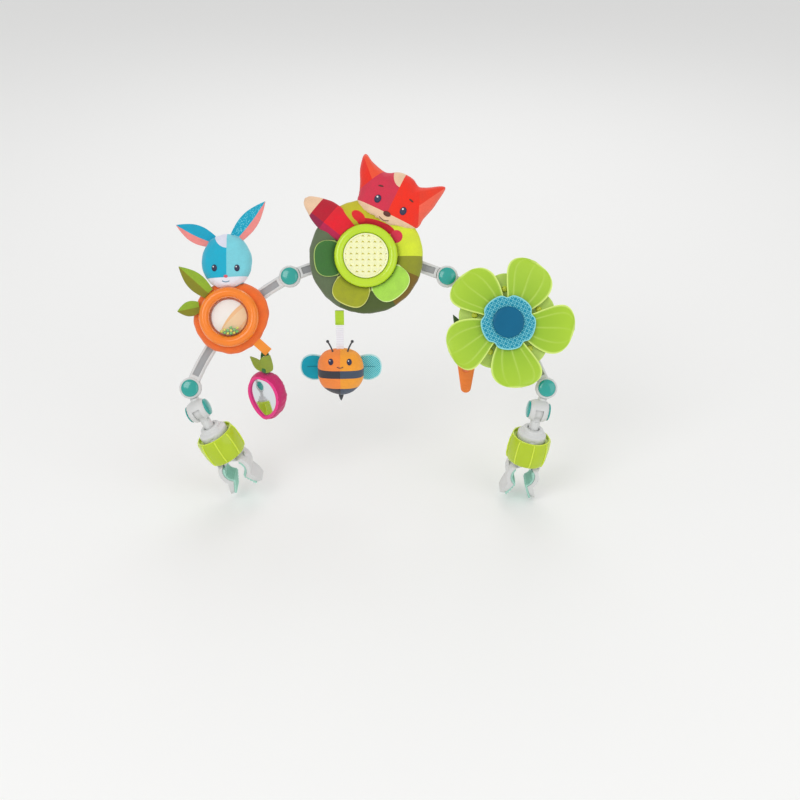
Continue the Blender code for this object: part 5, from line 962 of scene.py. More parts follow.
class ARCH_OT_disc(bpy.types.Operator):
    """Stuff the round cushion and sew on its felt petals and loops"""

    bl_idname = "toyarch.disc"
    bl_label = "Cushion"

    def execute(self, context):
        sizes = context.scene.toyarch_disc
        cloth = self.patchwork(sizes)
        middle = (CUSHION_RADIUS + CUSHION_HOLE) / 2
        half = (CUSHION_RADIUS - CUSHION_HOLE) / 2 - 0.0004
        deselect()
        bpy.ops.mesh.primitive_torus_add(
            major_segments=132, minor_segments=28, major_radius=middle, minor_radius=half
        )
        piece = started("cushion_stuffed")

        def rule(co):
            around = atan2(co.y, co.x)
            out = (sqrt(co.x**2 + co.y**2) - middle) / half
            up = co.z / half
            height = (0.0166 + 0.0138 * up**0.72) if up > 0 else (0.0166 - 0.0092 * (-up) ** 0.6)
            pucker = 0.5 + 0.5 * cos(9 * around + 1.3 * sin(around * 2))
            draw = 0.0011 * pucker * max(out, 0) ** 3
            radius = middle + out * half - draw
            return Vector((radius * cos(around), radius * sin(around), height))

        shaped(piece, rule)
        stuffed(piece, 6.0, 0.0012, 0.02, lambda co: abs(sqrt(co.x**2 + co.y**2) - middle) > half * 0.97)
        rumpled(piece, 0.017, 0.0009, 3.0)
        rumpled(piece, 0.0055, 0.00025, 1.0)
        settled(piece, CUSHION)
        fitted(piece, "centre", "patchwork_fabric", cloth, nodes=("disc_cushion",))
        self.loops()
        self.petals(piece)
        return {"FINISHED"}

    def patchwork(self, sizes):
        """Brushed polyester patches sewn into a ring: each of one dye with a short nap."""
        material, tree, shader, point = blank("brushed patchwork cloth", **{"Sheen Weight": 0.2})
        parts = add_node(tree, "ShaderNodeSeparateXYZ", {0: framed(tree, point, CUSHION)}).outputs
        sides = {0: parts["Y"], 1: parts["X"]}
        turn = add_node(tree, "ShaderNodeMath", sides, operation="ARCTAN2").outputs[0]
        spread = {"Value": turn, 1: -pi, 2: pi, 3: 0.0, 4: 1.0}
        share = add_node(tree, "ShaderNodeMapRange", spread).outputs[0]
        stops = [
            (0.0, sizes.rim), (0.17, sizes.bottom), (0.335, sizes.brown), (0.44, sizes.moss),
            (0.497, sizes.lime), (0.69, sizes.olive), (0.865, sizes.rim),
        ]
        patch = add_node(tree, "ShaderNodeValToRGB", {"Fac": share}, stops)
        patch.color_ramp.interpolation = "CONSTANT"
        base = patch.outputs[0]
        # Red paws let into the cloth under the fox's chin
        paws = (
            ((0.0125, 0.0385), (0.025, 0.0075), -17, "#CE1B2C"),
            ((-0.0097, 0.0508), (0.0098, 0.0062), -38, "#E0262A"),
            ((0.0388, 0.0250), (0.0080, 0.0082), -30, "#D8304C"),
        )
        front = beyond(tree, point, CUSHION, "Z", 0.0)
        for centre, radii, turned, code in paws:
            paw = within(tree, point, CUSHION, centre, radii, radians(turned))
            base = over(tree, both(tree, paw, front), base, code)
        napped(tree, shader, point, base, 0.09, 0.0011)
        return material

    def loops(self):
        """Webbing that ties the cushion to the centre link on both sides."""
        tape = webbing("olive polyester tape", "#6E7A2C", CUSHION)
        for side, name in ((-1, "cushion_loop_left"), (1, "cushion_loop_right")):
            _, radius = link_bow(*CENTRE_LINK_BOW)
            angle = -side * 0.049 / radius
            x = side * 0.049 + 0.0026
            y = radius * (cos(angle) - 1) - 0.0014
            place = CUSHION @ Matrix.Translation((x, y, 0)) @ Matrix.Rotation(angle, 4, "Z")
            strap_loop(name, place, 0.016, 0.0068, "centre", "patchwork_fabric", tape)

    def petals(self, cushion):
        finishes = (
            ("dark_felt", felt("dark green wool felt", "#3C7033", "#A9C36A")),
            ("olive_felt", felt("olive wool felt", "#A0A522", "#D6D877")),
            ("lime_felt", felt("lime wool felt", "#A8DA50", "#DBF2A2")),
        )
        start = BEZEL_CLEAR_RADIUS
        into = CUSHION.inverted()
        for (node, middle, half_span, reach), (slot, finish) in zip(DISC_PETALS, finishes):

            def rule(across, along):
                share = 2 * across - 1
                angle = radians(middle + half_span * share)
                far = start + (reach - start) * max(1 - share**4, 0.12)
                radius = start + (far - start) * along
                flat = (radius * cos(angle), radius * sin(angle))
                height = (into @ on_face(cushion, CUSHION, *flat).translation).z + 0.0011
                height += 0.0009 * along**3 * (0.5 + 0.5 * sin(7 * share + middle))
                return *flat, height

            piece = felt_grid(f"{node}_felt", 36, 14, rule, 0.0014)
            settled(piece, CUSHION)
            fitted(piece, "centre", slot, finish, finish, nodes=(node,))
            width = 2 * radians(half_span) * reach


def link_bow(pitch, sagitta):
    """Centre and radius of a link's arc over its chord."""
    radius = ((pitch / 2) ** 2 + sagitta**2) / (2 * sagitta)
    return Vector((pitch / 2, sagitta - radius)), radius


class ARCH_OT_music(bpy.types.Operator):
    """Turn the bezel, cut the prisms of the lens and finish the case"""

    bl_idname = "toyarch.music"
    bl_label = "Music button"

    def execute(self, context):
        sizes = context.scene.toyarch_disc
        # Polished ABS ring: bright lime with a broad clear highlight round its crown
        glossy = moulded("polished lime ABS", sizes.bezel, 0.2, 0.0015, 0.00001, **{"Coat Weight": 0.35})
        outer, hole, skirt = 0.0405, 0.0292, 0.0327
        middle, half = (outer + hole) / 2, (outer - hole) / 2
        crown = arc_points(middle, half, BEZEL_BASE + 0.0018, 0.0058, 22, 0.75)
        profile = [(outer, BEZEL_BASE)] + crown + [(hole, BEZEL_BASE), (0.0305, BEZEL_BASE)]
        profile += [(0.0305, BEZEL_BASE - 0.0043), (skirt, BEZEL_BASE - 0.0043), (skirt, BEZEL_BASE)]
        bezel = smooth(spun("bezel_ring", profile, BROAD_STEPS, closed=True), 40)
        settled(bezel, CUSHION)
        fitted(bezel, "centre", "lime_plastic", glossy, nodes=("music_bezel",))
        self.lens(sizes)
        grey = moulded("matt grey case polypropylene", "#C9CBCA", 0.45, 0.0009, 0.00004)
        for node in ("music_case", "battery_door"):
            fitted(rigid_copy(node, 0.0003), "centre", "grey_plastic", grey, nodes=(node,))
        # Solder-masked glass laminate: dark green with faint traces
        board, tree, shader, point = blank("green circuit laminate", Roughness=0.4)
        trace = add_node(tree, "ShaderNodeTexBrick", {"Vector": point, "Scale": 160.0, "Mortar Size": 0.03})
        mask = over(tree, trace.outputs["Fac"], "#14532B", "#2F7D46")
        tree.links.new(mask, shader.inputs["Base Color"])
        frame["nodes"]["circuit_board"].data.materials[0] = board
        # Nickel-plated steel cans: brushed round their rims
        steel, tree, shader, point = blank("nickel-plated steel", Metallic=1.0)
        shader.inputs["Base Color"].default_value = colour("#C8C6C0")
        brushed = add_node(tree, "ShaderNodeTexNoise", {"Vector": point, "Scale": 600.0}).outputs["Fac"]
        varied(tree, shader, rough=(brushed, 0.0, 1.0, 0.25, 0.45))
        frame["nodes"]["button_cells"].data.materials[0] = steel
        return {"FINISHED"}

    def lens(self, sizes):
        """A disc of small pyramids inside a plain rim, and the flange below it."""
        # Tinted polycarbonate lit from behind: pale yellow, wet gloss on every prism face
        pane, tree, shader, point = blank(
            "tinted polycarbonate lens", Roughness=0.12,
            **{"Subsurface Weight": 0.25, "Subsurface Scale": 0.004, "Coat Weight": 0.3},
        )
        shader.inputs["Subsurface Radius"].default_value = (1.0, 0.9, 0.4)
        local = framed(tree, point, CUSHION)
        parts = add_node(tree, "ShaderNodeSeparateXYZ", {0: local}).outputs
        depth = add_node(
            tree, "ShaderNodeMapRange", {"Value": parts["Z"], 1: 0.0333, 2: 0.0346, 3: 0.0, 4: 1.0}
        )
        tint = over(tree, depth.outputs[0], "#E3DC66", sizes.lens)
        tree.links.new(tint, shader.inputs["Base Color"])
        deselect()
        half_count = 4
        size = 2 * half_count * sizes.prism
        bpy.ops.mesh.primitive_grid_add(
            x_subdivisions=2 * half_count, y_subdivisions=2 * half_count, size=size, location=(0, 0, 0.0349)
        )
        piece = started("lens_prisms")
        bpy.ops.object.transform_apply(location=True, rotation=False, scale=False)
        edit(piece)
        bpy.ops.mesh.select_mode(type="FACE")
        bpy.ops.mesh.select_all(action="SELECT")
        bpy.ops.mesh.inset(use_individual=True, thickness=sizes.prism * 0.2)
        bpy.ops.mesh.poke(offset=0.0013)
        bpy.ops.mesh.select_all(action="SELECT")
        bpy.ops.mesh.extrude_region_move(TRANSFORM_OT_translate={"value": (0, 0, -0.0020)})
        done()
        tidy_faces(piece)
        deselect()
        bpy.ops.mesh.primitive_cylinder_add(vertices=96, radius=0.0266, depth=0.02, location=(0, 0, 0.0355))
        cutter = bpy.context.object
        cut_with(piece, cutter, "INTERSECT")
        smooth(piece, 10)
        # The lower face of each prism is painted khaki, a painted shade on the faces turned down
        shaded = moulded("prism polycarbonate with painted shade", "#C6BC48", 0.15)
        piece.data.materials.clear()
        for finish in (pane, shaded):
            piece.data.materials.append(finish)
        # Faces turned down take the khaki of the painted shade
        for face in piece.data.polygons:
            face.material_index = 1 if face.normal.y < -0.2 and face.normal.z > 0.2 else 0
        settled(piece, CUSHION)
        fitted(piece, "button", "lens_plastic")
        profile = [
            (0.0, 0.0288), (0.0302, 0.0288), (0.0302, 0.0308), (0.02875, 0.0308), (0.02875, 0.0354),
            (0.0284, 0.0362), (0.0274, 0.0363), (0.0266, 0.0360), (0.0264, 0.0346), (0.0, 0.0340),
        ]
        rim = smooth(spun("lens_rim", profile, 96), 40)
        settled(rim, CUSHION)
        fitted(rim, "button", "lens_plastic", pane, nodes=("lens_button",))


# Fox


FOX = CUSHION @ Matrix.Translation((0.0314, 0.064, 0.0215)) @ Matrix.Rotation(radians(-26), 4, "Z")
TAIL = CUSHION @ aimed((-0.020, 0.025), 140.0, 0.0265)
TAIL_LENGTH = 0.076
# Half width of the tail from root to tip
TAIL_SHARES = ((0.0, 0.66), (0.2, 0.86), (0.42, 1.0), (0.62, 0.92), (0.8, 0.66), (0.93, 0.38), (1.0, 0.12))
# Ears: the seam that sets each off, the seam up its middle, and the cloth right and left of that
FOX_EARS = (
    ((-0.045, 0.002), (-0.026, 0.037), (-0.0355, 0.0195), (-0.061, 0.044), "#F2502F", "#EA2A18"),
    ((0.0225, 0.040), (0.044, -0.0095), (0.033, 0.015), (0.054, 0.0535), "#F4624A", "#EC3A20"),
)


class ARCH_PG_toys(bpy.types.PropertyGroup):
    """Soft animals and their small parts"""

    crimson: bpy.props.StringProperty(name="Fox left", description="Crimson cloth", default="#D3304A")
    red: bpy.props.StringProperty(name="Fox right", description="Bright red cloth", default="#F02C16")
    beige: bpy.props.StringProperty(name="Fox cheeks", description="Beige cloth", default="#EBC6A4")
    turquoise: bpy.props.StringProperty(name="Rabbit left", description="Turquoise cloth", default="#0FACCB")
    aqua: bpy.props.StringProperty(name="Rabbit right", description="Aqua cloth", default="#7ACFDC")
    coral: bpy.props.StringProperty(name="Rabbit ear lining", description="Coral cloth", default="#F08D88")
    navy: bpy.props.StringProperty(name="Eyes", description="Navy thread", default="#232447")
    orange: bpy.props.StringProperty(name="Bee left", description="Orange cloth", default="#F58A3C")
    amber: bpy.props.StringProperty(name="Bee right", description="Amber cloth", default="#F5A02E")
    pink: bpy.props.StringProperty(name="Radish front", description="Pink cloth", default="#EC3C8A")
    magenta: bpy.props.StringProperty(name="Radish side", description="Magenta cloth", default="#C41C66")
    dark: bpy.props.StringProperty(name="Bee bands", description="Charcoal cloth", default="#34353D")
    wing: bpy.props.StringProperty(name="Bee wings", description="Teal felt", default="#00AAC4")


class ARCH_OT_fox(bpy.types.Operator):
    """Stuff the fox's head and tail and sew its face"""

    bl_idname = "toyarch.fox"
    bl_label = "Fox"

    def execute(self, context):
        sizes = context.scene.toyarch_toys
        # Velour of two dyes joined down the middle: soft mottled pile, pale cheeks let in
        velour, tree, shader, point = blank("red velour patchwork", **{"Sheen Weight": 0.2})
        front = beyond(tree, point, FOX, "Z", -0.001)
        right = beyond(tree, point, FOX, "X", 0.0005)
        base = over(tree, right, sizes.crimson, sizes.red)
        for root, side, foot, tip, low, high in FOX_EARS:
            ear = past(tree, point, FOX, root, side)
            base = over(tree, ear, base, over(tree, past(tree, point, FOX, foot, tip), low, high))
        stripe = both(tree, within(tree, point, FOX, (0.0005, 0.047), (0.0155, 0.0215)), outside(tree, right))
        cheeks = past(tree, point, FOX, (0.01, -0.0112), (-0.01, -0.0112))
        for patch in (stripe, cheeks):
            base = over(tree, both(tree, patch, front), base, sizes.beige)
        napped(tree, shader, point, base, 0.10, 0.0011)
        head = self.plush("fox_head_stuffed", "fox_head", 0.0020, 5.0, 0.0014)
        fitted(head, "centre", "red_fabric", velour, nodes=("fox_head",))
        welt("fox_head_seam", head, FOX, 0.0006, "centre", "red_fabric", velour)
        # The same velour in bands across the brush, with a beige tip
        banded, tree, shader, point = blank("banded red velour", **{"Sheen Weight": 0.2})
        lower = beyond(tree, point, TAIL @ Matrix.Rotation(radians(182), 4, "Z"), "X", 0.007)
        base = over(tree, lower, "#E4182B", "#B81C4C")
        tail_patches = ((0.49, "#B9102B", "#931A45"), (0.757, sizes.beige, sizes.beige))
        for share, front_code, lower_code in tail_patches:
            bands = beyond(tree, point, TAIL, "Y", share * TAIL_LENGTH)
            base = over(tree, bands, base, over(tree, lower, front_code, lower_code))
        napped(tree, shader, point, base, 0.10, 0.0011)
        tail = self.brush()
        fitted(tail, "centre", "red_fabric", banded, nodes=("fox_tail",))
        self.face(sizes, head)
        return {"FINISHED"}

    def brush(self):
        """The tail, filled out and then laid on the cushion and against the bezel."""
        deselect()
        bpy.ops.mesh.primitive_uv_sphere_add(segments=56, ring_count=64, radius=1)
        piece = started("fox_tail_stuffed")

        def rule(co):
            along = 0.5 + co.z / 2
            share = between(TAIL_SHARES, along) * min((1 - along) / 0.03, along / 0.02, 1.0) ** 0.5
            round_off = max(sqrt(max(1 - co.z**2, 0.0)), 0.001)
            x = co.x / round_off * share * 0.0195
            z = co.y / round_off * 0.008 * share**0.7
            return Vector((x + 0.0016 * sin(pi * along), TAIL_LENGTH * along, z))

        shaped(piece, rule)
        tidy_faces(piece)
        stuffed(piece, 5.0, 0.0008, 0.01)
        rumpled(piece, 0.012, 0.0009, 2.0)
        settled(piece, TAIL)
        cushion = bpy.data.objects["cushion_stuffed"]
        into = CUSHION.inverted()
        down = CUSHION.to_3x3() @ Vector((0, 0, -1))
        for vertex in piece.data.vertices:
            spot = into @ vertex.co
            reach = sqrt(spot.x**2 + spot.y**2)
            out = max(reach, BEZEL_CLEAR_RADIUS) / reach
            spot = Vector((spot.x * out, spot.y * out, spot.z))
            hit, ground, _, _ = cushion.ray_cast(CUSHION @ Vector((spot.x, spot.y, 0.08)), down)
            if hit and reach < CUSHION_RADIUS - 0.0015:
                spot.z = max(spot.z, (into @ ground).z - 0.0004)
            vertex.co = CUSHION @ spot
        return smooth(piece, 70)

    def plush(self, name, node, voxel, pressure, cap):
        """The node's own shape as filled cloth."""
        piece = copied_node(name, node)
        apply_modifier(piece, "REMESH", mode="VOXEL", voxel_size=voxel, use_smooth_shade=True)
        apply_modifier(piece, "SMOOTH", factor=0.6, iterations=4)
        stuffed(piece, pressure, cap, 0.01)
        rumpled(piece, 0.015, 0.0009, 2.0)
        return piece

    def face(self, sizes, head):
        satin_thread("navy satin thread", sizes.navy)
        satin_thread("white satin thread", "#F4F2EE")
        brown = satin_thread("brown satin thread", "#5A2418")
        sewn_eyes(
            "fox", head, FOX, (0.0180, 0.0), (0.0042, 0.0054, 0.0009), (0.0012, 0.0012, 0.0004),
            (-0.0014, 0.0021, 0.0007), "centre", "red_fabric",
        )
        for side, name in ((-1, "left"), (1, "right")):
            brow = on_face(head, FOX, side * 0.0215, 0.0165) @ Matrix.Rotation(side * radians(-14), 4, "Z")
            stitched_oval(f"fox_brow_{name}", 0.0034, 0.0011, 0.0006, brow, "centre", "red_fabric", brown)
        nose = on_face(head, FOX, 0.001, -0.0122)
        stitched_oval("fox_nose", 0.0050, 0.0032, 0.0012, nose, "centre", "red_fabric", brown)
        sewn_smile("fox", head, FOX, 0.0065, -0.0208, 0.0019, "centre", "red_fabric", brown)


# Rattle and rabbit


RABBIT = RATTLE @ Matrix.Translation((-0.0035, 0.071, 0.017))
POUCH_SEAM = 0.01355


class ARCH_PG_rattle(bpy.types.PropertyGroup):
    """Round rattle"""

    ring: bpy.props.StringProperty(name="Ring", description="Glossy orange ring", default="#F98312")
    pouch: bpy.props.StringProperty(name="Pouch", description="Orange cloth", default="#F0702A")
    tab: bpy.props.StringProperty(name="Tab", description="Orange webbing", default="#F7962F")


class ARCH_OT_rattle(bpy.types.Operator):
    """Stuff the pouch and fit the ring, window, beads, tab and leaves"""

    bl_idname = "toyarch.rattle"
    bl_label = "Rattle"

    def execute(self, context):
        sizes = context.scene.toyarch_rattle
        # Brushed orange cloth: dull pile, darker where it turns away at the seam
        velour, tree, shader, point = blank("brushed orange cloth", **{"Sheen Weight": 0.25})
        napped(tree, shader, point, sizes.pouch, 0.12, 0.0011)
        rings = (
            (0.25, 0.0064), (0.78, 0.0066), (0.90, 0.0074), (0.975, 0.0105),
            (1.0, POUCH_SEAM), (0.975, 0.0168),
            (0.90, 0.0196), (0.80, 0.0206), (0.3, 0.0206),
        )

        def outline(co):
            around = atan2(co.y, co.x)
            radius = sqrt(co.x**2 + co.y**2)
            toward = max(cos(around - radians(28)), 0) ** 4
            wave = 0.0006 * sin(13 * around) * sin(5 * around + 1)
            grown = radius * (1 + (0.005 * toward + wave) / 0.047)
            return Vector((grown * cos(around), grown * sin(around), co.z))

        piece = ring_stack("rattle_pouch_stuffed", 0.0464, rings, 72, outline)
        stuffed(piece, 3.0, 0.0005, 0.01, lambda co: abs(co.z - POUCH_SEAM) < 0.0005)
        rumpled(piece, 0.009, 0.0005, 4.0)
        settled(piece, RATTLE)
        fitted(piece, "arm_left", "orange_fabric", velour, nodes=("rattle_pouch",))
        seam = RATTLE @ Matrix.Translation((0, 0, POUCH_SEAM))
        welt("rattle_pouch_seam", piece, seam, 0.0006, "arm_left", "orange_fabric", velour)
        tape = webbing("orange polyester tape", sizes.tab, RATTLE @ Matrix.Rotation(radians(48), 4, "Z"))
        place = ARCH @ Matrix.Translation((-0.231, 0.029, 0)) @ Matrix.Rotation(atan2(0.145, 0.129), 4, "Z")
        middle = place @ Matrix.Translation((sqrt(0.145**2 + 0.129**2) / 2, 0.018, 0))
        strap_loop("rattle_loop", middle, 0.03, 0.0068, "arm_left", "orange_fabric", tape)
        self.tab(tape)
        self.ring(sizes)
        self.window()
        self.leaves()
        return {"FINISHED"}

    def tab(self, tape):
        """Folded webbing tab at the lower right, fuller in its middle."""
        deselect()
        bpy.ops.mesh.primitive_cube_add(size=1)
        piece = started("rattle_tab")
        shaped(piece, lambda co: Vector((0.0405 + (co.x + 0.5) * 0.0265, co.y * 0.0118, co.z * 0.0022)))
        edit(piece)
        bpy.ops.mesh.subdivide(number_cuts=5)
        done()
        shaped(piece, lambda co: Vector((co.x, co.y, co.z * (1 + 0.35 * sin(pi * (co.x - 0.0405) / 0.0265)))))
        eased(piece, 0.0005, 2, 60)
        turned = Matrix.Rotation(radians(-42), 4, "Z")
        settled(piece, RATTLE @ Matrix.Translation((0, 0, POUCH_SEAM)) @ turned)
        fitted(piece, "arm_left", "orange_fabric", tape)

    def ring(self, sizes):
        # Polished orange ABS: saturated, with a clear highlight round the crown
        glossy = moulded("polished orange ABS", sizes.ring, 0.2, 0.0015, 0.00001, **{"Coat Weight": 0.35})
        middle, half = 0.03175, 0.00675
        crown = arc_points(middle, half, RING_FACE + 0.005, 0.0095, 24, 0.85)
        profile = [(middle + half, RING_FACE)] + crown + [(middle - half, RING_FACE + 0.0024)]
        profile += [(middle - half * 0.4, RING_FACE + 0.0024), (middle - half * 0.4, RING_FACE)]
        ring = smooth(spun("rattle_ring_turned", profile, BROAD_STEPS, closed=True), 40)
        settled(ring, RATTLE)
        fitted(ring, "arm_left", "orange_plastic", glossy, nodes=("rattle_ring",))

    def window(self):
        """Clear domed cup, the printed card behind it and the loose beads."""
        # Clear polystyrene: water-clear, crisp reflections
        clear, tree, shader, point = blank(
            "clear polystyrene", **{"Base Color": colour("#F6F8F8"), "Alpha": 0.07}
        )
        scuff = add_node(tree, "ShaderNodeTexNoise", {"Vector": point, "Scale": 400.0}).outputs["Fac"]
        varied(tree, shader, rough=(scuff, 0.4, 0.7, 0.01, 0.07))
        base, top = RING_FACE + SEAT_GAP, RING_FACE + 0.0105
        profile = [
            (0.0, top - 0.0013), (0.018, top - 0.0016), (0.0225, top - 0.0028), (0.0234, top - 0.0045),
            (0.0234, base), (0.0285, base), (0.0285, base + 0.0018), (0.0247, base + 0.0018),
            (0.0247, top - 0.0040), (0.0238, top - 0.0016), (0.019, top - 0.0003), (0.0, top),
        ]
        pane = smooth(spun("rattle_window_pane", profile, 96), 50)
        settled(pane, RATTLE)
        fitted(pane, "arm_left", "clear_plastic", clear, nodes=("rattle_window",))
        # Coated card: white with pale orange leaf shapes printed flat
        card, tree, shader, point = blank("coated printed card", Roughness=0.6)
        leaf = RATTLE @ Matrix.Rotation(radians(52), 4, "Z")
        lower = within(tree, point, leaf, (0.002, -0.0125), (0.034, 0.0135))
        upper = within(tree, point, leaf, (0.002, -0.0105), (0.031, 0.0075), radians(-6))
        print_colour = over(tree, lower, "#FAFAF6", "#F9C078")
        print_colour = over(tree, upper, print_colour, "#FBD59E")
        fleck = add_node(tree, "ShaderNodeTexNoise", {"Vector": point, "Scale": 500.0}).outputs["Fac"]
        varied(tree, shader, print_colour, tone=(fleck, 0.0, 1.0, 0.97, 1.02))
        disc = ring_stack("rattle_card", 0.0228, ((1.0, 0.0216), (1.0, 0.0219), (0.97, 0.0220)), 96)
        settled(disc, RATTLE)
        fitted(disc, "arm_left", "clear_plastic", card)
        green = ((-0.0060, 0), (0.0022, 0), (0.0100, 0), (-0.0020, 1), (0.0062, 1), (0.0022, 2))
        yellow = ((-0.0100, 0), (-0.0019, 0), (0.0061, 0), (0.0021, 1), (0.0104, 1), (-0.0061, 1))
        self.beads("green", "#6CC65C", green)
        self.beads("yellow", "#E3E14C", yellow)

    def beads(self, name, code, places):
        """Small plastic beads lying at the foot of the cup."""
        finish = moulded(f"{name} bead plastic", code, 0.25, 0.0012, 0.00001)
        made = []
        for index, (x, row) in enumerate(places):
            for layer in range(2):
                deselect()
                bpy.ops.mesh.primitive_ico_sphere_add(subdivisions=2, radius=0.0019)
                bead = started(f"bead_{name}_{index}_{layer}")
                shaped(bead, lambda co: Vector((co.x, co.y, co.z * 0.92)))
                reach = 0.0211 - 0.0037 * row
                low = -sqrt(max(reach**2 - x**2, 0.0))
                settled(bead, RATTLE @ Matrix.Translation((x + 0.001 * layer, low, 0.0242 + 0.0041 * layer)))
                made.append(bead)
        take(made[0])
        for bead in made:
            bead.select_set(True)
        bpy.ops.object.join()
        pile = started(f"beads_{name}")
        smooth(pile, 80)
        fitted(pile, "arm_left", f"{name}_bead", finish, nodes=(f"bead_{name}",))

    def leaves(self):
        face = felt("light olive wool felt", "#8FB02C")
        back = felt("dark olive wool felt", "#86841F")
        inner = 0.0385 + SEAT_GAP + 0.0008
        for index, (length, width, aim, around) in enumerate(
            ((0.051, 0.0225, 138.0, 131.0), (0.0285, 0.0195, 192.0, 161.0))
        ):
            spot = radians(around)
            root = inner + 0.0008
            place = RATTLE @ aimed((root * cos(spot), root * sin(spot)), aim, RING_FACE + 0.0007)
            nodes = ("rattle_leaves",) if index == 0 else ()
            felt_leaf(
                f"rattle_leaf_{index}", length, width, place, "arm_left", "olive_felt", face, back,
                0.0022, 0.0022, nodes, half=back, shares=WIDE_SHARES, hug=0.5 / inner,
            )


class ARCH_OT_rabbit(bpy.types.Operator):
    """Stuff the rabbit's head, fold its ears and sew its face"""

    bl_idname = "toyarch.rabbit"
    bl_label = "Rabbit"

    def execute(self, context):
        sizes = context.scene.toyarch_toys
        # Velour of two blues joined down the middle, with a pale muzzle let in
        velour, tree, shader, point = blank("blue velour patchwork", **{"Sheen Weight": 0.3})
        front = beyond(tree, point, RABBIT, "Z", 0.0)
        right = beyond(tree, point, RABBIT, "X", 0.001)
        base = over(tree, right, sizes.turquoise, sizes.aqua)
        muzzle = past(tree, point, RABBIT, (0.0309, -0.0183), (-0.0267, -0.0217))
        base = over(tree, both(tree, muzzle, front), base, "#E9E9F2")
        brow = within(tree, point, RABBIT, (0.001, 0.0380), (0.0165, 0.0205))
        brow = both(tree, both(tree, brow, outside(tree, right)), front)
        base = over(tree, brow, base, "#DCDDEC")
        bib = past(tree, point, RABBIT, (0.0295, -0.0217), (0.0114, -0.0314))
        base = over(tree, both(tree, bib, front), base, "#1FB4CF")
        napped(tree, shader, point, base, 0.08, 0.0010)
        head = copied_node("rabbit_head_stuffed", "rabbit_head")
        deselect()
        bpy.ops.mesh.primitive_cylinder_add(vertices=64, radius=1, depth=0.08)
        cutter = bpy.context.object
        shaped(cutter, lambda co: Vector((co.x * 0.0327, co.y * 0.0370, co.z)))
        settled(cutter, RABBIT)
        cut_with(head, cutter, "INTERSECT")
        apply_modifier(head, "REMESH", mode="VOXEL", voxel_size=0.0019, use_smooth_shade=True)
        apply_modifier(head, "SMOOTH", factor=0.6, iterations=4)
        stuffed(head, 5.0, 0.0012, 0.01)
        rumpled(head, 0.014, 0.0007, 5.0)
        fitted(head, "arm_left", "turquoise_fabric", velour, nodes=("rabbit_head",))
        welt("rabbit_head_seam", head, RABBIT, 0.0005, "arm_left", "turquoise_fabric", velour)
        self.ears(sizes)
        self.face(head)
        return {"FINISHED"}

    def ears(self, sizes):
        """Each ear is a felt leaf folded along its middle, with a coral lining down its outer side."""
        shell = felt("turquoise ear felt", "#0AA5C6")
        printed, tree, shader, point = blank("dotted turquoise cotton", **{"Sheen Weight": 0.1})
        dots = add_node(tree, "ShaderNodeTexVoronoi", {"Vector": point, "Scale": 1 / 0.0019})
        dot = add_node(tree, "ShaderNodeMath", {0: dots.outputs["Distance"], 1: 0.33}, operation="LESS_THAN")
        napped(tree, shader, point, over(tree, dot.outputs[0], "#0FA3C2", "#6FD0DF"), 0.05, 0.0007, 0.0001)
        lining = felt("coral ear felt", sizes.coral)
        for index, (length, aim, share, finish) in enumerate(
            ((0.052, 156.0, -0.27, shell), (0.062, 51.0, 0.16, printed))
        ):
            root_x = -0.0035 + share * 0.0645
            crown = 0.0365 * sqrt(1 - (2 * share) ** 2)
            place = RATTLE @ aimed((root_x, 0.071 + crown * 0.86), aim, 0.0155)
            turned = -1 if index == 0 else 1

            def rule(across, along):
                half = 0.0235 / 2 * max(between(WIDE_SHARES, along), 0.02)
                side = 2 * across - 1
                rise = 0.004 * along**2 + 0.0032 * abs(side) * (half / 0.01175)
                return side * half, length * along, rise

            ear = felt_grid(f"rabbit_ear_{index}", 16, 34, rule, 0.0016)
            ear.data.materials.clear()
            for part in (finish, lining):
                ear.data.materials.append(part)
            for face in ear.data.polygons:
                half = 0.0235 / 2 * max(between(WIDE_SHARES, face.center.y / length), 0.02)
                face.material_index = 1 if face.center.x * turned > 0.25 * half else 0
            settled(ear, place)
            fitted(ear, "arm_left", "turquoise_fabric")

    def face(self, head):
        body, slot = "arm_left", "turquoise_fabric"
        pink = satin_thread("rose satin thread", "#E2586A")
        teal = satin_thread("teal satin thread", "#11789A")
        sewn_eyes(
            "rabbit", head, RABBIT, (0.0145, -0.0085), (0.0034, 0.0044, 0.0009), (0.0009, 0.0009, 0.0004),
            (-0.0011, 0.0016, 0.0007), body, slot,
        )
        nose = on_face(head, RABBIT, 0.0, -0.0190)
        stitched_oval("rabbit_nose", 0.0026, 0.0019, 0.0010, nose, body, slot, pink)
        sewn_smile("rabbit", head, RABBIT, 0.0045, -0.0262, 0.0014, body, slot, teal)


# Wind flower


class ARCH_PG_flower(bpy.types.PropertyGroup):
    """Wind flower"""

    blades: bpy.props.IntProperty(name="Blades", description="Number of petals", default=5, min=3, max=7)
    leaf: bpy.props.StringProperty(name="Blade", description="Leaf-green plastic", default="#AED32F")
    back: bpy.props.StringProperty(name="Back flower", description="Paler green plastic", default="#C6E268")
    teal: bpy.props.StringProperty(name="Trim ground", description="Printed trim, ground", default="#0F8CA9")
    light: bpy.props.StringProperty(name="Trim lines", description="Printed trim, lines", default="#86D5DC")
    blue: bpy.props.StringProperty(name="Cap", description="Matt blue cap", default="#05648A")


BLADE_FIRST = radians(59)
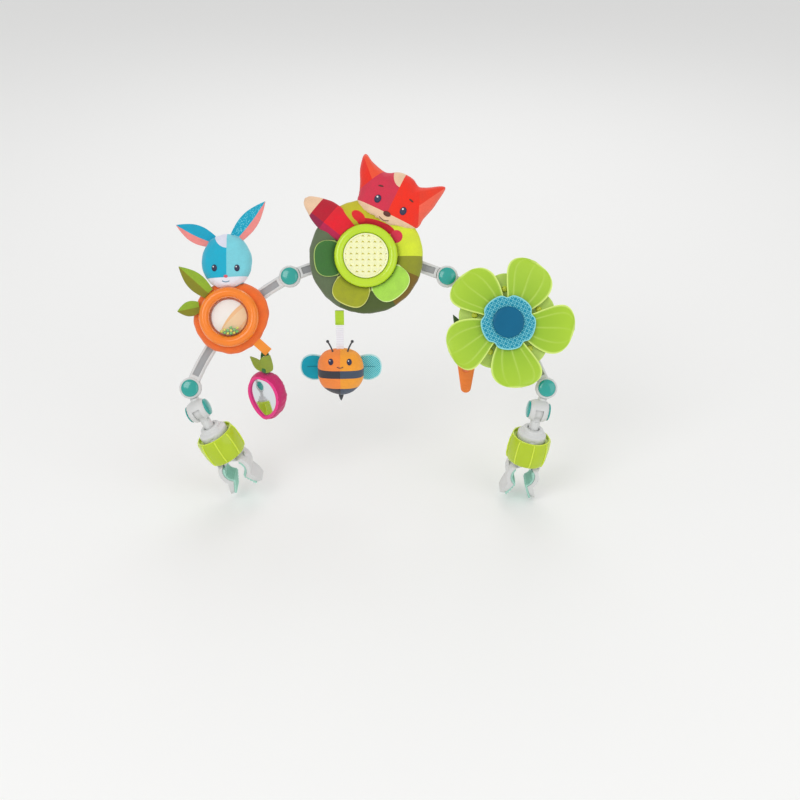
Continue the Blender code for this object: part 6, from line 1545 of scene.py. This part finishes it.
# Blade from root to tip: share of its length with full width, sweep and pitch
BLADE_WIDTH = (
    (0.0, 0.38), (0.18, 0.58), (0.38, 0.81), (0.58, 0.97),
    (0.74, 1.0), (0.86, 0.89), (0.94, 0.66), (0.98, 0.41),
    (1.0, 0.10),
)
BLADE_SWEEP = ((0.0, 0.0), (0.18, 0.1), (0.38, 0.35), (0.58, 0.7), (0.76, 1.0), (0.92, 1.1), (1.0, 1.1))
BLADE_PITCH = ((0.0, 0.3), (0.18, 0.48), (0.38, 0.68), (0.58, 0.88), (0.76, 1.0), (1.0, 1.0))


class ARCH_OT_flower(bpy.types.Operator):
    """Mould the fan, the back flower, the printed trim and the cap"""

    bl_idname = "toyarch.flower"
    bl_label = "Wind flower"

    def execute(self, context):
        sizes = context.scene.toyarch_flower
        # Moulded ABS, satin faces between polished rims; darker near the hub and lighter towards the thin
        # tips, with a painted highlight in pale green on the raised rims and veins
        leaf, tree, shader, point = blank("leaf-green satin ABS", Roughness=0.34)
        parts = add_node(tree, "ShaderNodeSeparateXYZ", {0: framed(tree, point, FLOWER)}).outputs
        flat = add_node(tree, "ShaderNodeCombineXYZ", {"X": parts["X"], "Y": parts["Y"]}).outputs[0]
        out = add_node(tree, "ShaderNodeVectorMath", {0: flat}, operation="LENGTH").outputs["Value"]
        fade = add_node(tree, "ShaderNodeMapRange", {"Value": out, 1: 0.035, 2: 0.088}).outputs[0]
        base = over(tree, fade, "#93BE22", sizes.leaf)
        painted_rim_highlight = add_node(tree, "ShaderNodeAttribute", attribute_name="relief").outputs["Fac"]
        base = over(tree, painted_rim_highlight, base, "#D9F07C")
        flow = add_node(tree, "ShaderNodeTexNoise", {"Vector": point, "Scale": 35.0}).outputs["Fac"]
        grain = add_node(tree, "ShaderNodeTexNoise", {"Vector": point, "Scale": 1100.0}).outputs["Fac"]
        varied(tree, shader, base, tone=(flow, 0.0, 1.0, 0.96, 1.04), bump=(grain, 0.4, 0.00002))
        pale = moulded("pale green satin ABS", sizes.back, 0.36, 0.001, 0.00002)
        self.fan(sizes, leaf)
        self.back(sizes, pale)
        self.trim(sizes)
        return {"FINISHED"}

    def fan(self, sizes, finish):
        length, root, full = 0.0670, 0.018, 0.064
        columns, rows = 64, 52
        base = FAN_BASE + 0.0035 / 4

        def at(co):
            """Across -1 to 1, along 0 to 1 with closer rows at the tip, and the half width there."""
            along = 1 - max(0.5 - co.y, 0.0) ** 1.7
            return 2 * co.x, along, full / 2 * between(BLADE_WIDTH, along)

        def relief(co):
            """How far the rolled rim and the curved veins stand up at a point, 0 to 1."""
            across, along, half = at(co)
            edge = min(half * (1 - abs(across)), length * (1 - along))
            rim = max(0.0, 1 - edge / 0.0030)
            veins = [abs(across - bow * (1 + 0.3 * along) - 0.10 * along) * half for bow in (-0.5, 0.0, 0.5)]
            vein = max(0.0, 1 - min(veins) / 0.0016) * (1 - along) ** 0.6
            return max(min(1.6 * rim, 1.0), 0.5 * vein)

        def rule(co, top):
            across, along, half = at(co)
            rise = 0.0035 * between(BLADE_PITCH, along)
            hollow = -0.0006 * (1 - across**2)
            x = root + length * along - 0.016 * across**2 * along**3 * (1 - along)
            y = 0.006 * between(BLADE_SWEEP, along) + half * across
            height = base + rise * across + (0.0020 + 0.0013 * relief(co) + hollow if top else 0.0)
            return Vector((x, y, height))

        blades = []
        for index in range(sizes.blades):
            sides = []
            for top in (True, False):
                deselect()
                bpy.ops.mesh.primitive_grid_add(x_subdivisions=columns, y_subdivisions=rows, size=1)
                side = started("blade_side")
                # The top's relief also sets where the painted highlight falls on the rims and veins
                marks = side.data.attributes.new("relief", "FLOAT", "POINT")
                for mark, vertex in zip(marks.data, side.data.vertices):
                    mark.value = relief(vertex.co) if top else 0.0
                shaped(side, lambda co: rule(co, top))
                sides.append(side)
            take(sides[0])
            sides[1].select_set(True)
            bpy.ops.object.join()
            blade = started(f"blade_{index}")
            edit(blade)
            bpy.ops.mesh.select_all(action="DESELECT")
            bpy.ops.mesh.select_mode(type="EDGE")
            bpy.ops.mesh.select_non_manifold()
            bpy.ops.mesh.bridge_edge_loops()
            done()
            tidy_faces(blade)
            settled(blade, Matrix.Rotation(BLADE_FIRST + 2 * pi * index / sizes.blades, 4, "Z"))
            blades.append(blade)
        hub_profile = [
            (0.0043, FAN_BASE), (0.0246, FAN_BASE), (0.025, FAN_BASE + 0.0004), (0.025, FAN_TOP - 0.0005),
            (0.0245, FAN_TOP), (0.0043, FAN_TOP),
        ]
        hub = spun("fan_hub", hub_profile, 96, closed=True)
        take(hub)
        for blade in blades:
            blade.select_set(True)
        bpy.ops.object.join()
        fan = started("fan_moulding")
        eased(fan, 0.0005, 2, 50)
        settled(fan, FLOWER)
        fitted(fan, "flower", "leaf_plastic", finish, nodes=("flower_fan",))

    def back(self, sizes, finish):
        """Five round lobes with a rolled edge, and a bump between each pair of blades."""

        def lobes(co):
            around = atan2(co.y, co.x)
            radius = sqrt(co.x**2 + co.y**2)
            lobe = abs(cos(2.5 * (around - BLADE_FIRST - pi / 5))) ** 0.6
            grown = radius * (0.62 + 0.38 * lobe)
            return Vector((grown * cos(around), grown * sin(around), co.z))

        rings = (
            (0.25, PLATE_BASE), (0.985, PLATE_BASE), (1.0, PLATE_BASE + 0.0006), (1.0, PLATE_TOP - 0.0003),
            (0.985, PLATE_TOP + 0.0003), (0.955, PLATE_TOP),
            (0.93, PLATE_TOP - 0.0007), (0.24, PLATE_TOP - 0.0007),
        )
        plate = ring_stack("back_flower_plate", 0.064, rings, 240, lobes)
        smooth(plate, 35)
        settled(plate, FLOWER)
        fitted(plate, "arm_right", "pale_leaf_plastic", finish)
        core = copied_node("back_flower_clip", "flower_back")
        profile = [(0.0126, 0.0091), (0.09, 0.0091), (0.09, 0.0119), (0.0126, 0.0119)]
        cutter = spun("cutter", profile, 60, closed=True)
        settled(cutter, FLOWER)
        cut_with(core, cutter)
        edit(core)
        bpy.ops.mesh.dissolve_limited(angle_limit=radians(1))
        done()
        eased(core, 0.0004)
        fitted(core, "arm_right", "pale_leaf_plastic", finish, nodes=("flower_back",))
        yellow = moulded("yellow green bump ABS", "#D3DE3C", 0.3, 0.001, 0.00001)
        for index in range(sizes.blades):
            around = BLADE_FIRST + pi / 5 + 2 * pi * index / sizes.blades
            rings = ((1.0, -0.0012), (1.0, 0.0006), (0.86, 0.0017), (0.5, 0.0024), (0.15, 0.0026))
            bump = smooth(ring_stack(f"back_flower_bump_{index}", 0.0040, rings, 32), 60)
            spot = Matrix.Translation((0.0435 * cos(around), 0.0435 * sin(around), PLATE_TOP - 0.0006))
            settled(bump, FLOWER @ spot)
            fitted(bump, "arm_right", "pale_leaf_plastic", yellow)

    def trim(self, sizes):
        # Printed polypropylene sheet: a fine light lattice over teal
        printed, tree, shader, point = blank("lattice-printed trim sheet", **{"Specular IOR Level": 0.3})
        total, near = lattice(tree, point, FLOWER @ Matrix.Rotation(radians(20), 4, "Z"), 0.0062)
        line = add_node(tree, "ShaderNodeMath", {0: near, 1: 0.06}, operation="LESS_THAN").outputs[0]
        dot = add_node(tree, "ShaderNodeMath", {0: total, 1: 0.13}, operation="LESS_THAN").outputs[0]
        mask = add_node(tree, "ShaderNodeMath", {0: line, 1: dot}, operation="MAXIMUM").outputs[0]
        tree.links.new(over(tree, mask, sizes.teal, sizes.light), shader.inputs["Base Color"])
        varied(tree, shader, rough=(mask, 0.0, 1.0, 0.36, 0.46))
        edge = moulded("pale teal trim edge", sizes.light, 0.4)
        base = FAN_TOP + SEAT_GAP

        def lobes(co):
            around = atan2(co.y, co.x)
            radius = sqrt(co.x**2 + co.y**2)
            notch = abs(sin(2.5 * (around - radians(56)))) ** 14
            grown = radius * (1 - 0.0035 / 0.0355 * notch)
            return Vector((grown * cos(around), grown * sin(around), co.z))

        rings = (
            (0.3, base), (0.985, base), (1.0, base + 0.0004), (1.0, base + 0.0010), (0.985, base + 0.0014),
            (0.955, base + 0.00135), (0.3, base + 0.0014),
        )
        trim = ring_stack("trim_sheet", 0.0355, rings, 200, lobes)
        smooth(trim, 35)
        trim.data.materials.append(printed)
        trim.data.materials.append(edge)
        for face in trim.data.polygons:
            reach = min(sqrt(trim.data.vertices[v].co.x ** 2 + trim.data.vertices[v].co.y ** 2)
                        for v in face.vertices)
            face.material_index = 1 if reach > 0.0300 else 0
        settled(trim, FLOWER)
        fitted(trim, "flower", "printed_trim", nodes=("flower_trim",))
        # Matt-finished ABS cap: deep blue, soft highlight
        blue = moulded("matt deep blue ABS", sizes.blue, 0.42, 0.0009, 0.00003, **{"Specular IOR Level": 0.2})
        low = base + 0.0014 + SEAT_GAP + 0.0008
        cap_profile = [(0.0, low), (0.0196, low), (0.02, low + 0.0004)]
        cap_profile += [(0.02, low + 0.0014), (0.0197, low + 0.0021), (0.0190, low + 0.0026)]
        cap_profile += [(0.017, low + 0.0029), (0.010, low + 0.003), (0.0, low + 0.003)]
        cap = smooth(spun("hub_cap", cap_profile, 96), 40)
        settled(cap, FLOWER)
        fitted(cap, "flower", "blue_plastic", blue, nodes=("flower_cap",))


# Bee


def smooth_loop(points, count):
    """Evenly taken points round a smooth closed outline."""
    result = []
    total = len(points)
    for index in range(count):
        at = index / count * total
        first, t = int(at) % total, at - int(at)
        p0, p1, p2, p3 = (Vector((*points[(first + step) % total], 0)) for step in (-1, 0, 1, 2))
        result.append(
            0.5 * (
                2 * p1 + (p2 - p0) * t + (2 * p0 - 5 * p1 + 4 * p2 - p3) * t**2
                + (3 * p1 - p0 - 3 * p2 + p3) * t**3
            )
        )
    return result


BEE_TOP = -0.0548
BEE_LENGTH = 0.069
BEE_HALF = 0.02935
BEE_DEPTH = 0.017
# Half width of the bee's body from its brow to its foot
BEE_SHARES = (
    (0.03, 0.48), (0.10, 0.76), (0.24, 0.94), (0.42, 1.0),
    (0.60, 0.985), (0.76, 0.87), (0.89, 0.60), (0.97, 0.27),
)
WING_OUTLINE = (
    (0.0, 0.26), (0.42, 0.45), (0.72, 0.53), (0.93, 0.37),
    (1.0, 0.02), (0.93, -0.33), (0.70, -0.51), (0.42, -0.44),
    (0.0, -0.26),
)
WING_MIDDLE = -0.0908


class ARCH_OT_bee(bpy.types.Operator):
    """Stuff the bee and hang it from its ribbon"""

    bl_idname = "toyarch.bee"
    bl_label = "Bee"

    def execute(self, context):
        sizes = context.scene.toyarch_toys
        # Velour sewn from two halves with a dark band and a dark foot let in
        velour, tree, shader, point = blank("amber velour with dark bands", **{"Sheen Weight": 0.3})
        right = beyond(tree, point, BEE, "X", 0.0)
        base = over(tree, right, sizes.orange, sizes.amber)
        parts = add_node(tree, "ShaderNodeSeparateXYZ", {0: framed(tree, point, BEE)}).outputs
        bow = add_node(tree, "ShaderNodeMath", {0: parts["X"], 1: -4.0}, operation="MULTIPLY").outputs[0]
        bow = add_node(tree, "ShaderNodeMath", {0: bow, 1: parts["X"]}, operation="MULTIPLY").outputs[0]
        level = add_node(tree, "ShaderNodeMath", {0: parts["Y"], 1: bow}, operation="SUBTRACT").outputs[0]
        cloth = over(tree, right, sizes.dark, "#414D60")
        orange = base
        for limit, below in ((-0.0790, cloth), (-0.0902, orange), (-0.1060, cloth)):
            under = add_node(tree, "ShaderNodeMath", {0: level, 1: limit}, operation="LESS_THAN").outputs[0]
            base = over(tree, under, base, below)
        napped(tree, shader, point, base, 0.09, 0.0010)
        body = self.body(velour)
        self.strap()
        self.wings(sizes)
        self.face(body)
        return {"FINISHED"}

    def body(self, velour):
        deselect()
        bpy.ops.mesh.primitive_uv_sphere_add(segments=72, ring_count=48, radius=1)
        piece = started("bee_body_stuffed")

        def rule(co):
            along = 0.5 - co.z / 2
            round_off = sqrt(max(1 - co.z**2, 0.0))
            full = between(BEE_SHARES, min(max(along, 0.03), 0.97))
            edge = min(along / 0.06, (1 - along) / 0.06, 1.0)
            full *= sqrt(max(edge, 0.0))
            scale = 1 / max(round_off, 0.001)
            x, z = co.x * scale, -co.y * scale
            y = BEE_TOP - 0.0002 - BEE_LENGTH * along * 0.97
            return Vector((x * BEE_HALF * full, y, z * BEE_DEPTH * full**0.9))

        shaped(piece, rule)
        tidy_faces(piece)
        stuffed(piece, 4.0, 0.0008, 0.01)
        rumpled(piece, 0.013, 0.0006, 2.0)
        settled(piece, BEE)
        fitted(piece, "bee", "orange_fabric", velour, nodes=("bee_body",))
        welt("bee_side_seam", piece, BEE, 0.0005, "bee", "orange_fabric", velour)
        middle = BEE @ Matrix.Rotation(radians(90), 4, "Y")
        welt("bee_front_seam", piece, middle, 0.00035, "bee", "orange_fabric", velour)
        # Sting of padded dark cloth
        charcoal, tree, shader, point = blank("charcoal velour", **{"Sheen Weight": 0.3})
        napped(tree, shader, point, "#3C3F44", 0.1, 0.0009)
        rings = ((1.0, 0.0), (0.96, -0.002), (0.82, -0.0045), (0.6, -0.007), (0.34, -0.0092), (0.12, -0.0106))
        sting = smooth(ring_stack("bee_sting", 0.0036, rings, 32), 70)
        place = BEE @ Matrix.Translation((0, BEE_TOP - 0.0655, 0)) @ Matrix.Rotation(radians(-90), 4, "X")
        settled(sting, place)
        fitted(sting, "bee", "orange_fabric", charcoal)
        for side in (-1, 1):
            points = []
            for step in range(9):
                share = step / 8
                spot = Vector((side * (0.0095 + 0.0065 * share**1.4), -0.0590 + 0.0165 * share, 0.0035))
                points.append(BEE @ spot)
            stitched_line(f"bee_feeler_{side + 1}", points, 0.0011, "bee", "orange_fabric", charcoal)
            rings = ((0.3, -0.0019), (0.8, -0.0014), (1.0, 0.0), (0.8, 0.0014), (0.3, 0.0019))
            knob = smooth(ring_stack(f"bee_knob_{side + 1}", 0.0021, rings, 20), 80)
            settled(knob, Matrix.Translation(points[-1]))
            fitted(knob, "bee", "orange_fabric", charcoal)
        return piece

    def strap(self):
        """Folded lime tab sewn over the narrow white ribbon."""
        tape = webbing("lime polyester tape", "#B2D52C", BEE)
        ribbon = webbing("white satin ribbon", "#EDECF2", BEE, 0.0016)

        def strip(name, half, top, foot, depth, finish, nodes=()):
            def rule(across, along):
                x = (2 * across - 1) * half
                y = foot + (top - foot) * along
                sway = 0.0005 * sin(3 * pi * along) if name == "bee_ribbon" else 0.0
                return x, y, sway

            piece = felt_grid(name, 8, 28, rule, depth)
            settled(piece, BEE)
            return fitted(piece, "bee", "lime_felt", finish, finish, nodes=nodes)

        strip("bee_tab", 0.0057, -0.0002, -0.0200, 0.0022, tape, ("bee_strap",))
        strip("bee_ribbon", 0.00475, -0.0196, -0.0552, 0.0010, ribbon)
        for level in (-0.0172, -0.0190):
            points = [BEE @ Vector((0.0049 * (step / 6 - 1), level, 0.0013)) for step in range(13)]
            stitched_line(f"bee_tab_seam{level:.4f}", points, 0.00022, "bee", "lime_felt", tape)

    def wings(self, sizes):
        """One piece of felt behind the body, its right half printed."""
        cloth, tree, shader, point = blank("teal wing felt", **{"Sheen Weight": 0.1})
        outline = [(x * 0.054, y * 0.037) for x, y in WING_OUTLINE]
        _, near = lattice(tree, point, BEE @ Matrix.Translation((0, WING_MIDDLE, 0)), 0.0030)
        line = add_node(tree, "ShaderNodeMath", {0: near, 1: 0.16}, operation="LESS_THAN").outputs[0]
        mask = both(tree, line, beyond(tree, point, BEE, "X", 0.028))
        napped(tree, shader, point, over(tree, mask, sizes.wing, "#8FDCDA"), 0.08, 0.0009, 0.0002)
        edge = felt("pale aqua felt edge", "#BDE8EA")
        # Dark teal for the line along each wing's crease: painted shade in the fold
        dark = felt("deep teal felt for painted crease shade", "#027F95")
        for side in (-1, 1):
            deselect()
            bpy.ops.mesh.primitive_circle_add(vertices=len(outline) * 12, radius=1, fill_type="NGON")
            wing = started(f"bee_wing_{'left' if side < 0 else 'right'}")
            count = len(wing.data.vertices)
            loop = smooth_loop(outline, count)
            for vertex, spot in zip(wing.data.vertices, loop):
                vertex.co = Vector((side * spot.x, spot.y, 0.0))
            edit(wing)
            bpy.ops.mesh.inset(thickness=0.0015)
            bpy.ops.mesh.inset(thickness=0.003)
            done()
            edit(wing)
            bpy.ops.mesh.quads_convert_to_tris()
            done()
            apply_modifier(wing, "SOLIDIFY", thickness=0.0015, offset=0.0)
            wing.data.materials.append(cloth)
            wing.data.materials.append(edge)
            border = [Vector((side * spot.x, spot.y, 0)) for spot in loop]
            for face in wing.data.polygons:
                flat = Vector((face.center.x, face.center.y, 0))
                face.material_index = 1 if min((flat - spot).length for spot in border) < 0.0016 else 0

            def waved(co):
                lift = 0.0008 * sin(co.y / 0.009) * min(abs(co.x) / 0.03, 1)
                return Vector((co.x, co.y, co.z + lift))

            shaped(wing, waved)
            tidy_faces(wing)
            smooth(wing, 50)
            settled(wing, BEE @ Matrix.Translation((0, WING_MIDDLE, -0.0183)))
            nodes = ("bee_wings",) if side < 0 else ()
            fitted(wing, "bee", "turquoise_fabric", nodes=nodes)
            # A dark line along the crease: painted shade where the felt folds
            crease = []
            for step in range(7):
                share = step / 6
                spot = Vector((side * (0.030 + 0.015 * share), -0.0898 + 0.0006 * sin(pi * share), 0))
                crease.append(BEE @ (spot + Vector((0, 0, -0.0174))))
            stitched_line(f"bee_crease_{side + 1}", crease, 0.0004, "bee", "turquoise_fabric", dark)

    def face(self, body):
        sewn_eyes(
            "bee", body, BEE, (0.0120, -0.0672), (0.0034, 0.0044, 0.0008), (0.0009, 0.0009, 0.0003),
            (-0.0011, 0.0016, 0.0006), "bee", "orange_fabric",
        )
        thread = bpy.data.materials["navy satin thread"]
        sewn_smile("bee", body, BEE, 0.0040, -0.0748, 0.0015, "bee", "orange_fabric", thread)


# Radish mirror


RADISH_OUTLINE = (
    (0.0, 0.50), (0.25, 0.46), (0.44, 0.28), (0.50, 0.04), (0.42, -0.20), (0.24, -0.40), (0.05, -0.50),
    (-0.05, -0.50), (-0.24, -0.40), (-0.42, -0.20), (-0.50, 0.04), (-0.44, 0.28), (-0.25, 0.46),
)
RADISH_MIDDLE = -0.0566
RADISH_WIDTH = 0.056
RADISH_HEIGHT = 0.068


class ARCH_OT_radish(bpy.types.Operator):
    """Gather the padded radish frame round its mirror and tie on the leaves"""

    bl_idname = "toyarch.radish"
    bl_label = "Radish mirror"

    def execute(self, context):
        sizes = context.scene.toyarch_toys
        self.frame_body(sizes)
        self.glass()
        self.strap()
        self.leaves()
        return {"FINISHED"}

    def frame_body(self, sizes):
        count = 120
        loop = smooth_loop(RADISH_OUTLINE, count)
        deselect()
        bpy.ops.mesh.primitive_torus_add(
            major_segments=count, minor_segments=24, major_radius=1, minor_radius=0.25
        )
        piece = started("radish_frame_stuffed")

        def rule(co):
            around = atan2(co.y, co.x) % (2 * pi)
            spot = loop[int(round(around / (2 * pi) * count)) % count]
            out = (sqrt(co.x**2 + co.y**2) - 1) / 0.25
            up = co.z / 0.25
            share = 0.885 + 0.105 * out
            gather = 0.5 + 0.5 * sin(26 * around + 2 * sin(3 * around))
            side = max(0.0, 1 - abs(up - 0.05) / 0.8) * max(out, 0)
            share -= 0.042 * gather * side
            height = 0.0098 * up * (0.75 + 0.25 * (out < 0))
            return Vector((spot.x * RADISH_WIDTH * share, spot.y * RADISH_HEIGHT * share, height))

        shaped(piece, rule)
        stuffed(piece, 4.0, 0.0007, 0.01)
        rumpled(piece, 0.008, 0.0007, 2.0)
        # Magenta velour, with a lighter pink piping let in round the mirror
        velour, tree, shader, point = blank("magenta velour", **{"Sheen Weight": 0.3})
        napped(tree, shader, point, sizes.magenta, 0.12, 0.0010)
        piping, tree, shader, point = blank("pink cotton piping", **{"Sheen Weight": 0.15})
        napped(tree, shader, point, sizes.pink, 0.06, 0.0008, 0.0002)
        place = RADISH @ Matrix.Translation((0, RADISH_MIDDLE, 0))
        settled(piece, place)
        fitted(piece, "radish", "pink_fabric", velour, nodes=("radish_frame",))
        inner_share = 0.83
        points = [
            Vector((spot.x * RADISH_WIDTH * inner_share, spot.y * RADISH_HEIGHT * inner_share, 0.0086))
            for spot in loop
        ]
        tube = stitched_line(
            "radish_piping", [place @ spot for spot in points + points[:1]], 0.0021,
            "radish", "pink_fabric", piping,
        )
        tidy_faces(tube)
        smooth(tube, 80)
        # Dull lining closes the back of the frame
        lining, tree, shader, point = blank("plum lining cloth", **{"Sheen Weight": 0.1})
        napped(tree, shader, point, "#A83A6C", 0.08, 0.0009, 0.0002)
        back = self.plate("radish_back", loop, 0.90, -0.0070, -0.0056, 0.0004)
        settled(back, place)
        fitted(back, "radish", "pink_fabric", lining)

    def plate(self, name, loop, share, low, high, ease):
        """A flat plate in the radish's outline."""
        deselect()
        bpy.ops.mesh.primitive_circle_add(vertices=len(loop), radius=1, fill_type="NGON")
        piece = started(name)
        for vertex, spot in zip(piece.data.vertices, loop):
            vertex.co = Vector((spot.x * RADISH_WIDTH * share, spot.y * RADISH_HEIGHT * share, low))
        edit(piece)
        bpy.ops.mesh.extrude_region_move(TRANSFORM_OT_translate={"value": (0, 0, high - low)})
        done()
        tidy_faces(piece)
        return eased(piece, ease, 2, 60)

    def glass(self):
        # Silvered acrylic: a near-perfect mirror with a faint warp
        silver, tree, shader, point = blank("silvered acrylic mirror", Metallic=1.0)
        ripple = add_node(tree, "ShaderNodeTexNoise", {"Vector": point, "Scale": 45.0}).outputs["Fac"]
        tone, rough = (ripple, 0.0, 1.0, 0.97, 1.02), (ripple, 0.0, 1.0, 0.04, 0.12)
        varied(tree, shader, "#E2E6EA", tone, rough, bump=(ripple, 0.2, 0.0002))
        loop = smooth_loop(RADISH_OUTLINE, 120)
        piece = self.plate("radish_mirror_plate", loop, 0.775, 0.0065, 0.0082, 0.0004)
        settled(piece, RADISH @ Matrix.Translation((0, RADISH_MIDDLE, 0)))
        fitted(piece, "radish", "mirror", silver, nodes=("radish_mirror",))

    def strap(self):
        tape = webbing("white polyester tape", "#E9E8E4", RADISH)

        def rule(across, along):
            return (2 * across - 1) * 0.004, -0.0140 + 0.0138 * along, 0.0003 * sin(pi * along)

        piece = felt_grid("radish_strap_tape", 6, 12, rule, 0.0012)
        settled(piece, RADISH)
        fitted(piece, "radish", "white_webbing", tape, tape, nodes=("radish_strap",))

    def leaves(self):
        """A gathered tuft with three leaves of felt, olive in front and green behind."""
        olive = felt("olive leaf felt", "#8C9E2E")
        green = felt("dark green leaf felt", "#2F6B38")
        rings = ((0.55, -0.0143), (0.85, -0.0150), (1.0, -0.0175), (0.95, -0.0205), (0.6, -0.0222))

        def gathered(co):
            around = atan2(co.y, co.x)
            radius = sqrt(co.x**2 + co.y**2) * (1 + 0.05 * sin(9 * around))
            return Vector((radius * cos(around), radius * sin(around), co.z))

        tuft = smooth(ring_stack("radish_tuft", 0.0063, rings, 72, gathered), 70)
        settled(tuft, RADISH @ Matrix.Rotation(radians(-90), 4, "X"))
        fitted(tuft, "radish", "olive_felt", green, nodes=("radish_leaves",))
        rows = (
            (146, 0.027, 0.015, 0.35, 0.0016),
            (108, 0.031, 0.016, -0.8, -0.0050),
            (66, 0.029, 0.022, 0.55, 0.0016),
        )
        for index, (aim, length, width, level, curl) in enumerate(rows):
            place = RADISH @ aimed((0, -0.0191), aim, 0.0065 * level)
            face = green if index == 1 else olive
            felt_leaf(
                f"radish_leaf_{index}", length, width, place, "radish", "olive_felt",
                face, green, 0.0012, curl,
            )


# Carrot teether


class ARCH_OT_carrot(bpy.types.Operator):
    """Mould the teether and hang it from its webbing with its felt leaves"""

    bl_idname = "toyarch.carrot"
    bl_label = "Carrot teether"

    def execute(self, context):
        # Soft-touch food-safe TPE: even satin skin, faint orange-peel
        soft = moulded("orange soft-touch TPE", "#F07F2A", 0.5, 0.0012, 0.00008, 0.05)
        body = copied_node("carrot_teether_shell", "carrot_teether")
        apply_modifier(body, "REMESH", mode="VOXEL", voxel_size=0.0007, use_smooth_shade=True)
        apply_modifier(body, "SMOOTH", factor=0.7, iterations=6)
        fitted(body, "carrot", "orange_plastic", soft, nodes=("carrot_teether",))
        self.leaves()
        self.strap()
        return {"FINISHED"}

    def leaves(self):
        green = felt("dark moss felt", "#3E5B2B")
        pale = felt("moss felt edge", "#5E7C38")
        tape = webbing("green polyester tape", "#4C6B30", CARROT)

        def stalk(across, along):
            return (2 * across - 1) * 0.0035, -0.0413 + 0.0411 * along, 0.0

        piece = felt_grid("carrot_stalk", 6, 30, stalk, 0.0030)
        settled(piece, CARROT)
        fitted(piece, "carrot", "dark_felt", tape, tape, nodes=("carrot_leaves",))
        rings = ((0.9, -0.0381), (1.0, -0.0388), (1.0, -0.0406), (0.92, -0.0411))
        collar = smooth(ring_stack("carrot_leaf_collar", 0.0097, rings, 64), 60)
        settled(collar, CARROT @ Matrix.Rotation(radians(-90), 4, "X"))
        fitted(collar, "carrot", "dark_felt", green)
        aims = (118, 102, 84, 66, 28, 150)
        lengths = (36, 42, 40, 34, 26, 26)
        widths = (12, 13, 17, 12, 13, 13)
        levels = (1.1, 1.1, 2.1, 2.1, 3.1, 3.1)
        for index, (aim, length, width, level) in enumerate(zip(aims, lengths, widths, levels)):
            side = -1 if index % 2 == 0 else 1
            spot = (0.0035 * cos(radians(aim)), -0.0409 + 0.0004 * index)
            place = CARROT @ Matrix.Translation((0, 0, side * 0.0016 * level))
            if side < 0:
                place = place @ Matrix.Rotation(pi, 4, "Y")
                aim, spot = 180 - aim, (-spot[0], spot[1])
            place = place @ aimed(spot, aim)
            felt_leaf(
                f"carrot_leaf_{index}", length / 1000, width / 1000, place,
                "carrot", "dark_felt", green, pale,
                0.0016, 0.0032, (), 0.0012,
            )

    def strap(self):
        tape = webbing("white cotton webbing", "#ECEBE6", CARROT)
        place = ARCH @ Matrix.Translation((0.102, 0.174, 0)) @ Matrix.Rotation(atan2(-0.145, 0.129), 4, "Z")
        chord = place @ Matrix.Translation((0.0275, 0, 0))
        offset = self.bow(0.0275)
        middle = chord @ Matrix.Translation((0, offset[0], 0)) @ Matrix.Rotation(offset[1], 4, "Z")
        strap_loop(
            "carrot_strap_loop", middle, 0.011, 0.0066, "arm_right", "white_webbing", tape, ("carrot_strap",)
        )

        def tail(across, along):
            return (2 * across - 1) * 0.0055, 0.0019 + 0.0281 * along, 0.0

        piece = felt_grid("carrot_strap_tail", 6, 16, tail, 0.0022)
        settled(piece, CARROT)
        fitted(piece, "arm_right", "white_webbing", tape, tape)

    def bow(self, at):
        """Rise and slope of the right arm's bow at a place along its chord."""
        centre, radius = link_bow(*ARM_BOW)
        half = ARM_BOW[0] / 2
        return sqrt(radius**2 - (half - at) ** 2) + centre.y, (half - at) / radius


# Panel and order of work


class ARCH_PT_panel(bpy.types.Panel):
    """Every step of the toy arch, in order"""

    bl_idname = "ARCH_PT_panel"
    bl_label = "Toy arch"
    bl_space_type = "VIEW_3D"
    bl_region_type = "UI"
    bl_category = "Toy arch"

    def draw(self, context):
        for step in STEPS:
            self.layout.operator(step.bl_idname)
        for group in GROUPS:
            sizes = getattr(context.scene, group)
            box = self.layout.box()
            for name in sizes.bl_rna.properties.keys():
                if name not in ("rna_type", "name"):
                    box.prop(sizes, name)


GROUPS = {
    "toyarch_studio": ARCH_PG_studio,
    "toyarch_frame": ARCH_PG_frame,
    "toyarch_disc": ARCH_PG_disc,
    "toyarch_toys": ARCH_PG_toys,
    "toyarch_rattle": ARCH_PG_rattle,
    "toyarch_flower": ARCH_PG_flower,
}
STEPS = (
    ARCH_OT_links, ARCH_OT_caps, ARCH_OT_disc, ARCH_OT_music, ARCH_OT_fox, ARCH_OT_rattle, ARCH_OT_rabbit,
    ARCH_OT_flower, ARCH_OT_bee, ARCH_OT_radish, ARCH_OT_carrot, ARCH_OT_studio,
)


def register():
    for part in (*GROUPS.values(), *STEPS, ARCH_PT_panel):
        bpy.utils.register_class(part)
    for name, group in GROUPS.items():
        setattr(bpy.types.Scene, name, bpy.props.PointerProperty(type=group))


def unregister():
    for name in GROUPS:
        delattr(bpy.types.Scene, name)
    for part in (ARCH_PT_panel, *reversed(STEPS), *GROUPS.values()):
        bpy.utils.unregister_class(part)


def main():
    register()
    bpy.ops.toyarch.links()
    bpy.ops.toyarch.caps()
    bpy.ops.toyarch.disc()
    bpy.ops.toyarch.music()
    bpy.ops.toyarch.fox()
    bpy.ops.toyarch.rattle()
    bpy.ops.toyarch.rabbit()
    bpy.ops.toyarch.flower()
    bpy.ops.toyarch.bee()
    bpy.ops.toyarch.radish()
    bpy.ops.toyarch.carrot()
    bpy.ops.toyarch.studio()


if __name__ == "__main__":
    main()
